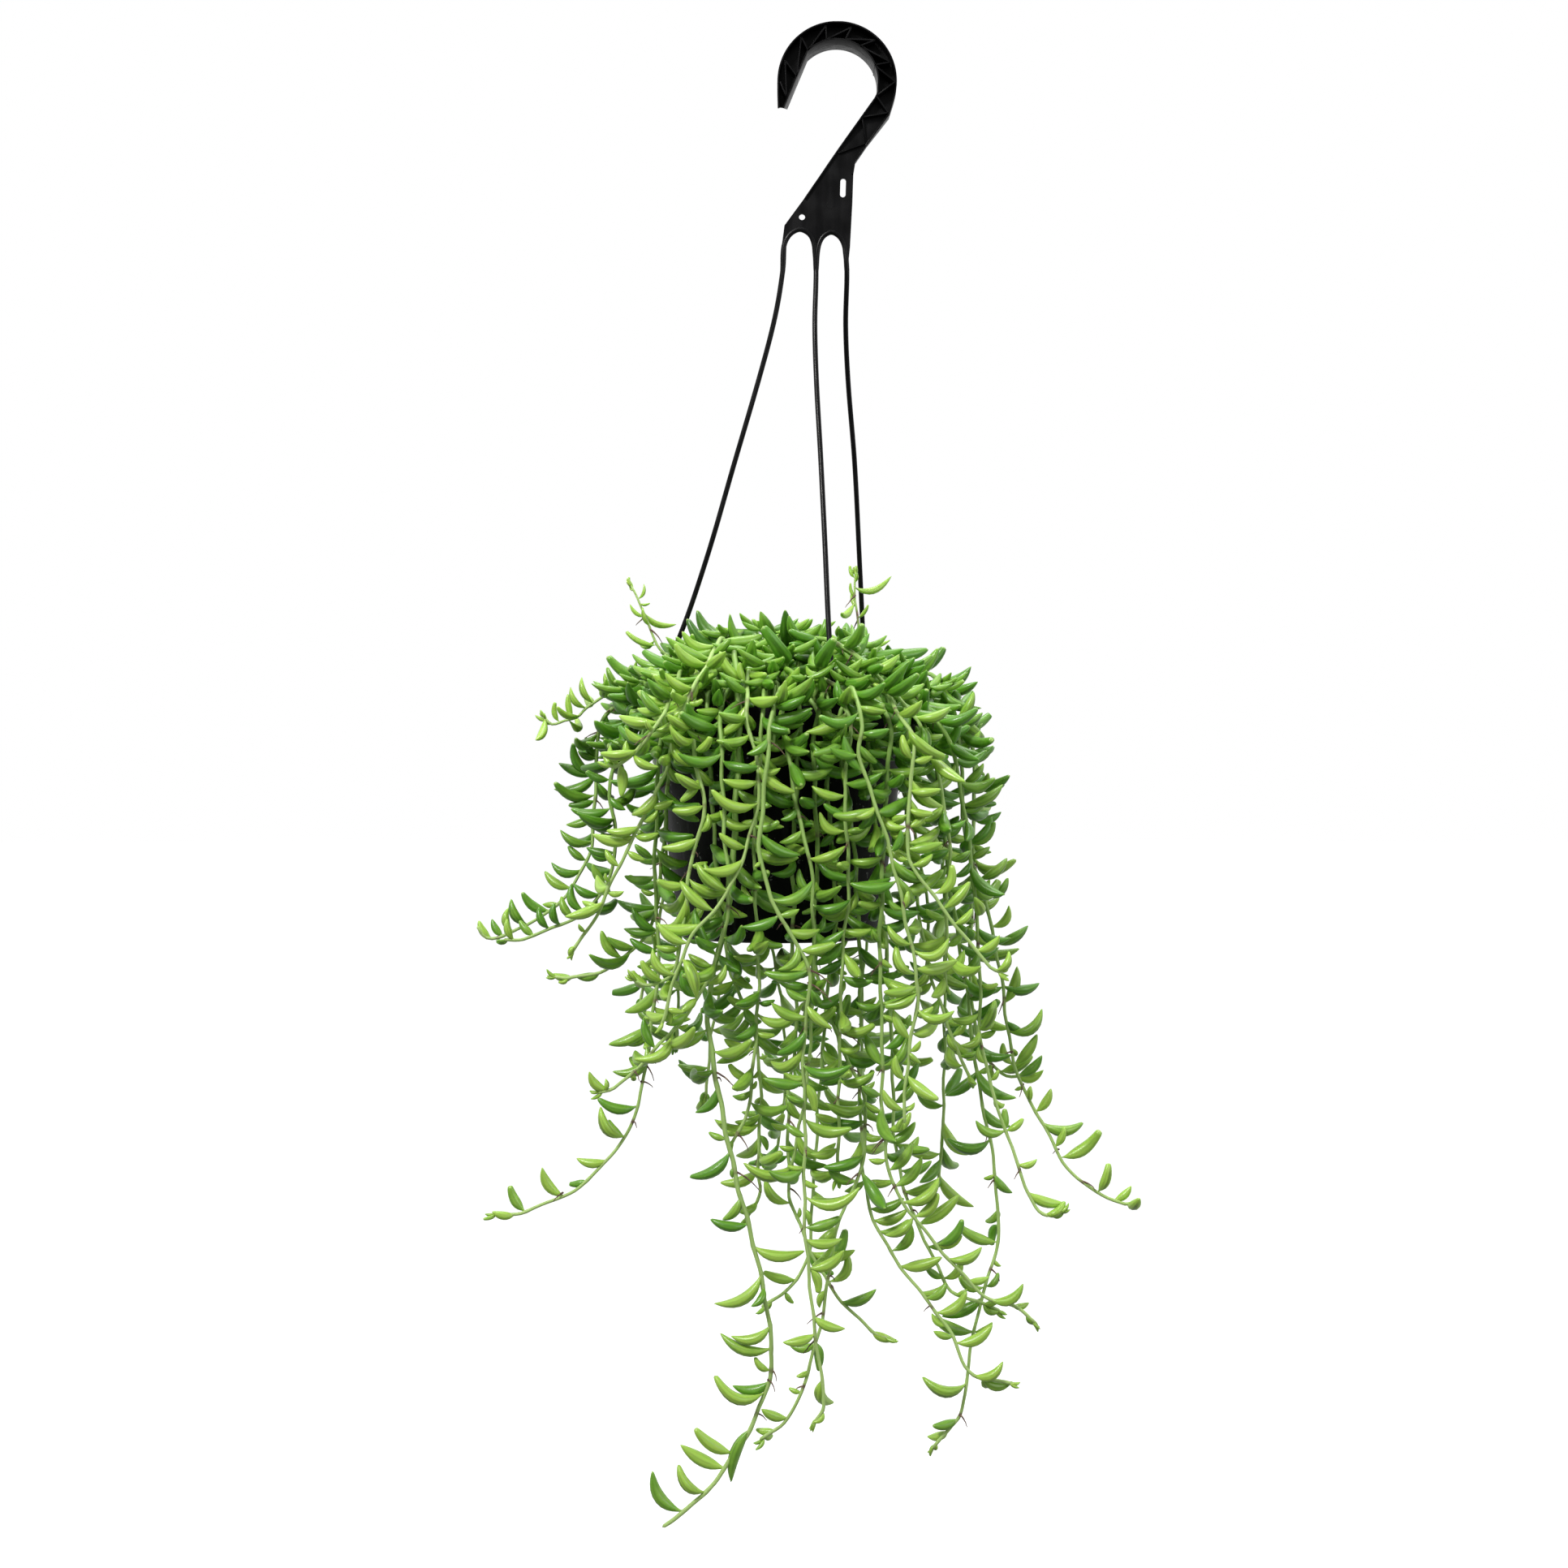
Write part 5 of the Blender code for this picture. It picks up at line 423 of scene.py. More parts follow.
STRANDS += [
    ("strand_left_low", [
      (790, 868, -10), (776, 884, -18), (768, 906, -24), (760, 930, -28), (752, 960, -30),
      (751, 990, -30), (757, 1022, -30), (758, 1050, -30), (752, 1078, -30), (740, 1102, -30),
      (720, 1122, -30), (703, 1134, -30), (690, 1138, -30), (664, 1150, -30), (645, 1156, -30),
      (622, 1158, -30)], [
      (751, 985, 771, 998), (754, 1000, 703, 996), (756, 1020, 722, 1012), (759, 1040, 740, 1026),
      (757, 1050, 722, 1044), (748, 1090, 730, 1064), (738, 1104, 706, 1088), (720, 1122, 705, 1088),
      (735, 1110, 730, 1115), (708, 1124, 692, 1104), (694, 1138, 684, 1112), (679, 1140, 664, 1118),
      (652, 1152, 640, 1134), (630, 1158, 625, 1132), (752, 960, 722, 950), (753, 955, 775, 962)]),
    ("strand_left_outer", [
      (775, 862, 12), (755, 872, 12), (742, 890, 12), (736, 915, 12), (732, 945, 10),
      (731, 975, 8), (732, 1005, 6), (728, 1032, 4), (723, 1060, 2), (708, 1078, 0),
      (697, 1097, -2), (688, 1113, -4), (660, 1130, -6), (638, 1143, -8), (620, 1154, -8),
      (600, 1155, -8), (590, 1142, -8)], [
      (731, 990, 700, 992), (730, 1010, 697, 1016), (730, 1012, 752, 1022), (727, 1035, 690, 1022),
      (724, 1055, 700, 1042), (723, 1045, 752, 1058), (712, 1072, 679, 1062), (702, 1086, 671, 1073),
      (690, 1112, 668, 1114), (672, 1120, 643, 1099), (650, 1136, 630, 1107), (630, 1148, 627, 1118),
      (619, 1153, 606, 1132), (604, 1155, 590, 1134), (732, 958, 682, 972), (731, 955, 706, 915),
      (730, 952, 688, 940), (733, 940, 722, 908), (734, 935, 712, 925), (736, 925, 752, 905)]),
    ("strand_left_tail", [
      (836, 890, -50), (826, 920, -66), (822, 980, -64), (818, 1040, -58), (814, 1090, -52),
      (806, 1130, -48), (792, 1158, -46), (773, 1170, -46), (757, 1181, -46), (745, 1195, -46),
      (718, 1202, -46), (700, 1206, -46), (684, 1203, -46)], [
      (776, 1166, 748, 1154), (764, 1174, 741, 1146), (800, 1150, 776, 1152), (800, 1148, 806, 1172),
      (740, 1196, 708, 1202), (706, 1205, 681, 1200), (700, 1206, 688, 1210)]),
    ("strand_left_sprig", [
      (822, 846, 0), (808, 849, -4), (793, 847, -6), (775, 847, -8), (754, 852, -8), (735, 862, -8),
      (722, 872, -8), (711, 885, -8), (695, 889, -8), (680, 892, -8), (672, 884, -8)], [
      (768, 848, 748, 822), (754, 852, 745, 829), (731, 861, 717, 834), (719, 871, 703, 846),
      (709, 885, 700, 855), (688, 889, 684, 865), (677, 891, 671, 878), (790, 846, 784, 814),
      (800, 850, 780, 848), (812, 850, 808, 834)]),
    ("strand_centre_left", [
      (948, 812, -48), (944, 840, -72), (940, 868, -90), (938, 910, -94), (934, 960, -92),
      (930, 1010, -88), (928, 1060, -84), (931, 1110, -80), (933, 1160, -76), (935, 1200, -74),
      (936, 1235, -74), (934, 1265, -74), (930, 1292, -74), (926, 1318, -74), (922, 1350, -74),
      (919, 1378, -74), (912, 1394, -74), (902, 1407, -74)], [
      (933, 1180, 903, 1178), (930, 1238, 896, 1228), (933, 1230, 955, 1232), (935, 1255, 905, 1278),
      (931, 1285, 892, 1280), (925, 1320, 898, 1311), (928, 1322, 935, 1318), (921, 1350, 902, 1350),
      (922, 1340, 932, 1332), (912, 1394, 890, 1392), (934, 1265, 955, 1275), (933, 1150, 965, 1165),
      (930, 1010, 905, 1018), (932, 1110, 915, 1090), (936, 870, 955, 862), (935, 935, 905, 948)]),
    ("strand_inner_left", [
      (875, 868, -30), (872, 905, -72), (876, 960, -72), (880, 1030, -68), (884, 1090, -62),
      (890, 1140, -58), (896, 1180, -56), (906, 1215, -56), (916, 1228, -56), (924, 1255, -56),
      (931, 1290, -58), (937, 1330, -58), (939, 1375, -58), (935, 1405, -58), (934, 1440, -58),
      (937, 1468, -58), (928, 1488, -58), (919, 1502, -58)], [
      (897, 1185, 928, 1218), (908, 1218, 862, 1246), (914, 1226, 880, 1255), (923, 1250, 903, 1272),
      (926, 1280, 882, 1310), (934, 1300, 946, 1300), (932, 1368, 905, 1382), (933, 1405, 906, 1424),
      (934, 1412, 940, 1440), (932, 1440, 887, 1457), (928, 1482, 908, 1492), (936, 1350, 930, 1358),
      (936, 1275, 970, 1300), (938, 1362, 950, 1365), (936, 1405, 945, 1418), (890, 1120, 870, 1150)]),
    ("strand_centre", [
      (955, 842, -50), (960, 862, -74), (966, 900, -90), (972, 935, -92), (977, 962, -92),
      (981, 990, -92), (986, 1015, -92), (994, 1040, -92), (999, 1065, -92), (1001, 1110, -90),
      (1002, 1150, -86), (1003, 1195, -82), (1001, 1235, -80), (998, 1270, -78), (998, 1305, -76),
      (993, 1345, -72), (984, 1375, -70), (979, 1405, -68), (975, 1435, -66)], [
      (974, 940, 1026, 946), (968, 915, 938, 910), (980, 980, 992, 960), (980, 985, 962, 1010),
      (988, 1020, 960, 1038), (999, 1055, 1042, 1042), (1000, 1100, 985, 1070), (1002, 1120, 1048, 1108),
      (1002, 1170, 1040, 1146), (1001, 1155, 1015, 1128), (1001, 1180, 960, 1182), (1002, 1240, 1040, 1220),
      (1000, 1290, 1016, 1262), (998, 1325, 1036, 1302), (1000, 1310, 980, 1300), (995, 1330, 965, 1320),
      (975, 1425, 960, 1412), (1000, 1255, 1030, 1240)]),
    ("strand_centre_long", [
      (972, 835, -60), (962, 850, -82), (951, 880, -100), (946, 930, -104), (940, 985, -104),
      (936, 1040, -104), (940, 1075, -104), (951, 1100, -104), (960, 1127, -104), (975, 1148, -104),
      (985, 1170, -104), (996, 1195, -102), (997, 1225, -100), (994, 1260, -98), (990, 1290, -96),
      (987, 1330, -94), (989, 1360, -92), (992, 1400, -90), (990, 1440, -90), (991, 1490, -90),
      (995, 1540, -90), (998, 1585, -90), (1004, 1632, -90), (1009, 1680, -90), (1016, 1712, -90),
      (1016, 1733, -90), (1003, 1752, -90)], [
      (938, 1060, 930, 1068), (960, 1130, 914, 1142), (962, 1128, 985, 1120), (986, 1170, 958, 1195),
      (994, 1196, 941, 1198), (992, 1225, 968, 1216), (990, 1248, 950, 1235), (994, 1275, 957, 1298),
      (984, 1325, 940, 1328), (989, 1345, 1004, 1370), (992, 1365, 968, 1348), (992, 1385, 1050, 1390),
      (990, 1395, 968, 1384), (990, 1440, 970, 1436), (991, 1450, 1008, 1462), (992, 1472, 1060, 1462),
      (991, 1485, 996, 1510), (996, 1528, 1038, 1526),
      (998, 1562, 1040, 1540), (1000, 1572, 1008, 1594), (1006, 1642, 964, 1654),
      (1005, 1625, 1042, 1637), (1016, 1706, 1028, 1728), (1014, 1735, 1001, 1753), (996, 1502, 1036, 1500)]),
]
STRANDS += [
    ("strand_centre_low", [
      (985, 850, -54), (984, 880, -76), (983, 930, -78), (980, 1000, -74), (976, 1060, -68),
      (978, 1120, -62), (975, 1180, -58), (979, 1230, -56), (982, 1265, -56), (976, 1300, -56),
      (972, 1345, -56), (971, 1400, -56), (972, 1445, -58), (975, 1482, -60), (988, 1505, -62),
      (999, 1532, -64), (1010, 1560, -66), (1020, 1580, -66), (1040, 1603, -66), (1060, 1627, -66),
      (1074, 1640, -66), (1095, 1648, -66)], [
      (972, 1380, 950, 1384), (972, 1422, 938, 1422), (973, 1440, 960, 1448), (976, 1488, 943, 1450),
      (990, 1508, 985, 1488), (1002, 1540, 1054, 1540), (1008, 1555, 1042, 1514), (1018, 1575, 1042, 1540),
      (1042, 1603, 1080, 1588), (1072, 1640, 1104, 1651), (1000, 1535, 1028, 1570), (978, 1240, 1000, 1256),
      (975, 1190, 950, 1210), (974, 1350, 990, 1380), (980, 1270, 960, 1290), (972, 1400, 1020, 1436)]),
    ("strand_centre_tip", [
      (1012, 850, -62), (1010, 868, -84), (1004, 900, -86), (1003, 960, -84), (1007, 1030, -78),
      (1006, 1090, -72), (1003, 1150, -68), (1010, 1210, -66), (1018, 1245, -68), (1031, 1275, -70),
      (1044, 1305, -72), (1053, 1325, -74), (1061, 1340, -74), (1064, 1370, -76), (1067, 1395, -76),
      (1062, 1425, -76), (1056, 1455, -76), (1044, 1482, -76), (1032, 1510, -76), (1026, 1545, -76),
      (1021, 1580, -76), (1015, 1612, -76), (1009, 1645, -76), (999, 1672, -76), (990, 1708, -76),
      (980, 1735, -76), (966, 1753, -76), (948, 1767, -76), (938, 1774, -76)], [
      (1022, 1262, 1046, 1225), (1047, 1310, 1010, 1335), (1060, 1340, 1078, 1332), (1063, 1362, 1016, 1358),
      (1066, 1385, 1014, 1374), (1062, 1420, 1014, 1438), (1058, 1452, 1020, 1440), (1052, 1465, 1000, 1475),
      (1034, 1505, 1002, 1535), (1028, 1530, 1000, 1560), (1020, 1590, 1010, 1612), (1003, 1660, 973, 1658),
      (1005, 1655, 1008, 1690), (1000, 1685, 981, 1696), (985, 1720, 972, 1710), (972, 1747, 938, 1736),
      (955, 1762, 931, 1761), (942, 1770, 952, 1768), (1050, 1318, 1008, 1328), (1010, 1200, 1040, 1180),
      (1006, 1040, 1030, 1022), (1006, 1110, 988, 1125)]),
    ("strand_front_right", [
      (1018, 838, -60), (1036, 850, -82), (1043, 872, -94), (1048, 890, -96), (1043, 930, -96),
      (1041, 980, -94), (1041, 1030, -92), (1044, 1060, -90), (1046, 1088, -88), (1041, 1115, -86),
      (1040, 1145, -84), (1038, 1180, -82), (1037, 1230, -80), (1035, 1290, -78), (1034, 1340, -76),
      (1033, 1400, -74), (1033, 1455, -72)], [
      (1040, 880, 992, 902), (1044, 870, 1032, 838), (1044, 905, 1068, 908), (1040, 930, 998, 916),
      (1041, 945, 1040, 962), (1041, 975, 1000, 968), (1041, 1000, 1015, 990), (1043, 1020, 1010, 1000),
      (1042, 1030, 1068, 1020), (1045, 1070, 1014, 1062), (1046, 1085, 1098, 1082), (1043, 1105, 1008, 1122),
      (1042, 1120, 1055, 1098), (1040, 1140, 1074, 1145), (1038, 1170, 1004, 1188), (1038, 1195, 1076, 1208),
      (1036, 1235, 1040, 1208), (1036, 1260, 1078, 1262), (1034, 1300, 1060, 1290), (1034, 1335, 1078, 1320),
      (1033, 1375, 1004, 1372), (1033, 1410, 998, 1422), (1033, 1440, 1060, 1405), (1034, 1455, 1000, 1436)]),
    ("strand_front_mid_right", [
      (1032, 826, -58), (1046, 843, -84), (1058, 865, -102), (1061, 895, -106), (1059, 930, -106),
      (1068, 960, -106), (1077, 990, -106), (1085, 1012, -106), (1093, 1035, -106), (1099, 1062, -104),
      (1106, 1092, -104), (1113, 1120, -104), (1121, 1150, -102), (1127, 1185, -102), (1131, 1222, -100),
      (1126, 1255, -98), (1120, 1295, -96), (1118, 1335, -96), (1114, 1368, -96), (1113, 1382, -96)], [
      (1060, 905, 1096, 898), (1059, 935, 1022, 920), (1063, 945, 1040, 905), (1075, 985, 1052, 1006),
      (1077, 992, 1026, 1004), (1078, 985, 1060, 1020), (1096, 1050, 1110, 1022), (1103, 1082, 1047, 1088),
      (1113, 1118, 1118, 1096), (1115, 1130, 1095, 1108), (1124, 1160, 1094, 1140), (1127, 1192, 1105, 1164),
      (1131, 1222, 1096, 1212), (1131, 1215, 1090, 1240), (1128, 1252, 1150, 1240), (1122, 1290, 1134, 1282),
      (1120, 1275, 1100, 1245), (1119, 1325, 1104, 1300), (1116, 1362, 1088, 1342), (1114, 1378, 1127, 1358),
      (1120, 1300, 1135, 1310), (1060, 870, 1092, 876)]),
    ("strand_right_arch", [
      (985, 793, -22), (1003, 787, -36), (1022, 788, -44), (1042, 799, -54), (1062, 815, -64),
      (1082, 832, -72), (1100, 853, -80), (1118, 875, -86), (1134, 893, -90), (1146, 918, -90),
      (1152, 945, -88), (1160, 975, -86), (1166, 1010, -84), (1170, 1045, -82), (1166, 1080, -78),
      (1166, 1130, -74), (1165, 1180, -70), (1166, 1215, -68)], [
      (1012, 788, 972, 776), (1005, 788, 1016, 762), (1060, 812, 1042, 840), (1090, 840, 1110, 862),
      (1100, 855, 1076, 842), (1130, 885, 1172, 870), (1138, 897, 1136, 934), (1146, 915, 1162, 905),
      (1150, 935, 1130, 955), (1160, 970, 1122, 962), (1163, 990, 1128, 1010), (1168, 1022, 1190, 1010),
      (1170, 1045, 1134, 1055), (1168, 1055, 1196, 1048), (1166, 1078, 1140, 1092), (1166, 1100, 1196, 1086),
      (1166, 1135, 1140, 1120), (1166, 1160, 1186, 1150), (1165, 1190, 1188, 1170), (1165, 1212, 1148, 1228),
      (1030, 793, 1066, 780), (1075, 826, 1108, 806), (1120, 878, 1092, 900)]),
    ("strand_right_long", [
      (1062, 838, -44), (1078, 856, -66), (1092, 878, -84), (1097, 905, -90), (1099, 935, -90),
      (1095, 970, -90), (1090, 1005, -88), (1087, 1050, -88), (1087, 1090, -86), (1085, 1130, -84),
      (1084, 1180, -82), (1086, 1225, -80), (1087, 1270, -80), (1087, 1320, -80), (1088, 1370, -80),
      (1087, 1398, -80), (1094, 1430, -80), (1102, 1462, -80), (1115, 1487, -80), (1130, 1508, -80),
      (1148, 1528, -80), (1168, 1550, -80), (1184, 1573, -80), (1197, 1585, -80), (1214, 1597, -80),
      (1235, 1605, -80), (1254, 1612, -80), (1274, 1628, -80)], [
      (1096, 950, 1074, 950), (1097, 955, 1140, 945), (1096, 930, 1070, 925), (1094, 978, 1076, 985),
      (1098, 900, 1062, 905), (1087, 1060, 1045, 1060), (1086, 1110, 1058, 1112), (1085, 1140, 1040, 1126),
      (1084, 1165, 1075, 1145), (1085, 1185, 1100, 1192), (1086, 1230, 1054, 1234), (1087, 1240, 1130, 1222),
      (1087, 1250, 1105, 1258), (1087, 1310, 1066, 1272), (1088, 1280, 1115, 1262), (1088, 1300, 1118, 1278),
      (1088, 1345, 1062, 1338), (1088, 1375, 1066, 1358), (1088, 1385, 1122, 1370), (1091, 1415, 1128, 1382),
      (1098, 1444, 1124, 1408), (1110, 1465, 1136, 1425), (1120, 1488, 1157, 1450), (1130, 1503, 1156, 1470),
      (1128, 1502, 1090, 1522), (1150, 1528, 1186, 1502), (1158, 1532, 1186, 1522), (1175, 1550, 1210, 1536),
      (1190, 1580, 1184, 1566), (1197, 1584, 1219, 1573), (1222, 1598, 1261, 1581), (1248, 1609, 1268, 1605),
      (1262, 1620, 1277, 1631), (1094, 1425, 1070, 1428)]),
    ("strand_right_bright", [
      (1090, 848, -58), (1102, 868, -82), (1114, 890, -100), (1126, 915, -104), (1129, 945, -104),
      (1124, 985, -104), (1118, 1018, -104), (1118, 1045, -104), (1124, 1065, -104), (1134, 1084, -104),
      (1150, 1100, -104), (1163, 1115, -104), (1174, 1135, -104), (1190, 1155, -104), (1207, 1178, -104),
      (1220, 1192, -104), (1234, 1198, -104)], [
      (1125, 985, 1160, 972), (1122, 995, 1150, 1002), (1118, 1020, 1140, 1002), (1120, 1030, 1100, 1012),
      (1119, 1050, 1162, 1038), (1122, 1060, 1098, 1046), (1128, 1075, 1149, 1052), (1146, 1092, 1173, 1065),
      (1164, 1112, 1195, 1086), (1181, 1140, 1198, 1119), (1207, 1170, 1232, 1152), (1230, 1192, 1243, 1172),
      (1232, 1198, 1242, 1188), (1128, 930, 1112, 905), (1128, 945, 1150, 930), (1118, 1010, 1090, 995)]),
    ("strand_right_outer", [
      (1142, 830, -10), (1160, 845, -14), (1173, 868, -18), (1180, 900, -22), (1186, 945, -24),
      (1187, 985, -26), (1186, 1018, -28), (1191, 1040, -28), (1201, 1065, -28), (1211, 1092, -28),
      (1217, 1122, -28), (1223, 1150, -28), (1230, 1185, -28), (1235, 1215, -28), (1237, 1250, -28),
      (1243, 1285, -28), (1250, 1312, -28), (1260, 1336, -30), (1274, 1360, -32), (1283, 1382, -34),
      (1302, 1408, -36), (1316, 1430, -38), (1328, 1453, -40), (1350, 1468, -40), (1372, 1478, -42),
      (1386, 1483, -42), (1404, 1478, -42)], [
      (1178, 885, 1200, 852), (1184, 890, 1211, 878), (1182, 920, 1208, 900), (1186, 935, 1224, 918),
      (1187, 990, 1236, 966), (1188, 1030, 1222, 1006), (1190, 1040, 1226, 1012), (1196, 1055, 1172, 1048),
      (1205, 1068, 1220, 1043), (1206, 1072, 1241, 1057), (1212, 1090, 1242, 1081), (1222, 1138, 1243, 1115),
      (1219, 1130, 1205, 1112), (1228, 1162, 1267, 1140), (1224, 1160, 1198, 1145), (1234, 1216, 1204, 1206),
      (1245, 1230, 1253, 1190), (1250, 1222, 1281, 1211), (1240, 1262, 1262, 1272), (1245, 1280, 1284, 1242),
      (1252, 1318, 1278, 1274), (1255, 1322, 1284, 1300), (1243, 1290, 1252, 1300), (1250, 1312, 1236, 1285),
      (1266, 1345, 1250, 1343), (1270, 1350, 1270, 1338), (1280, 1368, 1295, 1341), (1286, 1383, 1335, 1383),
      (1302, 1402, 1312, 1388), (1316, 1418, 1356, 1393), (1347, 1465, 1366, 1433), (1374, 1478, 1394, 1461),
      (1390, 1482, 1406, 1476), (1186, 960, 1212, 940), (1187, 1000, 1215, 985)]),
    ("strand_right_mid", [
      (1128, 856, -48), (1142, 872, -58), (1158, 892, -62), (1172, 920, -62), (1182, 960, -60),
      (1190, 1010, -56), (1196, 1050, -54), (1200, 1095, -52), (1204, 1140, -52), (1207, 1190, -52),
      (1206, 1245, -52), (1210, 1290, -54), (1219, 1325, -56), (1230, 1365, -58), (1239, 1393, -60),
      (1250, 1428, -62), (1264, 1465, -64), (1276, 1488, -66), (1290, 1499, -68), (1308, 1493, -68)], [
      (1206, 1170, 1186, 1200), (1206, 1245, 1172, 1255), (1210, 1260, 1226, 1232), (1208, 1270, 1182, 1288),
      (1212, 1278, 1226, 1258), (1215, 1310, 1206, 1290), (1222, 1335, 1230, 1318), (1228, 1342, 1238, 1360),
      (1236, 1385, 1238, 1366), (1242, 1390, 1261, 1378), (1238, 1390, 1202, 1380), (1254, 1434, 1278, 1428),
      (1270, 1478, 1314, 1483), (1284, 1493, 1312, 1480), (1292, 1498, 1312, 1492), (1203, 1130, 1180, 1120),
      (1200, 1100, 1178, 1105), (1198, 1060, 1176, 1080), (1207, 1200, 1230, 1212)]),
    ("strand_right_hook", [
      (1108, 832, -30), (1124, 850, -40), (1136, 880, -44), (1150, 930, -44), (1160, 1000, -40),
      (1168, 1070, -36), (1178, 1140, -34), (1190, 1210, -34), (1197, 1270, -36), (1203, 1320, -38),
      (1212, 1362, -40), (1220, 1392, -42), (1223, 1425, -44), (1227, 1460, -46), (1230, 1500, -48),
      (1229, 1530, -50), (1219, 1560, -52), (1210, 1590, -54), (1204, 1620, -56), (1196, 1652, -58),
      (1191, 1690, -60), (1187, 1725, -60), (1181, 1748, -60), (1166, 1767, -60), (1150, 1783, -60)], [
      (1197, 1262, 1180, 1240), (1204, 1320, 1164, 1350), (1211, 1362, 1246, 1388), (1219, 1405, 1166, 1402),
      (1224, 1440, 1248, 1470), (1228, 1448, 1212, 1452), (1229, 1480, 1214, 1505), (1230, 1512, 1222, 1535),
      (1226, 1538, 1180, 1510), (1222, 1540, 1234, 1560), (1210, 1580, 1182, 1572), (1211, 1578, 1230, 1568),
      (1204, 1610, 1160, 1622), (1195, 1645, 1148, 1620), (1196, 1650, 1223, 1629), (1189, 1706, 1136, 1696),
      (1180, 1748, 1149, 1757), (1168, 1765, 1142, 1770), (1156, 1778, 1152, 1786), (1190, 1205, 1172, 1190),
      (1193, 1235, 1215, 1225), (1205, 1330, 1222, 1312)]),
]
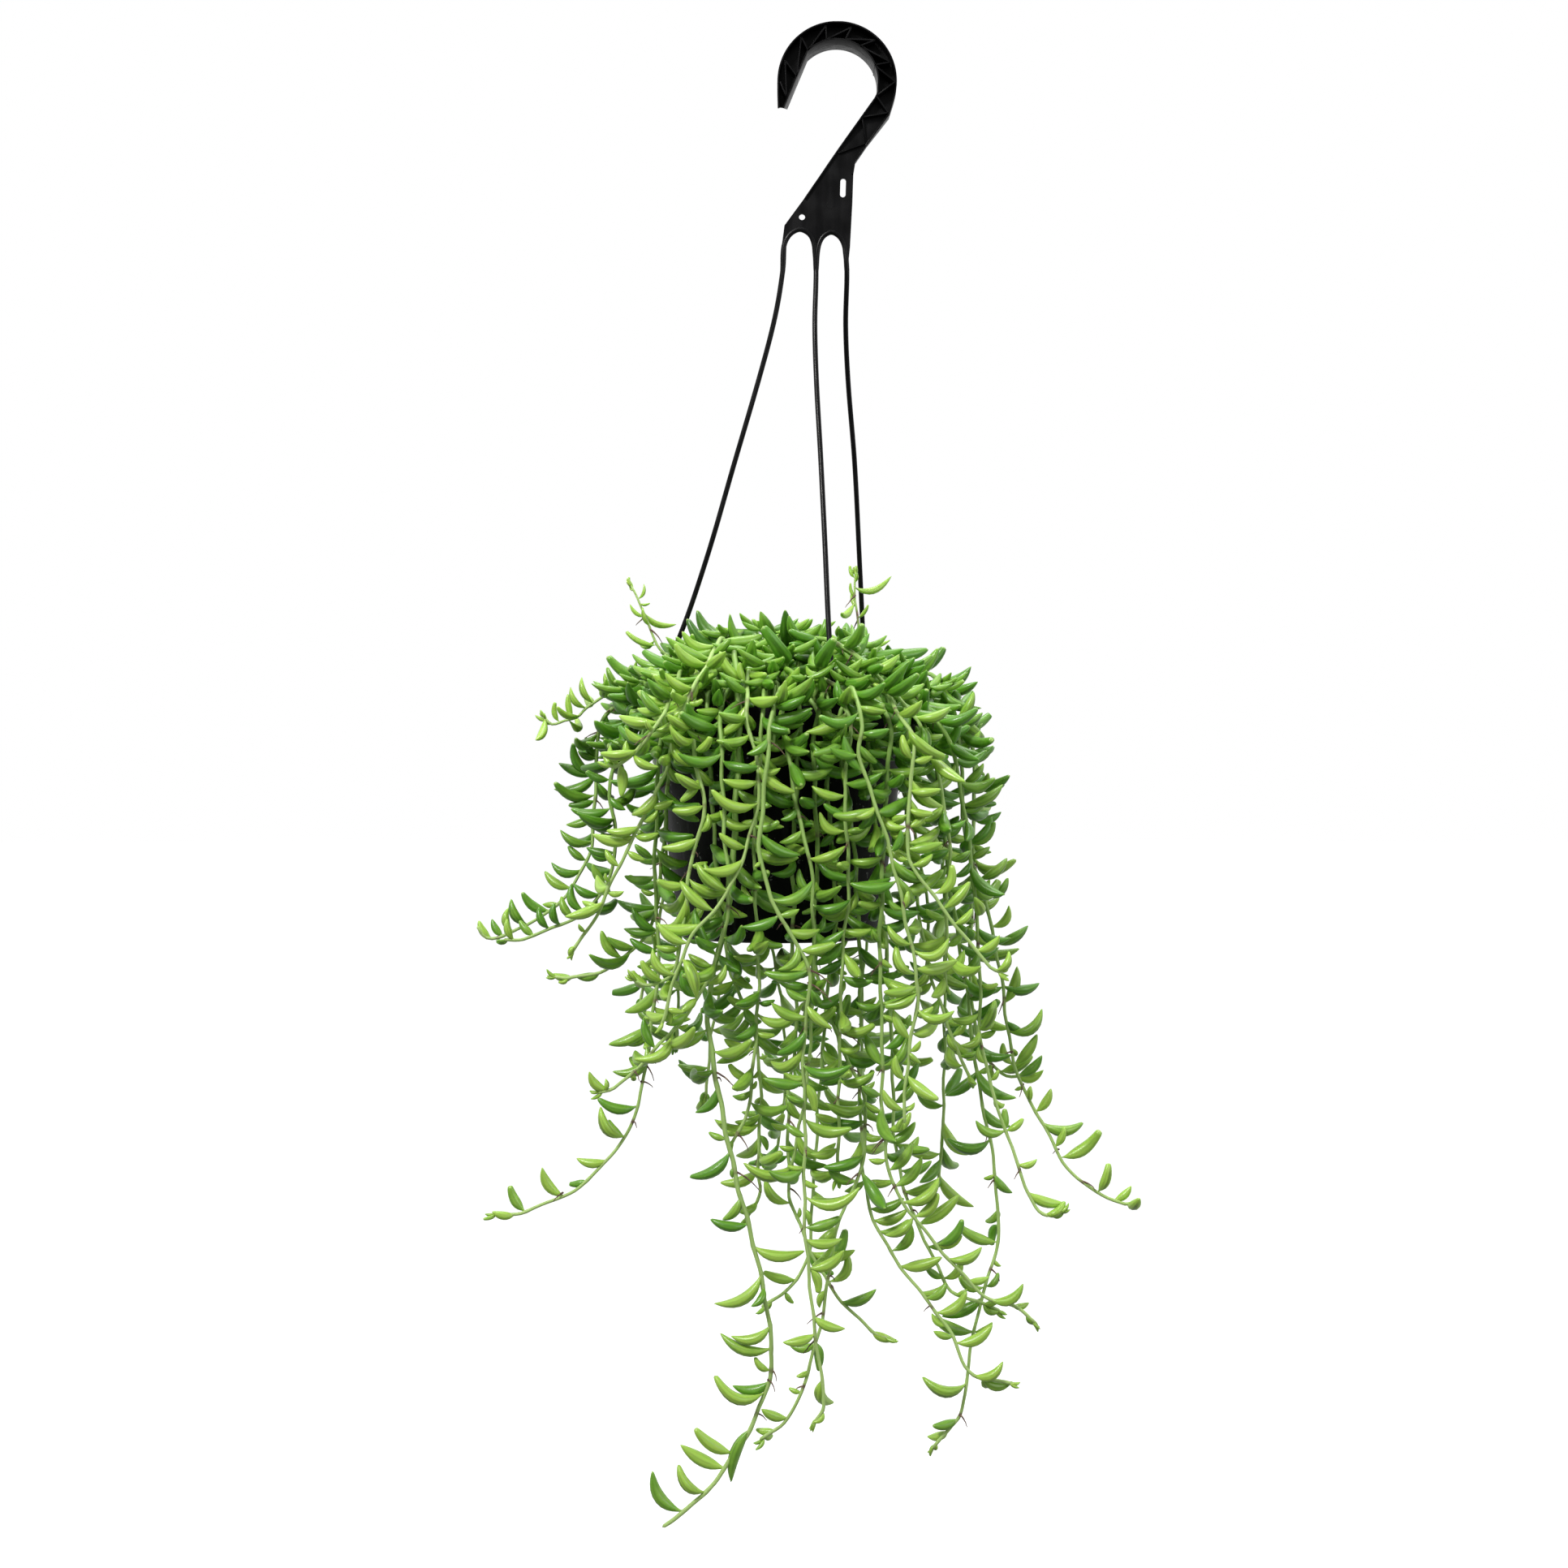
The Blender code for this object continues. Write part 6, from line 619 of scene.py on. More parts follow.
STRANDS += [
    ("strand_right_inner", [
      (1048, 856, -36), (1062, 870, -70), (1070, 910, -74), (1076, 970, -70), (1080, 1040, -64),
      (1086, 1110, -58), (1094, 1190, -54), (1098, 1260, -54), (1100, 1330, -54), (1102, 1395, -54),
      (1110, 1432, -54), (1115, 1468, -56), (1128, 1500, -58), (1140, 1525, -60), (1150, 1556, -62),
      (1162, 1575, -64), (1178, 1594, -64), (1200, 1604, -64), (1231, 1614, -64)], [
      (1104, 1405, 1146, 1416), (1112, 1440, 1148, 1430), (1108, 1425, 1132, 1400), (1118, 1478, 1156, 1452),
      (1130, 1500, 1182, 1472), (1142, 1530, 1178, 1514), (1156, 1566, 1184, 1548), (1166, 1580, 1134, 1592),
      (1160, 1572, 1140, 1560), (1180, 1596, 1192, 1588), (1205, 1604, 1232, 1600), (1215, 1608, 1233, 1615),
      (1100, 1340, 1132, 1308), (1101, 1350, 1128, 1330), (1098, 1270, 1122, 1250), (1100, 1300, 1072, 1295),
      (1094, 1200, 1120, 1190), (1094, 1190, 1070, 1180)]),
    ("strand_right_swing", [
      (1020, 858, -44), (1030, 876, -72), (1034, 920, -74), (1044, 980, -70), (1052, 1040, -66),
      (1056, 1110, -60), (1060, 1180, -56), (1060, 1250, -54), (1058, 1310, -54), (1060, 1370, -54),
      (1064, 1430, -56), (1068, 1475, -60), (1078, 1500, -62), (1088, 1527, -64), (1097, 1542, -66),
      (1115, 1563, -68), (1130, 1588, -70), (1150, 1611, -72), (1166, 1634, -74), (1182, 1662, -76),
      (1199, 1694, -78), (1215, 1698, -78), (1246, 1704, -78)], [
      (1074, 1490, 1114, 1476), (1078, 1495, 1118, 1490), (1086, 1520, 1120, 1502), (1096, 1540, 1122, 1508),
      (1114, 1560, 1161, 1549), (1132, 1590, 1166, 1580), (1150, 1608, 1191, 1591), (1162, 1625, 1148, 1618),
      (1172, 1648, 1150, 1640), (1182, 1650, 1223, 1632), (1203, 1693, 1236, 1677), (1210, 1697, 1248, 1702),
      (1208, 1697, 1218, 1706), (1066, 1450, 1100, 1456), (1066, 1462, 1040, 1468), (1062, 1400, 1086, 1402),
      (1060, 1330, 1076, 1318), (1058, 1290, 1038, 1300), (1060, 1240, 1080, 1228),
      (1058, 1200, 1044, 1178)]),
    ("strand_right_low", [
      (1088, 858, -28), (1104, 872, -62), (1112, 920, -62), (1116, 980, -56), (1122, 1050, -48),
      (1132, 1120, -42), (1144, 1190, -40), (1158, 1240, -40), (1168, 1268, -42), (1180, 1295, -44),
      (1190, 1315, -44), (1197, 1330, -44)], [
      (1158, 1240, 1136, 1255), (1162, 1250, 1185, 1262), (1168, 1268, 1190, 1255), (1175, 1282, 1200, 1292),
      (1186, 1305, 1204, 1296), (1180, 1295, 1168, 1274), (1196, 1328, 1204, 1336), (1146, 1200, 1120, 1215),
      (1142, 1180, 1170, 1165), (1134, 1130, 1158, 1118), (1130, 1110, 1105, 1105),
      (1124, 1070, 1150, 1085)]),
    ("strand_right_tail", [
      (1168, 850, 16), (1184, 868, 20), (1196, 900, 22), (1200, 950, 18), (1200, 1010, 12),
      (1198, 1080, 4), (1196, 1150, -4), (1196, 1220, -10), (1204, 1275, -12), (1218, 1308, -14),
      (1240, 1326, -14), (1266, 1322, -14)], [
      (1230, 1319, 1272, 1300), (1222, 1312, 1228, 1330), (1250, 1327, 1286, 1318), (1208, 1285, 1190, 1306),
      (1204, 1275, 1228, 1268), (1198, 905, 1216, 914), (1200, 940, 1214, 955), (1200, 960, 1238, 966),
      (1200, 985, 1228, 990), (1200, 1005, 1234, 1000), (1198, 1040, 1222, 1050), (1197, 1100, 1222, 1112),
      (1196, 1160, 1220, 1185), (1196, 1200, 1170, 1216)]),
    ("strand_centre_twig", [
      (1000, 866, -34), (1003, 880, -72), (1012, 920, -66), (1014, 980, -62), (1018, 1050, -56),
      (1020, 1120, -50), (1020, 1200, -44), (1016, 1270, -42), (1010, 1340, -42), (1006, 1400, -44),
      (1004, 1460, -48), (999, 1510, -52), (996, 1548, -54), (982, 1577, -56), (962, 1594, -58),
      (940, 1610, -58)], [
      (980, 1577, 940, 1567), (965, 1590, 978, 1606), (950, 1602, 938, 1614), (1004, 1470, 1030, 1490),
      (1005, 1420, 1030, 1408), (1008, 1370, 1032, 1385), (1014, 1290, 1030, 1320), (1018, 1240, 996, 1262),
      (1020, 1180, 1044, 1200), (1020, 1130, 1000, 1140), (1019, 1080, 1040, 1064), (1017, 1020, 998, 1010),
      (1014, 960, 1036, 948), (1012, 930, 990, 922)]),
    ("sprig_top_left", [
      (824, 812, -10), (814, 800, -12), (804, 782, -12), (797, 766, -12), (790, 748, -12),
      (785, 733, -12), (778, 722, -12)], [
      (800, 774, 792, 748), (785, 735, 793, 719), (795, 763, 776, 744), (789, 745, 801, 743),
      (812, 797, 771, 778), (780, 726, 776, 722)]),
    ("sprig_top_right", [
      (1060, 812, 10), (1058, 796, 10), (1057, 775, 10), (1056, 755, 10), (1054, 735, 10),
      (1053, 718, 10), (1053, 708, 10)], [
      (1056, 765, 1070, 745), (1054, 735, 1048, 718), (1055, 752, 1050, 726), (1053, 716, 1053, 702),
      (1058, 790, 1062, 768), (1058, 800, 1042, 782)]),
]

# Hanger. An edge of the hook is some points, then an arc (right, down, radius, first and last angle,
# number of steps), then more points.
HOOK_OUTER = (
    [(958.2, 133.0), (957.6, 112.0)],
    (1031.5, 99.2, 74.0, 178.0, -16.0, 12),
    [(1096.3, 141.0), (1067.6, 180.0), (1053.9, 200.0), (1051.6, 214.0)],
)
HOOK_INNER = (
    [(966.0, 133.6), (981.0, 97.6)],
    (1031.0, 99.0, 50.3, 135.0, -6.0, 9),
    [(1080.8, 113.0), (1077.2, 120.0), (1034.4, 180.0), (1020.6, 200.0), (1011.4, 213.7), (991.0, 243.3)],
)
RIB_OUTER = [(961.2, 100.3), (967.5, 74.0), (987.3, 45.1), (1017.6, 31.2), (1049.1, 33.0), (1078.1, 48.8),
             (1096.9, 76.0), (1103.0, 100.3), (1093.9, 138.4), (1066.6, 176.0)]
RIB_INNER = [(969.0, 119.0), (981.8, 93.6), (995.7, 61.5), (1018.2, 48.2), (1041.8, 47.6), (1060.0, 56.0),
             (1077.5, 79.7), (1080.0, 117.8), (1062.4, 143.9), (1033.3, 188.1)]
LEFT_ARCH = [(964.5, 333.0), (966.0, 303.0), (973.0, 289.0), (985.5, 282.5), (998.0, 289.0), (1003.5, 303.0),
             (1005.5, 333.0)]
RIGHT_ARCH = [(1005.5, 333.0), (1008.0, 305.0), (1013.5, 292.0), (1024.2, 286.0), (1035.0, 292.0),
              (1041.0, 305.0), (1043.5, 333.0)]
PLATE = [(1050.2, 251.4), (1047.3, 305.0), (1045.6, 321.0), (1043.3, 320.0), (1042.0, 306.0),
         (1035.0, 292.0), (1024.2, 286.0), (1013.5, 292.0), (1008.0, 303.0), (1003.5, 302.0),
         (998.0, 289.0), (985.5, 282.5), (973.0, 289.0), (965.5, 303.0), (963.6, 300.0), (966.5, 278.0)]

# The eyelet's middle, and the slot between the middles of its two round ends, with half its width. An arm
# is drawn from its lead, on the arches, and then through its own points.
EYELET = (988.2, 267.6)
SLOT_TOP = (1038.9, 223.4)
SLOT_BOTTOM = (1038.4, 240.0)
SLOT_HALF = 3.4
ARM_LEADS = ((966.0, 303.0), (1003.5, 303.0), (1041.0, 305.0))
ARMS = (
    [(964.5, 333, 0), (955, 390, 1), (937, 460, 2), (905, 570, 4), (870, 690, 6), (835, 790, 8),
     (806, 845, 9)],
    [(1005.5, 333, 0), (1004, 400, -8), (1006, 470, -18), (1011, 560, -31), (1016, 660, -45),
     (1022, 790, -62), (1027, 845, -69)],
    [(1043.5, 333, 0), (1042, 400, 8), (1045, 470, 17), (1053, 570, 30), (1059, 690, 43), (1064, 800, 55),
     (1065, 852, 60)],
)


# Half the hook's depth at a place: full round the bend, thinning down the right limb towards the plate
def hook_half(u, v):
    if u < HOOK_MIDDLE and v < TAPER_END:
        return HOOK_DEPTH * 0.5
    share = max(0.0, min(1.0, (v - TAPER_TOP) / (TAPER_END - TAPER_TOP)))
    return HOOK_DEPTH * 0.5 + (LIMB_DEPTH - HOOK_DEPTH) * 0.5 * share


# The hook's lines are drawn along its front edges, each point with half the hook's depth there
def hook_point(u, v):
    half = hook_half(u, v)
    return flat(u, v, -half / MM) + (half,)


def edge_line(parts):
    before, arc, after = parts
    centre_u, centre_v, radius, first, last, count = arc
    line = [hook_point(u, v) for u, v in before]
    steps = count * HOOK_FINER
    for index in range(steps + 1):
        angle = math.radians(first + (last - first) * index / steps)
        line.append(hook_point(centre_u + radius * math.cos(angle), centre_v - radius * math.sin(angle)))
    line.extend(hook_point(u, v) for u, v in after)
    return line


# The hook's point is cut on a slant, its back shorter than its front and the web between them
def cut_slanted(line):
    near, ahead = Vector(line[0][:2]), Vector(line[1][:2])
    start = near + (ahead - near).normalized() * (TIP_SLANT * WEB_SLANT)
    return [(start.x, start.y, line[0][2])] + line[1:]


# The line moved sideways, to its right as it runs, by a distance
def inset_line(line, distance):
    moved = []
    for index, (x, z, half) in enumerate(line):
        before = Vector(line[max(index - 1, 0)][:2])
        after = Vector(line[min(index + 1, len(line) - 1)][:2])
        along = (after - before).normalized()
        moved.append((x + along.y * distance, z - along.x * distance, half))
    return moved


# Heights above the rim of an arm's last two points
ARM_END = (0.006, SEAT_GAP + 0.0007)


# An arm runs as drawn and ends upright on the top of its clip
def arm_route(index):
    route = [spot(u, v, depth) for u, v, depth in ARMS[index]]
    turn = math.radians(RIM_ANGLES[index])
    reach = COLLAR_RADIUS - WALL * 0.5
    x = POT_X + reach * math.cos(turn)
    y = reach * math.sin(turn)
    route.extend(Vector((x, y, RIM_Z + height)) for height in ARM_END)
    return route


# Strands hanging behind the pot: bearing from +X in degrees, reach past the collar, drop, side drift
BACK_STRANDS = (
    (18, 0.016, 0.27, 0.010), (36, 0.012, 0.21, -0.012), (55, 0.018, 0.25, 0.008),
    (75, 0.012, 0.22, -0.010), (95, 0.018, 0.27, 0.012), (113, 0.013, 0.23, -0.008),
    (131, 0.017, 0.20, 0.006), (149, 0.013, 0.17, -0.006),
)

# Short upright shoots of the crown: (right, down, depth) of the apex
CROWN_SHOOTS = (
    (862, 800, -30), (905, 776, 6), (932, 768, 34), (952, 774, -14), (985, 772, 18), (1004, 790, -2),
    (1034, 784, 40), (1092, 806, 20), (1122, 822, 36), (872, 812, 44), (838, 822, 22),
)

# The points at a stem's root that stay as they are, how far apart the roots stand, and how far a point
# may lie off the line that leaves it out
ROOT_POINTS = 4
FOOT_SPACING = 0.0068
FOOT_INWARD = 0.92
WALL_CLEAR = 0.006
STEM_SLACK = 0.0017
LONGEST_SPAN = 0.050
STEM_THICK = 0.0013
STEM_THIN = 0.0007
SHOOT_THICK = 0.0012
SHOOT_THIN = 0.0010
THICK_SHARE = 0.35
SHOOT_INWARD = 0.82
BACK_STEPS = 9
BACK_START = (0.052, 0.026)
BACK_TOP = 0.018
BACK_SWING = 0.012
SPREAD_ROUNDS = 200
ROOT_RISE = 0.003
OUTER_RISE = 0.009
OUTER_FOOT = 0.008


# Lay out every stem as a route of points with a radius at each
def stem_routes():
    routes = []
    for name, drawn, leaves in STRANDS:
        points = [spot(u, v, depth) for u, v, depth in drawn]
        routes.append({"name": name, "points": points, "leaves": leaves, "kind": "drawn"})
    for index, (bearing, reach, drop, drift) in enumerate(BACK_STRANDS):
        routes.append({"name": "strand_back_%d" % (index + 1), "leaves": (), "kind": "back",
                       "points": back_points(bearing, reach, drop, drift)})
    for index, (u, v, depth) in enumerate(CROWN_SHOOTS):
        apex = spot(u, v, depth)
        foot = Vector((POT_X + (apex.x - POT_X) * SHOOT_INWARD, apex.y * SHOOT_INWARD, RIM_Z + 0.004))
        points = [foot, foot.lerp(apex, 0.5), apex]
        routes.append({"name": "crown_shoot_%d" % (index + 1), "leaves": (), "kind": "crown",
                       "points": points})
    feet = spread_feet([plan_foot(route["points"][0]) for route in routes])
    for route, foot in zip(routes, feet):
        add_root(route, foot)
        over_the_rim(route)
        route["points"] = thin_route(route["points"])
        route["radii"] = stem_radii(route["points"], route["kind"])
    return routes


# The route of a strand behind the pot
def back_points(bearing, reach, drop, drift):
    out, side = level_ways(math.radians(bearing))
    points = [RIM_MIDDLE + out * BACK_START[0] + upward(BACK_START[1]),
              RIM_MIDDLE + out * (COLLAR_RADIUS + reach * 0.5) + upward(BACK_TOP)]
    for step in range(1, BACK_STEPS + 1):
        share = step / BACK_STEPS
        sway = math.sin(share * 5.0 + bearing) * drift
        swing = reach + BACK_SWING * math.sin(share * 3.0 + bearing * 0.7)
        points.append(RIM_MIDDLE + out * (COLLAR_RADIUS + swing) + side * sway - upward(drop * share))
    return points


# Leave out route points that lie almost on the line between their neighbours
def thin_route(points):
    kept = points[:ROOT_POINTS]
    for index in range(ROOT_POINTS, len(points) - 1):
        a, b, here = kept[-1], points[index + 1], points[index]
        line = b - a
        off = (here - a) - line * ((here - a).dot(line) / line.dot(line))
        if off.length > STEM_SLACK or line.length > LONGEST_SPAN or here.z > RIM_Z - 0.020:
            kept.append(here)
    kept.append(points[-1])
    return kept if len(points) > ROOT_POINTS else points


# Where in the pot a stem starts, seen from above and from the pot's axis
def plan_foot(first):
    return Vector((first.x - POT_X, first.y)) * FOOT_INWARD


# Nudge the roots apart so that each has a hole of its own
def spread_feet(feet):
    limit = WALL_TOP_RADIUS - WALL - WALL_CLEAR
    for _ in range(SPREAD_ROUNDS):
        for index, foot in enumerate(feet):
            for other in feet[:index]:
                away = foot - other
                if away.length < FOOT_SPACING:
                    if away.length < 1e-6:
                        away = Vector((1e-4, 1e-4))
                    shift = away.normalized() * ((FOOT_SPACING - away.length) * 0.5 + 1e-5)
                    foot += shift
                    other -= shift
        for foot in feet:
            if foot.length > limit:
                foot *= limit / foot.length
    return feet


# A stem starts upright in its hole, and the outer ones rise above the rim before they lean out
def add_root(route, plan):
    ground = soil_top(plan.length)
    foot = Vector((POT_X + plan.x, plan.y, ground - HOLE_DEPTH))
    rise = Vector((foot.x, foot.y, ground + ROOT_RISE))
    high = []
    if plan_radius(route["points"][0]) > WALL_TOP_RADIUS - OUTER_FOOT:
        high.append(Vector((foot.x, foot.y, RIM_Z + OUTER_RISE)))
    route["points"] = [foot, rise] + high + route["points"]


def plan_radius(point):
    return math.hypot(point.x - POT_X, point.y)


# Level directions away from the pot's axis and around it
def out_and_side(point):
    out = Vector((point.x - POT_X, point.y, 0.0))
    out = out.normalized() if out.length > 1e-5 else Vector((0.0, -1.0, 0.0))
    return out, Vector((-out.y, out.x, 0.0))


# Clearances of a stem that runs over the rim: from the wall, past the collar and above the rim, and how
# near the collar's edge its points come on the way out
WALL_OFF = 0.0048
LIP_OFF = 0.0025
RIM_OFF = 0.007
HUMP_OFF = 0.0055
NEAR_EDGE = 0.004
FAR_EDGE = 0.003


# Lift a stem over the rim where it crosses, and keep it off the wall below
def over_the_rim(route):
    points = route["points"]
    lip = COLLAR_RADIUS + LIP_OFF
    for here in points[2:]:
        if POT_BASE - 0.004 < here.z < RIM_Z + 0.001:
            across = plan_radius(here)
            wall = pot_radius(here.z) + WALL_OFF
            if across < wall:
                here.x = POT_X + (here.x - POT_X) * wall / max(across, 1e-6)
                here.y *= wall / max(across, 1e-6)
    for index in range(2, len(points) - 1):
        near, far = points[index], points[index + 1]
        if plan_radius(near) < lip + 0.002:
            near.z = max(near.z, RIM_Z + RIM_OFF)
        if plan_radius(near) < lip <= plan_radius(far):
            start, end = plan_radius(near), plan_radius(far)
            if start < COLLAR_RADIUS - NEAR_EDGE and end > COLLAR_RADIUS + FAR_EDGE:
                hump = near.lerp(far, (COLLAR_RADIUS - start) / (end - start))
                hump.z = max(hump.z, RIM_Z + HUMP_OFF)
                points.insert(index + 1, hump)
            return


# A stem keeps its thickness for a third of its length, then thins to its tip
def stem_radii(points, kind):
    thick, thin = (SHOOT_THICK, SHOOT_THIN) if kind == "crown" else (STEM_THICK, STEM_THIN)
    last = len(points) - 1
    shares = [max(0.0, (index / last - THICK_SHARE) / (1.0 - THICK_SHARE)) for index in range(last + 1)]
    return [thick + (thin - thick) * share for share in shares]


# Distance between two straight pieces
def piece_gap(a, b, c, d):
    ax, ay, az = b[0] - a[0], b[1] - a[1], b[2] - a[2]
    cx, cy, cz = d[0] - c[0], d[1] - c[1], d[2] - c[2]
    rx, ry, rz = a[0] - c[0], a[1] - c[1], a[2] - c[2]
    aa = ax * ax + ay * ay + az * az
    cc = cx * cx + cy * cy + cz * cz
    ac = ax * cx + ay * cy + az * cz
    ar = ax * rx + ay * ry + az * rz
    cr = cx * rx + cy * ry + cz * rz
    under = aa * cc - ac * ac
    s = 0.0 if under < 1e-18 else min(1.0, max(0.0, (ac * cr - ar * cc) / under))
    t = 0.0 if cc < 1e-18 else (ac * s + cr) / cc
    if t < 0.0:
        t = 0.0
        s = 0.0 if aa < 1e-18 else min(1.0, max(0.0, -ar / aa))
    elif t > 1.0:
        t = 1.0
        s = 0.0 if aa < 1e-18 else min(1.0, max(0.0, (ac - ar) / aa))
    dx, dy, dz = rx + ax * s - cx * t, ry + ay * s - cy * t, rz + az * s - cz * t
    return math.sqrt(dx * dx + dy * dy + dz * dz), dx, dy, dz, s, t


CELL = 0.016


# The space taken so far: capsules kept in a coarse grid of cells
class Space:
    def __init__(self):
        self.cells = {}

    def span(self, a, b, reach):
        low = [math.floor((min(a[k], b[k]) - reach) / CELL) for k in range(3)]
        high = [math.floor((max(a[k], b[k]) + reach) / CELL) for k in range(3)]
        for i in range(low[0], high[0] + 1):
            for j in range(low[1], high[1] + 1):
                for k in range(low[2], high[2] + 1):
                    yield (i, j, k)

    def add(self, a, b, radius, owner):
        item = (tuple(a), tuple(b), radius, owner)
        for cell in self.span(a, b, radius):
            self.cells.setdefault(cell, []).append(item)

    def near(self, a, b, reach):
        found = {}
        for cell in self.span(a, b, reach):
            for item in self.cells.get(cell, ()):
                found[id(item)] = item
        return list(found.values())

    def free(self, a, b, radius, owner, gap, own_share):
        a, b = tuple(a), tuple(b)
        for c, d, other, whose in self.near(a, b, radius + gap):
            if whose == owner:
                # A leaf may cross its own stem and its neighbours by a share of their widths
                if own_share is None:
                    continue
                need = (radius + other) * own_share
            else:
                need = radius + other + gap
            if piece_gap(a, b, c, d)[0] < need:
                return False
        return True


# The pot's outer radius at a height, from its collar down to its base
def pot_radius(height):
    if height > COLLAR_BASE - 0.003:
        return COLLAR_RADIUS
    share = min(1.0, max(0.0, (COLLAR_BASE - height) / (POT_HEIGHT - COLLAR_HEIGHT)))
    return WALL_TOP_RADIUS + (WALL_BASE_RADIUS - WALL_TOP_RADIUS) * share + 0.001


# Whether a ball at a point is clear of the pot and the soil
def clear_of_pot(point, radius, gap=0.0006):
    reach = radius + gap
    across = plan_radius(point)
    if point.z > RIM_Z + reach:
        return True
    if point.z < POT_BASE - reach:
        return True
    if across > pot_radius(point.z) + reach:
        return True
    inside = WALL_TOP_RADIUS - WALL - reach
    return across < inside and point.z > soil_top(across) + reach


# The gap that stems are eased to, how thick a clip counts, and the heights of its capsules from the rim
STEM_GAP = 0.0016
EASE_ROUNDS = 60
STEM_PUSH = 0.6
HANGER_PUSH = 1.1
SIDE_PUSH = 0.0004
STILL = 2e-5
POT_GAP = 0.0014
LINE_GAP = 0.0012
LINE_SHARES = (0.2, 0.4, 0.6, 0.8)
CLIP_REACH = 0.0034
CLIP_LEVELS = (0.001, -0.003, -0.008)


# The hanger's arms and clips as capsules
def hanger_capsules():
    pieces = []
    for index in range(len(ARMS)):
        line = arm_route(index)
        pieces.extend((line[k], line[k + 1], BEAD_RADIUS) for k in range(len(line) - 1))
        out, side = level_ways(math.radians(RIM_ANGLES[index]))
        across = side * (CLIP_WIDTH * 0.5)
        for height in CLIP_LEVELS:
            level = RIM_MIDDLE + out * COLLAR_RADIUS + upward(height)
            pieces.append((level - across, level + across, CLIP_REACH))
    return pieces


# Ease the stems apart and off the pot; the two points at each root stay put
def ease_stems(routes):
    arms = hanger_capsules()
    for _ in range(EASE_ROUNDS):
        space = Space()
        for number, route in enumerate(routes):
            for k in range(len(route["points"]) - 1):
                radius = max(route["radii"][k], route["radii"][k + 1])
                space.add(route["points"][k], route["points"][k + 1], radius, (number, k))
        for a, b, radius in arms:
            space.add(a, b, radius, (-1, 0))
        moved = 0.0
        for number, route in enumerate(routes):
            points, radii = route["points"], route["radii"]
            push = [upward(0.0) for _ in points]
            for k in range(len(points) - 1):
                a, b = tuple(points[k]), tuple(points[k + 1])
                radius = max(radii[k], radii[k + 1])
                for c, d, other, whose in space.near(a, b, radius + STEM_GAP):
                    if whose[0] == number:
                        continue
                    gap, dx, dy, dz, s, _t = piece_gap(a, b, c, d)
                    need = radius + other + STEM_GAP
                    if gap >= need:
                        continue
                    sign = 1.0 if (dy if abs(dy) > 1e-5 else number - whose[0]) > 0.0 else -1.0
                    lean = Vector((dx * 0.5, dy, dz * 0.3)) + Vector((0.0, sign * SIDE_PUSH, 0.0))
                    push_share = STEM_PUSH if whose[0] >= 0 else HANGER_PUSH
                    lean = lean.normalized() * (need - gap) * push_share
                    push[k] += lean * (1.0 - s)
                    push[k + 1] += lean * s
            for k in range(2, len(points)):
                points[k] += push[k]
                moved = max(moved, push[k].length)
            off_the_pot(route)
        if moved < STILL:
            break


# Move a point level, away from the pot's axis
def move_out(point, distance):
    across = max(plan_radius(point), 1e-6)
    point.x += (point.x - POT_X) / across * distance
    point.y += point.y / across * distance


# Move a route's points, and the lines between them, out of the pot
def off_the_pot(route):
    points, radii = route["points"], route["radii"]
    outside = False
    for k in range(2, len(points)):
        here = points[k]
        reach = radii[k] + POT_GAP
        outside = outside or plan_radius(here) > COLLAR_RADIUS
        if here.z > RIM_Z + reach + 0.0008 or here.z < POT_BASE - reach:
            continue
        if not outside:
            here.z = RIM_Z + reach + 0.0012
            continue
        move_out(here, max(0.0, pot_radius(here.z) + reach - plan_radius(here)))
    for k in range(3, len(points) - 1):
        for share in LINE_SHARES:
            here = points[k].lerp(points[k + 1], share)
            if plan_radius(points[k]) < COLLAR_RADIUS + 0.001 and here.z > RIM_Z - 0.001:
                continue
            if POT_BASE - 0.002 < here.z < RIM_Z + radii[k] + 0.001:
                short = pot_radius(here.z) + radii[k] + LINE_GAP - plan_radius(here)
                if short > 0.0 and plan_radius(here) > WALL_BASE_RADIUS:
                    move_out(points[k], short)
                    move_out(points[k + 1], short)


# A curve from a start to an end, drawn towards a middle point
def bow(start, middle, end, count):
    shares = [step / count for step in range(count + 1)]
    return [start * (1 - t) ** 2 + middle * (2 * t * (1 - t)) + end * t ** 2 for t in shares]


LEAF_OUTWARD = 0.55
LEAF_MIDDLE_SHARE = 0.48
WIDEST_LEAF = 0.0031
LEAST_LEAF = 0.0013
LEAF_BREADTH = 0.075
STALK_RADIUS = 0.0007
# A leaf's capsules past its stalk: first and last step along it, and share of its width
CAPSULE_STEPS = 8
CAPSULES = ((1, 3, 0.92), (3, 5, 1.0), (5, 7, 0.75), (7, 8, 0.3))


# A leaf: a crescent from its foot on the stem to its tip, its belly sagging down and out
def leaf_line(foot, tip, sag, count):
    chord = tip - foot
    length = chord.length
    outward = Vector((chord.x, chord.y, 0.0))
    if outward.length > 1e-6:
        outward.normalize()
    down = upward(-1.0) + outward * LEAF_OUTWARD
    across = down - chord * (down.dot(chord) / (length * length))
    across = across.normalized() if across.length > 1e-6 else Vector((0.0, 1.0, 0.0))
    middle = foot + chord * LEAF_MIDDLE_SHARE + across * (length * sag * 2.0)
    return bow(foot, middle, tip, count), across


# Half the width of a leaf at its middle
def leaf_width(length):
    return min(WIDEST_LEAF, LEAST_LEAF + length * LEAF_BREADTH)


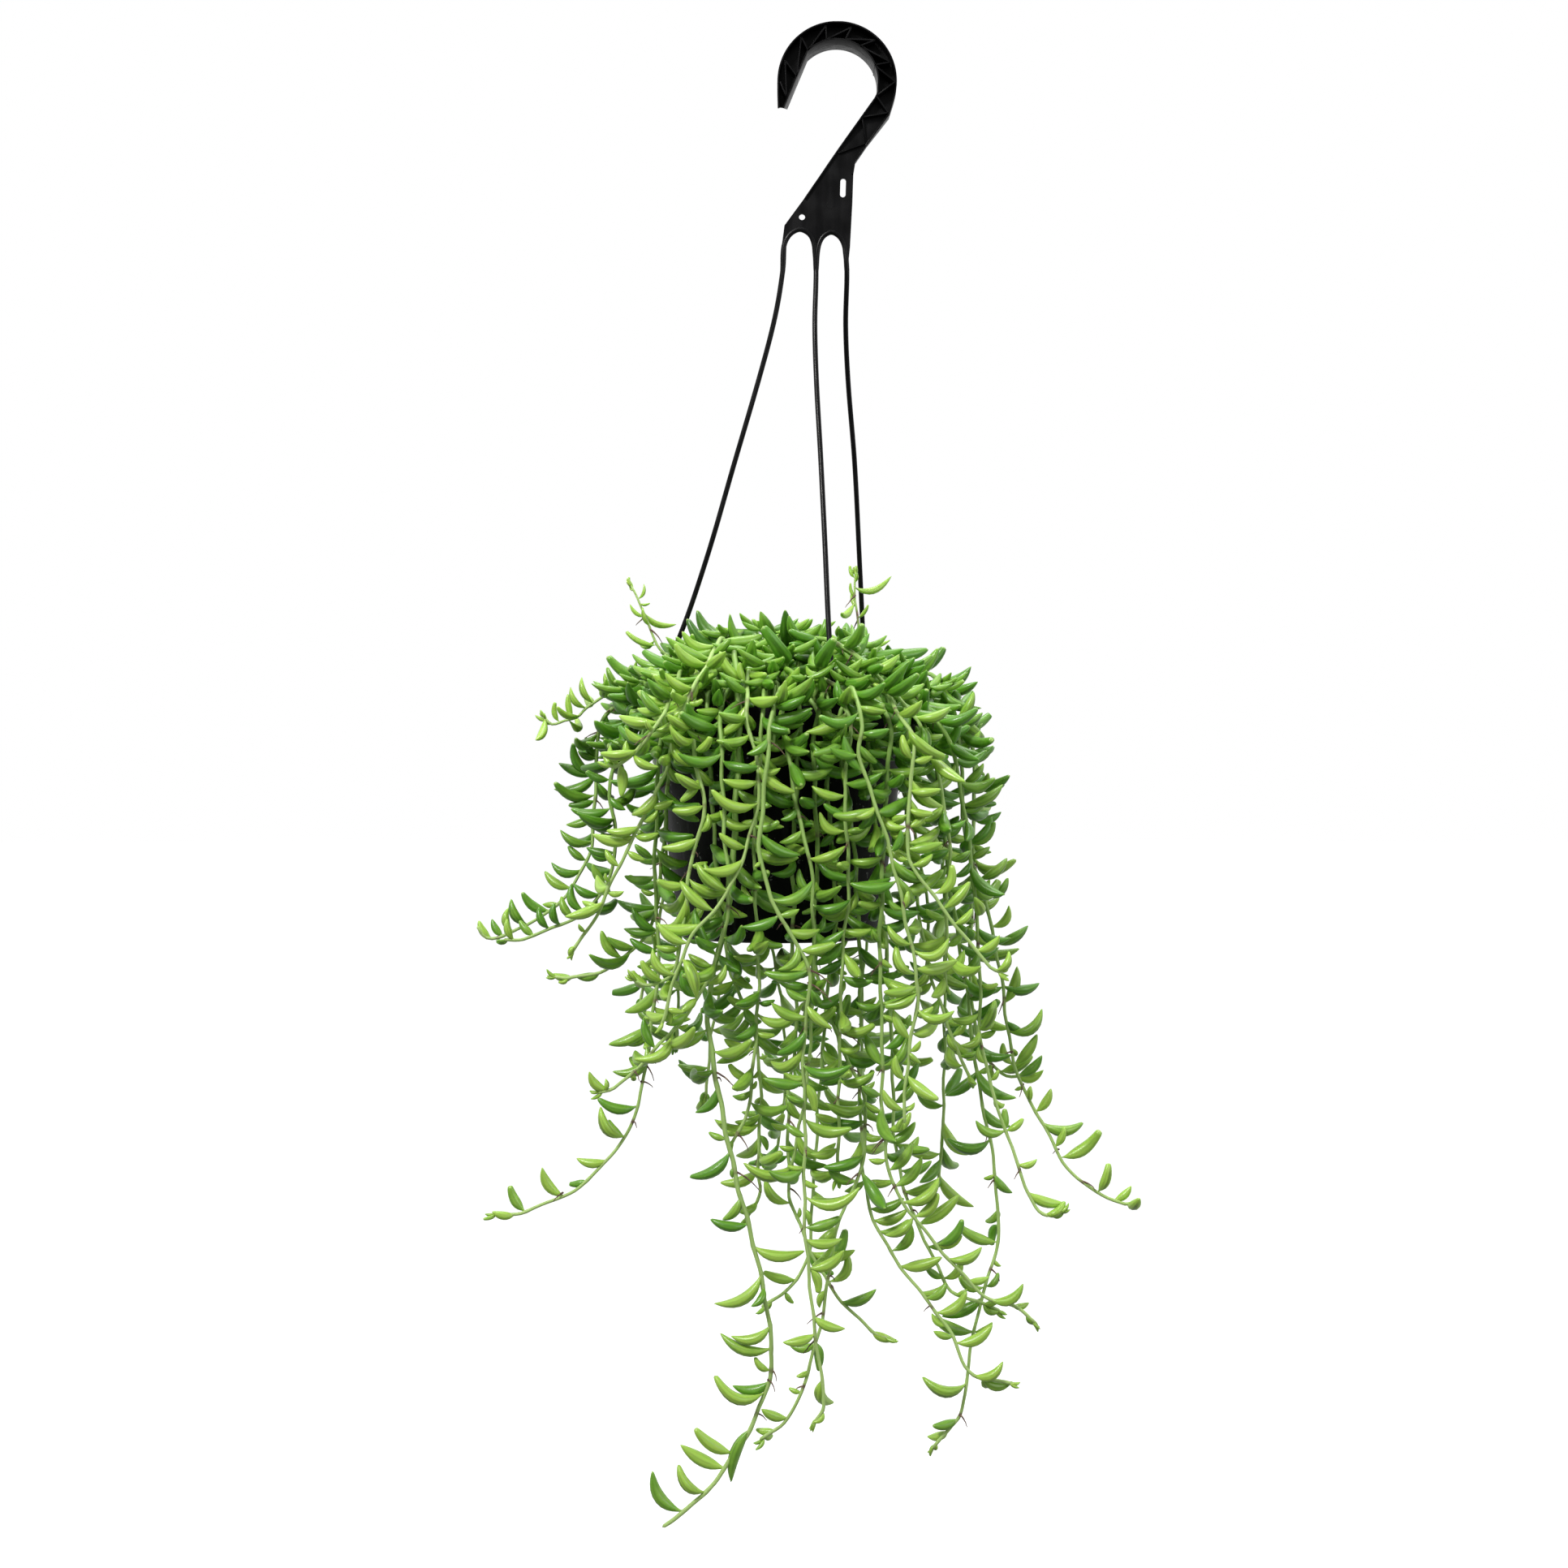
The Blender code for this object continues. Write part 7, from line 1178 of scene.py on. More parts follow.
# A leaf as capsules, the first of them its stalk
def leaf_capsules(foot, tip, sag):
    length = (tip - foot).length
    width = leaf_width(length)
    line, _ = leaf_line(foot, tip, sag, CAPSULE_STEPS)
    capsules = [(line[0], line[1], STALK_RADIUS)]
    capsules.extend((line[first], line[last], width * share) for first, last, share in CAPSULES)
    return capsules


LEAF_GAP = 0.00035
BOX_MARGIN = 0.0012
OWN_SHARE = 0.45


# Whether a leaf is clear of the others, the stems, the pot and the soil
def leaf_fits(space, capsules, owner):
    for index, (a, b, radius) in enumerate(capsules):
        own = OWN_SHARE if index > 1 else None
        if not space.free(a, b, radius, owner, LEAF_GAP, own):
            return False
        for share in (0.0, 0.5, 1.0):
            if not clear_of_pot(a.lerp(b, share), radius):
                return False
    return True


# Whether a ball at a point lies inside the solids' box
def in_box(point, radius=0.0):
    low, high = cad_box
    reach = radius + BOX_MARGIN
    return all(low[k] + reach < point[k] < high[k] - reach for k in range(3))


# Take the first tip at which the leaf is clear of everything placed so far; an added one stays in the box
def place_leaf(space, owner, foot, tips, sag, added=False):
    for tip in tips:
        capsules = leaf_capsules(foot, tip, sag)
        if added and not (in_box(tip) and all(in_box(b, radius) for _a, b, radius in capsules[:-1])):
            continue
        if leaf_fits(space, capsules, owner):
            for a, b, radius in capsules[1:]:
                space.add(a, b, radius, owner)
            return (foot, tip, sag)
    return None


# World point to sheet point
def sheet_of(point):
    reach = SHEET_UNIT * (VIEW_DISTANCE + point.y) / VIEW_DISTANCE
    eye = spot(SHEET_CENTRE[0], SHEET_CENTRE[1])
    return (SHEET_CENTRE[0] + (point.x - eye.x) / reach, SHEET_CENTRE[1] - (point.z - eye.z) / reach)


STEM_PARTS = 5


# Points along a route from its third one on, each with how far the sheet shows it from a place
def seen_points(route, u, v, parts):
    points = route["points"]
    for a, b in zip(points[2:-1], points[3:]):
        for part in range(parts):
            here = a.lerp(b, part / parts)
            su, sv = sheet_of(here)
            yield math.hypot(su - u, sv - v), here


def nearest_on_stem(route, u, v):
    return min(seen_points(route, u, v, STEM_PARTS), key=lambda seen: seen[0])[1]


DEPTH_TRIES = (0.0, 4.0, -4.0, 8.0, -8.0, 12.0, -12.0, 16.0, -16.0)
PLAIN_LENGTHS = (0.005, 0.034)
DRAWN_SAG = 0.15
RULE_SAG = 0.12
MISSED_SAG = 0.14
SAG_STEP = 0.05


# Tips at a place of the sheet at some depths, where they make a leaf of a length between two limits
def sheet_tips(foot, u, v, depths, lengths):
    tips = [spot(u, v, depth) for depth in depths]
    return [tip for tip in tips if lengths[0] < (tip - foot).length < lengths[1]]


# A leaf drawn on the sheet: only its depth is found by trying
def drawn_leaf(space, route, number, index, leaf):
    foot = nearest_on_stem(route, leaf[0], leaf[1])
    base = foot.y / MM + ((index * 7) % 5 - 2) * 1.5
    tips = sheet_tips(foot, leaf[2], leaf[3], [base + shift for shift in DEPTH_TRIES], PLAIN_LENGTHS)
    return place_leaf(space, number, foot, tips, DRAWN_SAG + SAG_STEP * (index % 4))


# Leaves by rule, evenly along a stem and turning around it
def rule_leaves(space, route, number, spacing, offset, size, maker):
    points = route["points"]
    kept = []
    run = -offset
    count = 0
    for k in range(2 if route["kind"] != "crown" else 1, len(points) - 1):
        a, b = points[k], points[k + 1]
        span = (b - a).length
        place = 0.0
        while run + (span - place) >= spacing:
            place += spacing - run
            run = 0.0
            foot = a.lerp(b, place / span)
            count += 1
            tips = rule_tips(route, foot, count, size, maker)
            leaf = place_leaf(space, number, foot, tips, RULE_SAG + SAG_STEP * (count % 4))
            if leaf:
                kept.append(leaf)
        run += span - place
    return kept


# Tips to try for a leaf by rule, each turned on from the one before
def rule_tips(route, foot, count, size, maker):
    out, side = out_and_side(foot)
    length = size * (RULE_LENGTHS[0] + RULE_LENGTHS[1] * maker.random())
    turn = count * LEAF_TURN + maker.random() * 0.5
    tips = []
    for attempt in range(RULE_TRIES):
        angle = turn + attempt * RULE_TURN
        flat_way = out * (math.cos(angle) * 0.9 + RULE_OUTWARD) + side * math.sin(angle)
        flat_way.normalize()
        lift = 0.10 + 0.30 * ((count + attempt) % 3)
        if route["kind"] == "crown":
            lift = 0.30 * ((count * 2 + attempt) % 4)
        way = (flat_way + upward(lift)).normalized()
        tips.append(foot + way * length)
    return tips


# Which drawn leaves the solids carry: all of them below OPEN_DOWN, two of three on the open sides and one
# of three in the thick of the plant, which DENSE gives as left, right and down
DENSE = (800.0, 1185.0, 1290.0)
OPEN_DOWN = 1480.0
LEAF_SPACING = {"back": 0.034, "crown": 0.0082}
LEAF_SIZE = {"back": 0.023, "crown": 0.0245}
FIRST_LEAF = 0.004
LEAF_TURN = 2.4
RULE_TRIES = 9
RULE_TURN = 0.75
RULE_OUTWARD = 0.28
RULE_LENGTHS = (0.82, 0.36)


# Every stem eased clear of the others, then every leaf that finds room
def lay_out():
    routes = stem_routes()
    ease_stems(routes)
    space = Space()
    for a, b, radius in hanger_capsules():
        space.add(a, b, radius, -1)
    for number, route in enumerate(routes):
        points, radii = route["points"], route["radii"]
        for k in range(len(points) - 1):
            space.add(points[k], points[k + 1], max(radii[k], radii[k + 1]), number)
    for number, route in enumerate(routes):
        route["grown"] = []
        for index, leaf in enumerate(route["leaves"]):
            thick = DENSE[0] < leaf[2] < DENSE[1] and leaf[3] < DENSE[2]
            if thick and index % 3 or index % 3 == 2 and leaf[3] < OPEN_DOWN:
                continue
            grown = drawn_leaf(space, route, number, index, leaf)
            if grown:
                route["grown"].append(grown)
    for number, route in enumerate(routes):
        if route["kind"] == "drawn":
            continue
        maker = random.Random(RULE_SEED + number)
        route["grown"] = rule_leaves(space, route, number, LEAF_SPACING[route["kind"]], FIRST_LEAF,
                                     LEAF_SIZE[route["kind"]], maker)
    return routes, space


# A new object in the scene
def placed(name, data):
    piece = bpy.data.objects.new(name, data)
    bpy.context.scene.collection.objects.link(piece)
    return piece


def clamped(point):
    low, high = cad_box
    return tuple(min(max(point[k], low[k]), high[k]) for k in range(3))


# A growing mesh: rings of points with their colours, closed to a point at both ends
class Growth:
    def __init__(self):
        self.points = []
        self.faces = []
        self.colours = []
        self.indices = []

    def rings(self, rings, colours, index):
        starts = []
        for ring, tints in zip(rings, colours):
            starts.append(len(self.points))
            self.points.extend((point.x, point.y, point.z) for point in ring)
            self.colours.extend(tints)
        before = len(self.faces)
        for k in range(len(rings) - 1):
            a, b = starts[k], starts[k + 1]
            low, high = len(rings[k]), len(rings[k + 1])
            for side in range(max(low, high)):
                after = (side + 1) % max(low, high)
                if low == 1:
                    self.faces.append((a, b + after, b + side))
                elif high == 1:
                    self.faces.append((a + side, a + after, b))
                else:
                    self.faces.append((a + side, a + after, b + after, b + side))
        self.indices.extend([index] * (len(self.faces) - before))

    def join(self, other):
        start = len(self.points)
        self.points.extend(other.points)
        self.colours.extend(other.colours)
        self.indices.extend(other.indices)
        self.faces.extend(tuple(start + corner for corner in face) for face in other.faces)

    def piece(self, name, surfaces, slot):
        mesh = bpy.data.meshes.new(name)
        mesh.from_pydata([clamped(point) for point in self.points], [], self.faces)
        for surface in surfaces:
            mesh.materials.append(surface)
        mesh.polygons.foreach_set("material_index", self.indices)
        mesh.shade_smooth()
        layer = mesh.attributes.new("grow", "FLOAT_COLOR", "POINT")
        layer.data.foreach_set("color", [value for colour in self.colours for value in colour])
        mesh.validate()
        mesh.update()
        made = placed(name, mesh)
        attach(made, "root")
        return made


# Every point of a route with two directions square to it there, carried along without a twist
def frames_along(route):
    frames = []
    side = None
    for index, point in enumerate(route):
        ahead = route[min(index + 1, len(route) - 1)] - route[max(index - 1, 0)]
        ahead.normalize()
        if side is None:
            guide = Vector((0.0, 1.0, 0.0)) if abs(ahead.y) < 0.9 else Vector((1.0, 0.0, 0.0))
            side = ahead.cross(guide)
        side = (side - ahead * side.dot(ahead)).normalized()
        frames.append((point, side, ahead.cross(side).normalized()))
    return frames


# A ring of points about a place of frames_along
def ring_about(place, radius, sides):
    centre, across, up = place
    return [centre + across * (radius * c) + up * (radius * s) for c, s in full_turn(sides)]


# A smooth line through the points, with the value at each point carried along
def smooth_line(points, values, pace):
    line = []
    carried = []
    last = len(points) - 1
    for k in range(last):
        p0, p1, p2, p3 = points[max(k - 1, 0)], points[k], points[k + 1], points[min(k + 2, last)]
        span = (p2 - p1).length
        steps = max(1, int(math.ceil(span / pace)))
        lean_in = (p2 - p0) * (span / max((p2 - p1).length + (p1 - p0).length, 1e-9))
        lean_out = (p3 - p1) * (span / max((p3 - p2).length + (p2 - p1).length, 1e-9))
        for step in range(steps):
            t = step / steps
            square, cube = t * t, t * t * t
            line.append(p1 * (2 * cube - 3 * square + 1) + lean_in * (cube - 2 * square + t)
                        + p2 * (3 * square - 2 * cube) + lean_out * (cube - square))
            carried.append(values[k] + (values[k + 1] - values[k]) * t)
    line.append(points[-1])
    carried.append(values[-1])
    return line, carried


# Leaf: rings along a crescent, as (share of its length, share of its width), fullest before its middle,
# drawn in to a short stalk and a pointed tip
LEAF_SHAPE = (
    (0.00, 0.20), (0.05, 0.25), (0.10, 0.39), (0.17, 0.60), (0.26, 0.81), (0.37, 0.95), (0.48, 1.00),
    (0.60, 0.96), (0.71, 0.84), (0.81, 0.65), (0.885, 0.45), (0.94, 0.27), (0.975, 0.13),
)
LEAF_SIDES = 9
LEAF_STEPS = 24
STEM_SURFACE, LEAF_SURFACE, ROOT_SURFACE = 0, 1, 2

# The fine leaf is a little straighter than the plain one, fuller below, and leans to one side or the other
BEND_SHARE = 0.74
BEND_LEAN = 1.5
BEND_MIDDLE = 0.46
BELLY = 1.06
BLUNT = 0.75
HOLLOW = 0.70
TIP_DROP = 0.014


# Half the width of a fine leaf, narrower where it is short
def fine_width(length, slim):
    return min(leaf_width(length) * 1.10, 0.0004 + 0.158 * length) * slim


def leaning_line(foot, tip, sag, own):
    _, away = leaf_line(foot, tip, sag, 1)
    chord = tip - foot
    lean = (own - 0.5) * BEND_LEAN
    away = (away * math.cos(lean) + chord.normalized().cross(away) * math.sin(lean)).normalized()
    bend = (0.04 + BEND_SHARE * sag) * (0.70 + 0.60 * ((own * 7.0) % 1.0))
    middle = foot + chord * BEND_MIDDLE + away * (chord.length * bend * 2.0)
    return bow(foot, middle, tip, LEAF_STEPS), away


def leaf_rings(growth, grown, age, own, slim):
    foot, tip, sag = grown
    length = (tip - foot).length
    width = fine_width(length, slim)
    line, away = leaning_line(foot, tip, sag, own)
    across = (tip - foot).normalized().cross(away).normalized()
    # Some leaves are rounder towards the tip than others
    blunt = BLUNT * ((own * 13.0) % 1.0) ** 2
    rings = []
    colours = []
    for share, size in LEAF_SHAPE:
        step = share * LEAF_STEPS
        low = min(int(step), LEAF_STEPS - 1)
        centre = line[low].lerp(line[low + 1], step - low)
        ahead = (line[low + 1] - line[max(low - 1, 0)]).normalized()
        up = across.cross(ahead).normalized()
        wide = width * size ** (1.0 + blunt * (1.0 - 2.0 * share))
        ring = []
        tints = []
        for side in range(LEAF_SIDES):
            turn = 2.0 * math.pi * side / LEAF_SIDES
            # The inner side is flatter than the back
            lift = math.cos(turn)
            press = HOLLOW if lift > 0.0 else BELLY
            ring.append(centre + across * (wide * math.sin(turn)) + up * (wide * lift * press))
            around = abs(((turn / math.pi) + 1.0) % 2.0 - 1.0)
            tints.append((age, share, around, own))
        rings.append(ring)
        colours.append(tints)
    # The tip turns down a little
    rings.append([line[-1] + away * (length * TIP_DROP)])
    colours.append([(age, 1.0, 0.5, own)])
    growth.rings(rings, colours, LEAF_SURFACE)


# A stem or a root as rings along its line, closed to a point at both ends
def stem_rings(growth, points, radii, ages, joints, own, sides, index):
    start = points[0] - (points[1] - points[0]).normalized() * radii[0] * 0.5
    rings = [[start]]
    colours = [[(ages[0], joints[0], 0.5, own)]]
    for place, radius, age, joint in zip(frames_along(points), radii, ages, joints):
        rings.append(ring_about(place, radius, sides))
        colours.append([(age, joint, abs(side / sides * 2.0 - 1.0), own) for side in range(sides)])
    end = points[-1] + (points[-1] - points[-2]).normalized() * radii[-1]
    rings.append([end])
    colours.append([(ages[-1], joints[-1], 0.5, own)])
    growth.rings(rings, colours, index)


# Leaves that only the finer model has: shifts in depth and shares of the length to try
FINE_SHIFTS = (0.0, 3.0, -3.0, 6.0, -6.0, 9.0, -9.0, 12.0, -12.0, 15.0, -15.0, 18.0, -18.0, 21.0, -21.0)
FINE_SHARES = (1.0, 0.88)
FINE_LENGTHS = (0.004, 0.032)


# A drawn leaf that the solids leave out
def missed_leaf(space, route, number, index, leaf):
    foot = nearest_on_stem(route, leaf[0], leaf[1])
    depths = [foot.y / MM + shift for shift in FINE_SHIFTS]
    tips = []
    for share in FINE_SHARES:
        u = leaf[0] + (leaf[2] - leaf[0]) * share
        v = leaf[1] + (leaf[3] - leaf[1]) * share
        tips.extend(sheet_tips(foot, u, v, depths, FINE_LENGTHS))
    return place_leaf(space, number, foot, tips, MISSED_SAG + SAG_STEP * (index % 4), True)


# The distance between added leaves along a stem: by its kind, or for a drawn stem by the zone of the sheet,
# (left, right, top, bottom, distance), the first that holds the place. Elsewhere none are added.
KIND_PACE = {"crown": 0.0050, "filler": 0.0060, "back": 0.0092}
ZONE_PACE = (
    (0.0, 1932.0, 0.0, 935.0, 0.0052), (830.0, 1075.0, 935.0, 1150.0, 0.0120),
    (790.0, 1200.0, 0.0, 1300.0, 0.0098), (730.0, 1240.0, 0.0, 1120.0, 0.0105),
    (880.0, 1100.0, 0.0, 1400.0, 0.020),
)
BARE_STEP = 0.004
FOOT_APART = 0.0022
# Added leaves rise by (least, range, power of the draw): at the crown's edge, in its middle, and on
# trailing stems. A place this high above the rim is in the crown, and this near the axis in its middle.
CROWN_FLOOR = 0.008
CROWN_MIDDLE = 0.052
RISE_EDGE = (-0.70, 1.20, 1.4)
RISE_MIDDLE = (-0.30, 1.20, 1.4)
RISE_TRAILING = (-0.85, 1.35, 1.0)
WILD_TURN = 0.7
CROWN_OUTWARD = 0.15
TRAILING_OUTWARD = 0.30
WILD_LENGTHS = (0.78, 0.52)
WILD_SAGS = (0.12, 0.22)
WILD_STEPS = (0.85, 0.3)
TIP_TRIES = 12
FULL_TRIES = 8
LATE_SHARE = 0.80


# The distance to the next added leaf at a place, or None where none are added
def pace_at(route, foot):
    if route["kind"] in KIND_PACE:
        return KIND_PACE[route["kind"]]
    u, v = sheet_of(foot)
    for left, right, top, bottom, pace in ZONE_PACE:
        if left < u < right and top < v < bottom:
            return pace
    return None


# Tips to try for an added leaf
def wild_tips(foot, count, size, maker):
    out, side = out_and_side(foot)
    turn = count * LEAF_TURN + maker.random() * 0.9
    rise = RISE_TRAILING
    upright = foot.z > RIM_Z + CROWN_FLOOR
    if upright:
        rise = RISE_EDGE if plan_radius(foot) > CROWN_MIDDLE else RISE_MIDDLE
    least, span, power = rise
    outward = CROWN_OUTWARD if upright else TRAILING_OUTWARD
    tips = []
    for attempt in range(TIP_TRIES):
        angle = turn + attempt * WILD_TURN
        level = out * (math.cos(angle) * 0.95 + outward) + side * math.sin(angle)
        level.normalize()
        way = (level + upward(least + span * maker.random() ** power)).normalized()
        length = size * (WILD_LENGTHS[0] + WILD_LENGTHS[1] * maker.random())
        length *= 1.0 if attempt < FULL_TRIES else LATE_SHARE
        tips.append(foot + way * length)
    return tips


# Leaves by rule between those already grown, each where it finds room
def extra_leaves(space, route, number, size, maker, first):
    points = route["points"]
    count = 0
    taken = [leaf[0] for leaf in route["grown"]]
    for a, b in zip(points[first:-1], points[first + 1:]):
        span = (b - a).length
        place = 0.0
        while True:
            pace = pace_at(route, a.lerp(b, min(place / span, 1.0)))
            place += pace * (WILD_STEPS[0] + WILD_STEPS[1] * maker.random()) if pace else BARE_STEP
            if place >= span:
                break
            if not pace:
                continue
            foot = a.lerp(b, place / span)
            count += 1
            if any((foot - other).length < FOOT_APART for other in taken):
                continue
            tips = wild_tips(foot, count, size, maker)
            sag = WILD_SAGS[0] + WILD_SAGS[1] * maker.random()
            leaf = place_leaf(space, number, foot, tips, sag, True)
            if leaf:
                taken.append(foot)
                route["grown"].append(leaf)


# Leaves at a growing tip: how many, the length of the least and what each next one adds to it
BUD_LEAVES = 3
SPREAD_BUD = (0.0130, 0.0045)
FOLDED_BUD = (0.0044, 0.0018)
BUD_ROOM = 0.0008
BUD_SAG = 0.16


# Small leaves at each growing tip: folded together on a trailing stem, spread out in the crown
def tip_bud(route, maker):
    points = route["points"]
    end = points[-1]
    ahead = (points[-1] - points[-2]).normalized()
    spread = route["kind"] in ("crown", "filler")
    out = out_and_side(end)[0]
    side = ahead.orthogonal().normalized()
    other = ahead.cross(side)
    buds = []
    for index in range(BUD_LEAVES):
        turn = index * LEAF_TURN + 6.0 * maker.random()
        way = ahead + (side * math.cos(turn) + other * math.sin(turn)) * (0.12 + 0.16 * index)
        if spread:
            way = out * 0.5 + level_ways(turn)[0] + upward(0.55 * maker.random() - 0.05)
        shortest, longer = SPREAD_BUD if spread else FOLDED_BUD
        length = shortest + longer * index
        foot = end - ahead * (0.0010 * index)
        tip = foot + way.normalized() * length
        if in_box(tip, BUD_ROOM):
            buds.append((foot, tip, BUD_SAG))
    return buds


# Short shoots that fill the crown, in rings: how many, distance from the pot's axis, height above the rim.
# The last ring hangs over the rim.
FILLER_RINGS = ((6, 0.012, 0.041), (11, 0.030, 0.038), (17, 0.048, 0.032), (22, 0.064, 0.024),
                (26, 0.080, 0.014), (30, 0.084, -0.020))
FILLER_RADII = (0.0012, 0.0011, 0.0010, 0.0009)
FILLER_INWARD = 0.060
FILLER_STRAY = 0.25
FILLER_TALL = (0.80, 0.35)
FILLER_ROOT = 0.80
FILLER_OVER = (0.004, 0.005)
FILLER_LOW = 0.008


def filler_routes():
    maker = random.Random(FILLER_SEED)
    routes = []
    for ring, (count, reach, height) in enumerate(FILLER_RINGS):
        for index in range(count):
            even = 2.0 * math.pi * (index + 0.5 * (ring % 2)) / count
            bearing = even + (maker.random() - 0.5) * FILLER_STRAY
            out = level_ways(bearing)[0]
            near = out * min(reach, FILLER_INWARD) * FILLER_ROOT
            tall = height * (FILLER_TALL[0] + FILLER_TALL[1] * maker.random())
            foot = RIM_MIDDLE + near + upward(-SOIL_DROP + 0.001)
            line = [foot, RIM_MIDDLE + near * 1.05 + upward(max(FILLER_LOW, tall * 0.55))]
            if height < 0.0:
                over = COLLAR_RADIUS + FILLER_OVER[0] + FILLER_OVER[1] * maker.random()
                line = [foot, RIM_MIDDLE + out * (over * 0.86) + upward(0.010),
                        RIM_MIDDLE + out * over + upward(0.004)]
            line.append(RIM_MIDDLE + out * (reach * 1.06 + 0.004) + upward(tall))
            routes.append({"name": "filler", "kind": "filler", "leaves": (), "grown": [],
                           "points": line, "radii": FILLER_RADII[:len(line)]})
    return routes


# Dark roots in the air, each from a joint of a stem: (from right, from down, to right, to down)
AIR_ROOTS = (
    (936, 961, 955, 973), (924, 1030, 936, 1040), (975, 1143, 1006, 1158), (998, 1192, 1025, 1215),
    (998, 1211, 1025, 1235), (1035, 1268, 1060, 1288), (1061, 1338, 1080, 1352), (912, 1440, 938, 1470),
    (890, 1320, 908, 1345), (902, 1395, 922, 1418), (951, 1688, 957, 1702), (949, 1702, 955, 1715),
    (800, 1300, 808, 1311), (800, 1320, 806, 1332), (780, 1380, 784, 1390), (1097, 1462, 1094, 1475),
    (1115, 1465, 1118, 1478), (1240, 1290, 1232, 1305), (1253, 1335, 1256, 1352), (1232, 1235, 1230, 1250),
    (1205, 1118, 1200, 1142), (875, 920, 858, 928), (1061, 1338, 1082, 1354), (1064, 1384, 1076, 1394),
    (1091, 1400, 1075, 1422), (1082, 1404, 1074, 1418),
)
NEAR_WINS = 60.0
ROOT_PARTS = 6
ROOT_STEPS = 8
ROOT_WOBBLE = 0.00035
ROOT_RADIUS = 0.00062
ROOT_TAPER = 0.70
ROOT_SHARE = 0.48
ROOT_BENDS = (0.0022, 0.0016)
ROOT_GAP = 0.0006
ROOT_LENGTHS = (0.0035, 0.008)

# Age of each stem's leaves, from old and dark 0 to young and bright 1, where it isn't that of its kind. The
# low ages of strand_left_low and strand_left_outer are partly painted shade: these strands hang behind the
# others and are coloured darker for it.
AGES = {
    "strand_front_left": 0.74, "strand_front_bright": 0.82, "strand_left_bright": 0.85,
    "strand_right_bright": 0.80, "strand_front_short": 0.62, "strand_left_sprig": 0.78,
    "sprig_top_left": 0.80, "sprig_top_right": 0.92, "strand_front_mid_right": 0.58,
    "strand_left_low": 0.34, "strand_left_outer": 0.42, "strand_centre_long": 0.62,
    "strand_front_right": 0.60, "strand_right_arch": 0.55, "strand_right_swing": 0.62,
    "strand_right_tail": 0.55, "strand_right_outer": 0.50,
}
# The strands behind the pot take a low age, partly as painted shade where the pot hides them
KIND_AGES = {"drawn": 0.50, "back": 0.34, "crown": 0.44, "filler": 0.39}
EXTRA_SIZES = {"crown": 0.0262, "filler": 0.0258, "back": 0.0228, "drawn": 0.0222}
AGE_SPREAD = 0.52
TIP_YOUNGER = 0.42
TIP_POWER = 1.6
BUD_YOUNGER = 0.30
SMALL_LEAF = 0.012
SMALL_YOUNGER = 0.4
TRAILING_PALER = 0.62
SHOOT_PALER = 0.10

# Breadth of the leaves and thickness of the stems, as shares of the usual ones
SLIM = {"sprig_top_left": 0.64, "sprig_top_right": 0.66, "strand_left_sprig": 0.80}
THICK = {"strand_long_left": 1.30}
PLUMP = 1.20
LESS_PLUMP = 1.05
BUD_SLIM = 0.78
STEM_SHARE = 0.94
LEAST_STEM = 0.00090
STEM_PACE = 0.0032
STEM_SIDES = 9
SHOOT_SIDES = 6
ROOT_SIDES = 5
SWAY = 0.00055
SWAY_LENGTH = 0.015
JOINT_SWELL = 0.18
JOINT_LENGTH = 0.0022
STAIN_LENGTH = 0.0050
FOOT_PULL = 0.0035


# The length along a line at each of its points
def lengths_along(points):
    total = [0.0]
    for k in range(len(points) - 1):
        total.append(total[-1] + (points[k + 1] - points[k]).length)
    return total


# The stem nearest a place on the sheet, and the point on it; a stem in front wins a near tie
def stem_at(routes, u, v):
    found = []
    for number, route in enumerate(routes):
        if route["kind"] == "drawn":
            for far, here in seen_points(route, u, v, ROOT_PARTS):
                found.append((far + here.y * NEAR_WINS, number, here))
    _far, number, here = min(found, key=lambda item: item[0])
    return number, here


# A root's line, straying a little more at each step
def root_line(start, end, bend, maker):
    middle = start.lerp(end, 0.5) + Vector((bend * 0.4, bend * 0.3, bend))
    line = []
    for step, here in enumerate(bow(start, middle, end, ROOT_STEPS)):
        stray = Vector((maker.random() - 0.5, maker.random() - 0.5, maker.random() - 0.5))
        line.append(here + stray * (ROOT_WOBBLE * (step / ROOT_STEPS)))
    return line


def plan_roots(routes):
    maker = random.Random(ROOT_SEED)
    for route in routes:
        route["roots"] = []
    for u, v, tip_u, tip_v in AIR_ROOTS:
        number, start = stem_at(routes, u, v)
        end = spot(tip_u, tip_v, start.y / MM - 3.0)
        routes[number]["roots"].append((start, end, ROOT_BENDS[0]))
    for route in routes:
        if route["kind"] in ("filler", "crown"):
            continue
        points = route["points"]
        for k in range(4, len(points) - 2):
            if maker.random() < ROOT_SHARE:
                start = points[k].lerp(points[k + 1], maker.random())
                turn = maker.random() * 2.0 * math.pi
                way = (level_ways(turn)[0] + upward(-0.4 - maker.random() * 0.9)).normalized()
                end = start + way * (ROOT_LENGTHS[0] + ROOT_LENGTHS[1] * maker.random())
                if in_box(end) and clear_of_pot(end, ROOT_GAP):
                    route["roots"].append((start, end, ROOT_BENDS[1]))


# How near the closest of some places is, from 1 at the place to 0 at a distance
def nearness(here, places, distance):
    closest = min(((here - place).length for place in places), default=1.0)
    return max(0.0, 1.0 - closest / distance)


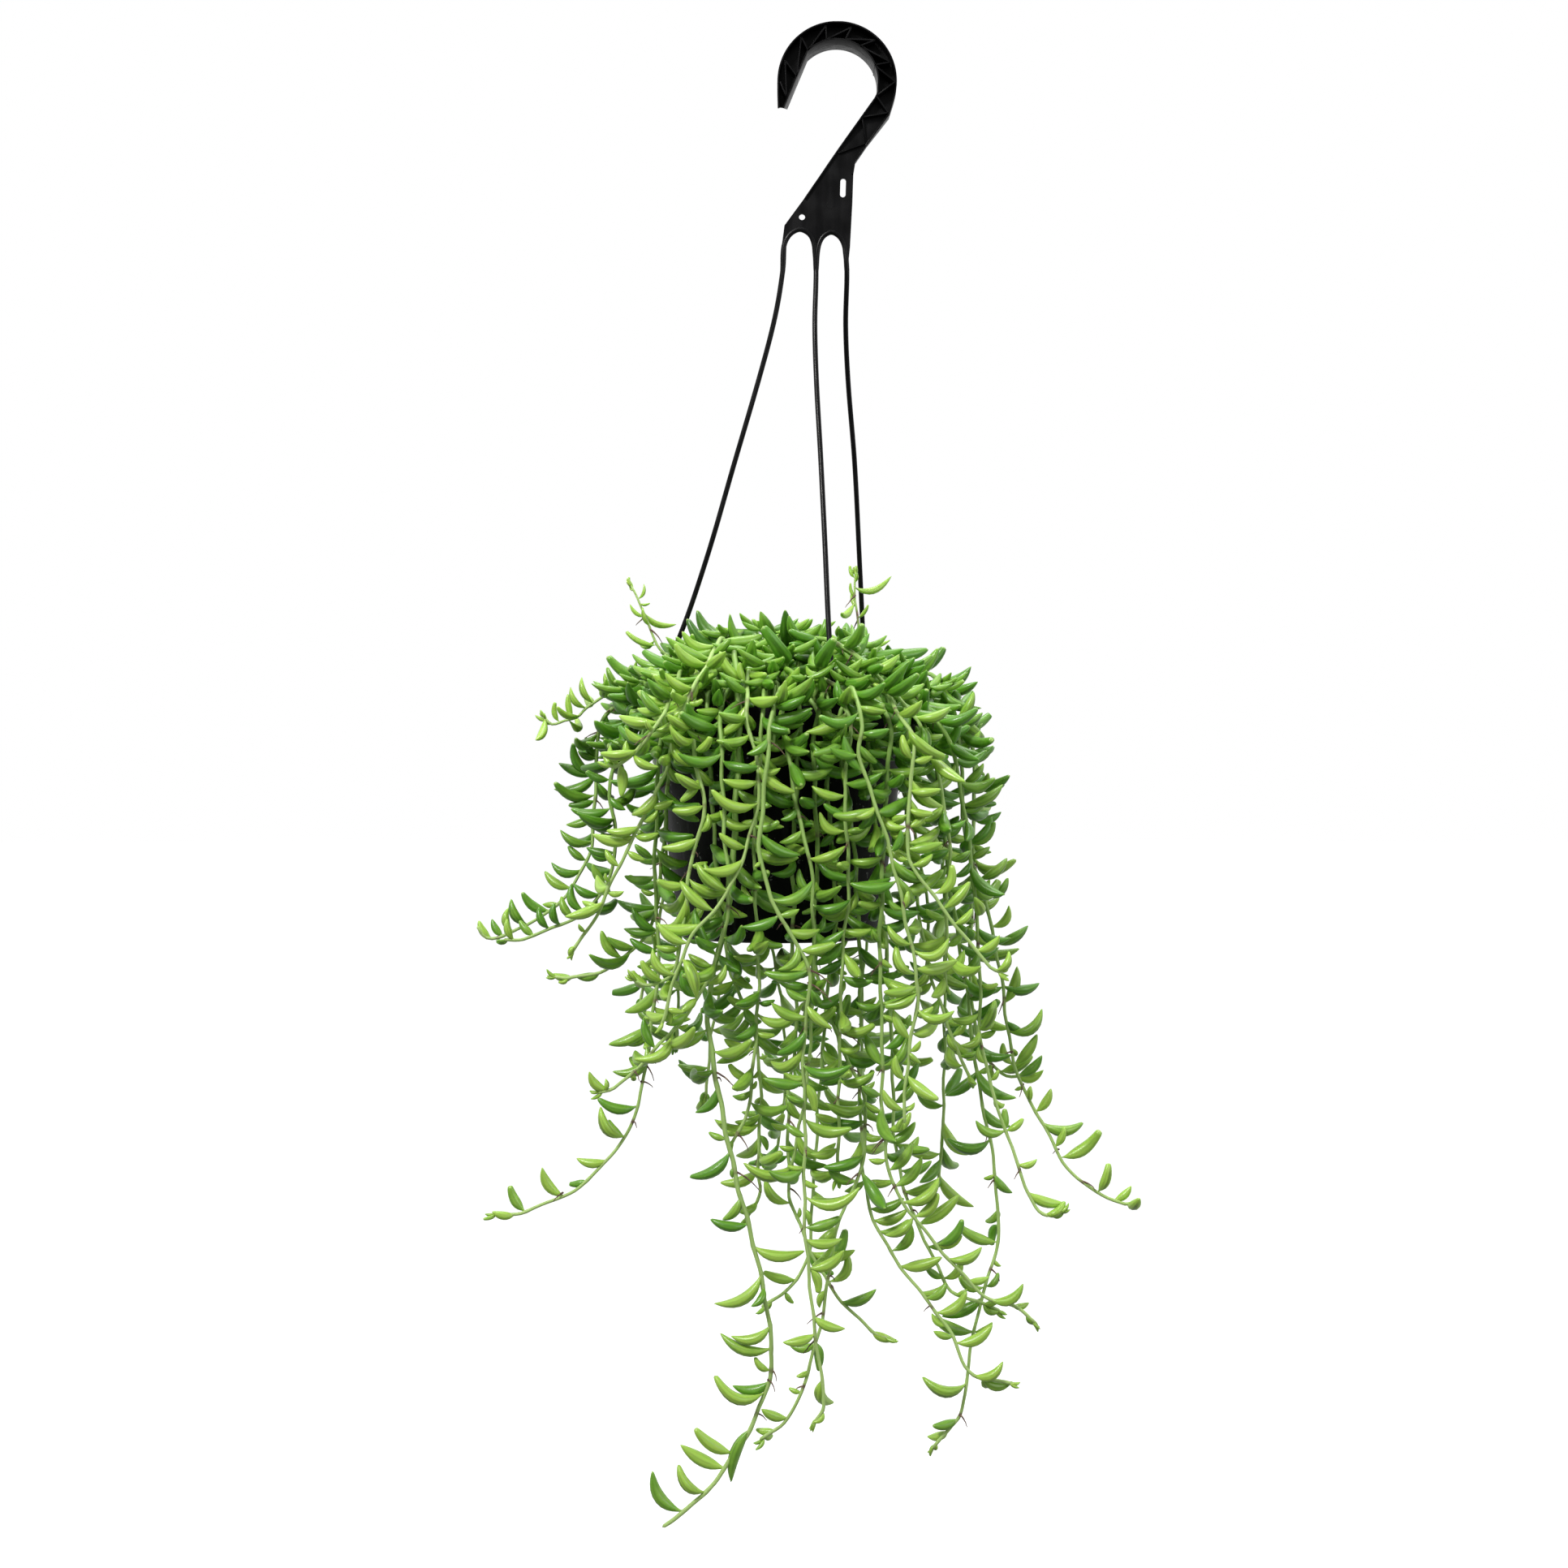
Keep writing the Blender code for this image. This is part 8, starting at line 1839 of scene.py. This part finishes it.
# One stem with its leaves, buds and roots
def dress(route, number):
    maker = random.Random(DRESS_SEED + number)
    growth = Growth()
    trailing = route["kind"] in ("drawn", "back")
    fills = route["kind"] == "filler"
    own = maker.random()
    base = AGES.get(route["name"], KIND_AGES[route["kind"]])
    plump = SLIM.get(route["name"], LESS_PLUMP if trailing else PLUMP)
    thick = THICK.get(route["name"], SLIM.get(route["name"], 1.0))
    feet = [leaf[0] for leaf in route["grown"]]
    joints = [root[0] for root in route["roots"]]
    line, sizes = smooth_line(route["points"], route["radii"], STEM_PACE)
    run = lengths_along(line)
    # Stems turn a little from side to side at their joints
    if not fills:
        sways = []
        for (here, across, up), value in zip(frames_along(line), run):
            turns = value / SWAY_LENGTH + own
            zig = abs(turns % 2.0 - 1.0) * 2.0 - 1.0
            zag = abs((turns * 0.7) % 2.0 - 1.0) * 2.0 - 1.0
            sways.append(here + (across * zig + up * zag) * SWAY)
        line = [line[0]] + sways[1:]
    fat = []
    stains = []
    for here, size in zip(line, sizes):
        swell = 1.0 + JOINT_SWELL * nearness(here, feet, JOINT_LENGTH)
        fat.append(max(size * STEM_SHARE, LEAST_STEM) * swell * thick)
        stains.append(nearness(here, joints, STAIN_LENGTH))
    whole = max(run[-1], 1e-6)
    paler = TRAILING_PALER if trailing else SHOOT_PALER
    ages = [min(1.0, base * 0.85 + paler * value / whole) for value in run]
    sides = SHOOT_SIDES if fills else STEM_SIDES
    stem_rings(growth, line, fat, ages, stains, own, sides, STEM_SURFACE)
    for foot, tip, sag in route["grown"]:
        nearest = min(range(len(line)), key=lambda k: (line[k] - foot).length_squared)
        young = TIP_YOUNGER * (run[nearest] / whole) ** TIP_POWER if trailing else 0.0
        small = max(0.0, 1.0 - (tip - foot).length / SMALL_LEAF) * SMALL_YOUNGER
        age = base + young + small + (maker.random() - 0.5) * AGE_SPREAD
        if (line[nearest] - foot).length < FOOT_PULL:
            foot = line[nearest]
        leaf_rings(growth, (foot, tip, sag), min(1.0, max(0.0, age)), maker.random(), plump)
    for bud in tip_bud(route, maker):
        leaf_rings(growth, bud, min(1.0, base + BUD_YOUNGER), maker.random(), BUD_SLIM)
    for start, end, bend in route["roots"]:
        thread = root_line(start, end, bend, maker)
        width = [ROOT_RADIUS * (1.0 - ROOT_TAPER * step / ROOT_STEPS) for step in range(ROOT_STEPS + 1)]
        middling, full = [0.5] * len(thread), [1.0] * len(thread)
        stem_rings(growth, thread, width, middling, full, maker.random(), ROOT_SIDES, ROOT_SURFACE)
    return growth


SAME_TIP = 2.0


# Whether one of a route's leaves already ends at a place on the sheet
def leaf_there(route, u, v):
    for _foot, tip, _sag in route["grown"]:
        tip_u, tip_v = sheet_of(tip)
        if math.hypot(tip_u - u, tip_v - v) < SAME_TIP:
            return True
    return False


# Every stem, shoot and leaf. The surfaces stand in the order of STEM_SURFACE, LEAF_SURFACE, ROOT_SURFACE.
def grow_plant():
    surfaces = [stem_material(), leaf_material(), root_material()]
    routes, space = lay_out()
    own_count = len(routes)
    for number, route in enumerate(routes):
        for index, leaf in enumerate(route["leaves"]):
            if leaf_there(route, leaf[2], leaf[3]):
                continue
            grown = missed_leaf(space, route, number, index, leaf)
            if grown:
                route["grown"].append(grown)
    routes.extend(filler_routes())
    for number, route in enumerate(routes):
        maker = random.Random(EXTRA_SEED + number)
        first = 1 if route["kind"] in ("crown", "filler") else 2
        extra_leaves(space, route, number, EXTRA_SIZES[route["kind"]], maker, first)
    plan_roots(routes)
    filling = Growth()
    for number, route in enumerate(routes):
        growth = dress(route, number)
        if number >= own_count:
            filling.join(growth)
            continue
        slot = "leafy_bright" if "bright" in route["name"] else "leafy_green"
        piece = growth.piece(route["name"] + "_fine", surfaces, slot)
        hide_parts(route["name"])
    filling.piece("crown_filling", surfaces, "leafy_green")


# Pot, soil and hanger, finer than the solids: more sides, softened edges, moulded and scattered detail
FINE_SIDES = 96
AXIS_HOLE = 0.001
FOOT_RING = 0.0115
EDGE_STEPS = 5
EDGE_ROUND = 0.0035
STEP_IN = 0.0005
STEP_HALF = 0.0006
EYELET_RADIUS = 0.00175
WEB = 0.0016
FLANGE = 0.0011
RIB = 0.0010
LIP = 0.00035
SOFT_EDGE = 40.0
POT_SHARP = 40.0
SOIL_SHARP = 180.0
FLAT_SHARP = 50.0
BAR_SHARP = 60.0
HOOK_FINER = 4
DRAIN_ENDS = (-0.002, 0.006)
BAR_SIDES = 16
ARCH_PACE = 0.0015
ARM_PACE = 0.004
HOLE_SIDES = 24
SLOT_STEPS = 8
MARK = (1022.9, 253.0)
MARK_RADIUS = 0.0021
MARK_HEIGHT = 0.0001
MARK_SIDES = 28
FLAT_FACE = 0.995


# An object's mesh with its modifiers carried out
def applied_mesh(piece):
    bpy.context.view_layer.update()
    graph = bpy.context.evaluated_depsgraph_get()
    made = bpy.data.meshes.new_from_object(piece.evaluated_get(graph))
    piece.modifiers.clear()
    return made


# Lofted rings of one size, closed by a flat face at both ends
def loft(rings):
    count = len(rings[0])
    points = [tuple(point) for ring in rings for point in ring]
    faces = [tuple(range(count - 1, -1, -1)), tuple(range(len(points) - count, len(points)))]
    for start in range(0, len(points) - count, count):
        for side in range(count):
            after = (side + 1) % count
            faces.append((start + side, start + after, start + count + after, start + count + side))
    return points, faces


# A body of points and faces as an object, its faces turned outward
def bare_object(name, body):
    mesh = bpy.data.meshes.new(name)
    mesh.from_pydata(body[0], [], body[1])
    shape = bmesh.new()
    shape.from_mesh(mesh)
    bmesh.ops.recalc_face_normals(shape, faces=shape.faces)
    shape.to_mesh(mesh)
    shape.free()
    return placed(name, mesh)


# A body with others cut out of it
def cut_body(body, cutters):
    piece = bare_object("blank", body)
    tools = [bare_object("cutter", cutter) for cutter in cutters]
    for tool in tools:
        cut = piece.modifiers.new("cut", "BOOLEAN")
        cut.operation = "DIFFERENCE"
        cut.solver = "EXACT"
        cut.object = tool
    mesh = applied_mesh(piece)
    made = ([tuple(point.co) for point in mesh.vertices], [tuple(face.vertices) for face in mesh.polygons])
    for used in tools + [piece]:
        bpy.data.objects.remove(used, do_unlink=True)
    return made


# One visible piece of several bodies, its edges softened, and drawn sharp from an angle on; it takes a
# node's place
def finer_piece(name, node, bodies, surface, soften, degrees):
    points = []
    faces = []
    for body_points, body_faces in bodies:
        start = len(points)
        points.extend(body_points)
        faces.extend(tuple(start + corner for corner in face) for face in body_faces)
    blank = bare_object("blank", (points, faces))
    if soften:
        bevel = blank.modifiers.new("soften", "BEVEL")
        bevel.width = soften
        bevel.segments = 2
        bevel.limit_method = "ANGLE"
        bevel.angle_limit = math.radians(SOFT_EDGE)
        bevel.use_clamp_overlap = True
    mesh = applied_mesh(blank)
    bpy.data.objects.remove(blank, do_unlink=True)
    for vertex in mesh.vertices:
        vertex.co = clamped(vertex.co)
    mesh.name = name
    mesh.materials.clear()
    mesh.materials.append(surface)
    mesh.shade_smooth()
    mesh.set_sharp_from_angle(angle=math.radians(degrees))
    piece = placed(name, mesh)
    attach(piece, "root")
    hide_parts(node)
    return piece


def circle(x, y, z, radius, sides):
    return [Vector((x + radius * c, y + radius * s, z)) for c, s in full_turn(sides)]


# The pot's outline in half section, with its lip, its step and its foot ring rounded
def pot_outline():
    step_low = COLLAR_BASE - STEP_DROP
    slope = (WALL_TOP_RADIUS - WALL_BASE_RADIUS) / (COLLAR_BASE - POT_BASE)
    at_step = WALL_TOP_RADIUS - slope * STEP_DROP
    inside = COLLAR_RADIUS - WALL
    floor_low = POT_BASE + FOOT_RAISE
    outline = [(AXIS_HOLE, floor_low), (WALL_BASE_RADIUS - FOOT_RING - 0.0007, floor_low),
               (WALL_BASE_RADIUS - FOOT_RING + 0.0005, POT_BASE)]
    for step in range(EDGE_STEPS + 1):
        turn = math.radians(90.0 * step / EDGE_STEPS)
        outline.append((WALL_BASE_RADIUS + 0.0004 - EDGE_ROUND * (1.0 - math.sin(turn)),
                        POT_BASE + EDGE_ROUND * (1.0 - math.cos(turn))))
    return outline + [
        (at_step - STEP_IN, step_low - STEP_HALF), (at_step - STEP_IN * 0.5, step_low),
        (at_step, step_low + STEP_HALF), (WALL_TOP_RADIUS, COLLAR_BASE + 0.0001),
        (WALL_TOP_RADIUS + 0.0006, COLLAR_BASE + 0.0007), (COLLAR_RADIUS - 0.0005, COLLAR_BASE + 0.0012),
        (COLLAR_RADIUS, COLLAR_BASE + 0.0018), (COLLAR_RADIUS, RIM_Z - 0.0005),
        (COLLAR_RADIUS - 0.0002, RIM_Z - 0.0001), (COLLAR_RADIUS - 0.0006, RIM_Z), (inside + 0.0003, RIM_Z),
        (inside, RIM_Z - 0.0003), (inside, COLLAR_BASE + 0.0030),
        (WALL_TOP_RADIUS - WALL, COLLAR_BASE + 0.0018), (WALL_BASE_RADIUS - WALL, POT_BASE + 0.0050),
        (WALL_BASE_RADIUS - WALL - 0.0030, floor_low + FLOOR), (AXIS_HOLE, floor_low + FLOOR),
    ]


def add_pot():
    body = loft([circle(POT_X, 0.0, height, radius, FINE_SIDES) for radius, height in pot_outline()])
    drains = []
    for index in range(DRAIN_COUNT):
        angle = 2.0 * math.pi * (index + 0.5) / DRAIN_COUNT
        x = POT_X + DRAIN_CIRCLE * math.cos(angle)
        y = DRAIN_CIRCLE * math.sin(angle)
        ends = [circle(x, y, POT_BASE + height, DRAIN_RADIUS, HOLE_SIDES) for height in DRAIN_ENDS]
        drains.append(loft(ends))
    finer_piece("pot_fine", "pot", [cut_body(body, drains)], pot_material(), 0.0, POT_SHARP)


# Soil heaped and lumpy on top, with loose grit pressed into it
SOIL_RINGS = 26
SOIL_SIDES = 80
SOIL_ROUGH = 0.0014
GRIT_COUNT = 420
GRIT_SIDES = 5
GRIT_TURN = 1.2566
GRIT_INSET = 0.004
GRIT_SIZES = (0.0007, 0.0016)
GRIT_RINGS = ((-0.35, 0.9), (0.35, 0.8))
SOIL_SINK = 0.0004
SOIL_LUMPS = 95.0


def soil_height(x, y):
    rough = noise.fractal(Vector((x, y, 0.0)) * SOIL_LUMPS, 0.9, 2.1, 4)
    return soil_top(math.hypot(x - POT_X, y)) + SOIL_ROUGH * max(-1.0, min(1.0, rough)) - SOIL_SINK


def add_soil():
    inside = COLLAR_RADIUS - WALL - SEAT_GAP
    seat = POT_BASE + FOOT_RAISE + FLOOR + SEAT_GAP
    sides = ((AXIS_HOLE, seat), (WALL_BASE_RADIUS - WALL - 0.0034, seat),
             (WALL_BASE_RADIUS - WALL - SEAT_GAP, POT_BASE + 0.0054),
             (WALL_TOP_RADIUS - WALL - SEAT_GAP, COLLAR_BASE + 0.0022), (inside, COLLAR_BASE + 0.0034))
    rings = [circle(POT_X, 0.0, height, radius, SOIL_SIDES) for radius, height in sides]
    for step in range(SOIL_RINGS):
        ring = circle(POT_X, 0.0, 0.0, inside * (1.0 - step / SOIL_RINGS), SOIL_SIDES)
        for point in ring:
            point.z = soil_height(point.x, point.y)
        rings.append(ring)
    finer_piece("soil_fine", "soil", [loft(rings)], soil_material(), 0.0, SOIL_SHARP)
    maker = random.Random(GRIT_SEED)
    grit = Growth()
    for _ in range(GRIT_COUNT):
        reach = (inside - GRIT_INSET) * math.sqrt(maker.random())
        turn = 2.0 * math.pi * maker.random()
        x, y = POT_X + reach * math.cos(turn), reach * math.sin(turn)
        size = GRIT_SIZES[0] + GRIT_SIZES[1] * maker.random() ** 2
        middle = Vector((x, y, soil_height(x, y) + size * 0.3))
        rings = [[middle - upward(size * 0.8)]]
        for lift, wide in GRIT_RINGS:
            ring = []
            for k in range(GRIT_SIDES):
                right = size * wide * (0.7 + 0.5 * maker.random()) * math.cos(k * GRIT_TURN)
                back = size * wide * (0.7 + 0.5 * maker.random()) * math.sin(k * GRIT_TURN)
                ring.append(middle + Vector((right, back, size * lift)))
            rings.append(ring)
        rings.append([middle + upward(size * 0.75)])
        own = maker.random()
        grit.rings(rings, [[(0.5, 0.5, 0.5, own)] * len(ring) for ring in rings], 0)
    grit.piece("soil_grit", [grit_material()], "potting_soil")


# Half section of a strip: (share of its half depth, share of its thickness)
STRIP = ((-1, 0.38), (0, 0.5), (1, 0.38), (1, -0.38), (0, -0.5), (-1, -0.38))


# A strip standing across the web along a line, thinner towards its outer edges
def cross_strip(line, thick, slant=0.0):
    rings = []
    for index, (x, z, half) in enumerate(line):
        here = Vector((x, z))
        ahead = Vector(line[min(index + 1, len(line) - 1)][:2])
        along = (ahead - Vector(line[max(index - 1, 0)][:2])).normalized()
        away = Vector((-along.y, along.x))
        ring = []
        for reach, width in STRIP:
            depth = reach * half
            place = here + away * (thick * width)
            if index == 0:
                place += along * (slant * (depth + half) / (2.0 * half))
            ring.append(Vector((place.x, depth, place.y)))
        rings.append(ring)
    return loft(rings)


# A plate standing in the XZ plane, its outline given as x and z
def upright_slab(outline, half):
    return loft([[Vector((x, depth, z)) for x, z in outline] for depth in (-half, half)])


# A round bar through some points
def round_bar(route, radius, pace):
    line, _ = smooth_line(route, [0.0] * len(route), pace)
    return loft([ring_about(place, radius, BAR_SIDES) for place in frames_along(line)])


def peg_across(u, v, radius, half, sides):
    x, z = flat(u, v)
    return upright_slab([(x + radius * c, z + radius * s) for c, s in full_turn(sides)], half)


# A clip straddling the rim, as a channel open below with its inner side shorter
def rim_clip(angle):
    out, across = level_ways(math.radians(angle))
    inner = COLLAR_RADIUS - WALL - SEAT_GAP - CLIP_INNER_SLACK
    outer = COLLAR_RADIUS + SEAT_GAP + CLIP_INNER_SLACK
    top = SEAT_GAP
    outline = [
        (inner - CLIP_WALL, top + CLIP_WALL), (outer + CLIP_WALL, top + CLIP_WALL),
        (outer + CLIP_WALL, -CLIP_LENGTH), (outer, -CLIP_LENGTH), (outer, top),
        (inner, top), (inner, -CLIP_LENGTH * 0.5), (inner - CLIP_WALL, -CLIP_LENGTH * 0.5),
    ]
    return loft([[RIM_MIDDLE + out * r + across * (half * CLIP_WIDTH) + upward(h) for r, h in outline]
                 for half in (-0.5, 0.5)])


def rounded_slot():
    ring = []
    for (u, v), turn in ((SLOT_TOP, math.pi), (SLOT_BOTTOM, 0.0)):
        for step in range(SLOT_STEPS + 1):
            angle = turn + math.pi * step / SLOT_STEPS
            ring.append((u + SLOT_HALF * math.cos(angle), v + SLOT_HALF * math.sin(angle)))
    return ring


def add_hanger():
    outer = edge_line(HOOK_OUTER)
    inner = edge_line(HOOK_INNER)
    upper = [point[:2] for point in cut_slanted(outer)]
    lower = [point[:2] for point in cut_slanted(inner)]
    web = upright_slab(upper + [flat(u, v) for u, v in PLATE] + lower[::-1], WEB * 0.5)
    slot = upright_slab([flat(u, v) for u, v in rounded_slot()], HOOK_DEPTH)
    eyelet = peg_across(*EYELET, EYELET_RADIUS, HOOK_DEPTH, HOLE_SIDES)
    parts = [cut_body(web, [eyelet, slot]),
             cross_strip(inset_line(outer, FLANGE * 0.5), FLANGE, TIP_SLANT),
             cross_strip(inset_line(inner, -FLANGE * 0.5), FLANGE, TIP_SLANT)]
    rib_outer = [hook_point(*point) for point in RIB_OUTER]
    rib_inner = [hook_point(*point) for point in RIB_INNER]
    for index in range(len(RIB_OUTER)):
        parts.append(cross_strip([rib_outer[index], rib_inner[index]], RIB))
        if index + 1 < len(RIB_OUTER):
            parts.append(cross_strip([rib_inner[index], rib_outer[index + 1]], RIB))
    # A round mark from the mould stands on both faces of the plate
    parts.append(peg_across(*MARK, MARK_RADIUS, WEB * 0.5 + MARK_HEIGHT, MARK_SIDES))
    hook = finer_piece("hanger_hook", "hanger", parts, hanger_material(), LIP, FLAT_SHARP)
    for face in hook.data.polygons:
        if abs(face.normal.y) > FLAT_FACE:
            face.use_smooth = False
    bars = [round_bar([spot(*point) for point in arch], BEAD_RADIUS, ARCH_PACE)
            for arch in (LEFT_ARCH, RIGHT_ARCH)]
    for index, lead in enumerate(ARM_LEADS):
        bars.append(round_bar([spot(*lead)] + arm_route(index), ARM_RADIUS, ARM_PACE))
    finer_piece("hanger_arms", "hanger", bars, hanger_material(), 0.0, BAR_SHARP)
    clips = [rim_clip(angle) for angle in RIM_ANGLES]
    finer_piece("hanger_clips", "hanger", clips, hanger_material(), LIP, FLAT_SHARP)


# Camera, floor and light
CAMERA_LENS = 48.6
WORLD_FRONT = 0.34
WORLD_LOW = 0.45
FLOOR_DROP = 0.16
FLOOR_RADIUS = 20.0
FLOOR_SIDES = 48
FLOOR_GLOW = 0.66
LIGHT_AIM = (POT_X, 0.0, -0.50)
SENSOR_WIDTH = 36.0
FARTHEST = 60.0
# Name, place, breadth, power and colour of each lamp
LAMPS = (
    ("key", (-0.7, -1.1, 0.75), 0.40, 22.0, WARM), ("fill", (1.2, -1.1, 0.1), 1.0, 6.0, COOL),
    ("top", (0.1, 0.2, 0.9), 0.8, 9.0, WHITE),
)


def add_camera():
    lens = bpy.data.cameras.new("camera")
    lens.lens = CAMERA_LENS
    lens.sensor_width = SENSOR_WIDTH
    lens.clip_end = FARTHEST
    camera = placed("camera", lens)
    eye = spot(SHEET_CENTRE[0], SHEET_CENTRE[1])
    camera.location = (eye.x, -VIEW_DISTANCE, eye.z)
    camera.rotation_euler = (math.radians(90.0), 0.0, 0.0)
    bpy.context.scene.camera = camera


def add_floor():
    mesh = bpy.data.meshes.new("floor")
    level = cad_box[0][2] - FLOOR_DROP
    ring = circle(0.0, 0.0, level, FLOOR_RADIUS, FLOOR_SIDES)
    mesh.from_pydata(ring, [], [tuple(range(FLOOR_SIDES))])
    m = material_nodes("pale_floor")
    mesh.materials.append(m.finish(FLOOR_GREY, 0.9, Emission_Color=WHITE, Emission_Strength=FLOOR_GLOW))
    floor = placed("floor", mesh)
    floor.visible_diffuse = False
    floor.visible_glossy = False


def add_lamp(name, place, size, power, colour):
    lamp = bpy.data.lights.new(name, "AREA")
    lamp.shape = "DISK"
    lamp.size = size
    lamp.energy = power
    lamp.color = colour
    piece = placed(name, lamp)
    piece.location = place
    piece.rotation_euler = (Vector(LIGHT_AIM) - Vector(place)).to_track_quat("-Z", "Y").to_euler()


# The light comes mostly from a white sweep behind, beside and above; the camera's side is dimmer
def add_light():
    world = bpy.data.worlds.new("studio")
    m = Nodes(world, "Background")
    m.put(m.shader.inputs["Color"], WHITE)
    place = m.tree.nodes.new("ShaderNodeTexCoord")
    split = m.tree.nodes.new("ShaderNodeSeparateXYZ")
    m.put(split.inputs["Vector"], place.outputs["Generated"])
    behind = m.ramp(split.outputs["Y"], -0.75, 0.35, WORLD_FRONT, 1.0)
    above = m.ramp(split.outputs["Z"], -0.6, 0.6, WORLD_LOW, 1.0, "LINEAR")
    strength = m.math("MULTIPLY", behind, above)
    # The camera sees plain white
    seen = m.tree.nodes.new("ShaderNodeLightPath")
    pick = m.tree.nodes.new("ShaderNodeMix")
    pick.data_type = "FLOAT"
    m.put(pick.inputs["Factor"], seen.outputs["Is Camera Ray"])
    m.put(pick.inputs["A"], strength)
    m.put(pick.inputs["B"], 1.0)
    m.put(m.shader.inputs["Strength"], pick.outputs["Result"])
    bpy.context.scene.world = world
    for lamp in LAMPS:
        add_lamp(*lamp)
    view = bpy.context.scene.view_settings
    view.view_transform = "Standard"
    view.look = "None"
    view.exposure = 0.0
    view.gamma = 1.0


grow_plant()
add_pot()
add_soil()
add_hanger()
add_camera()
add_floor()
add_light()
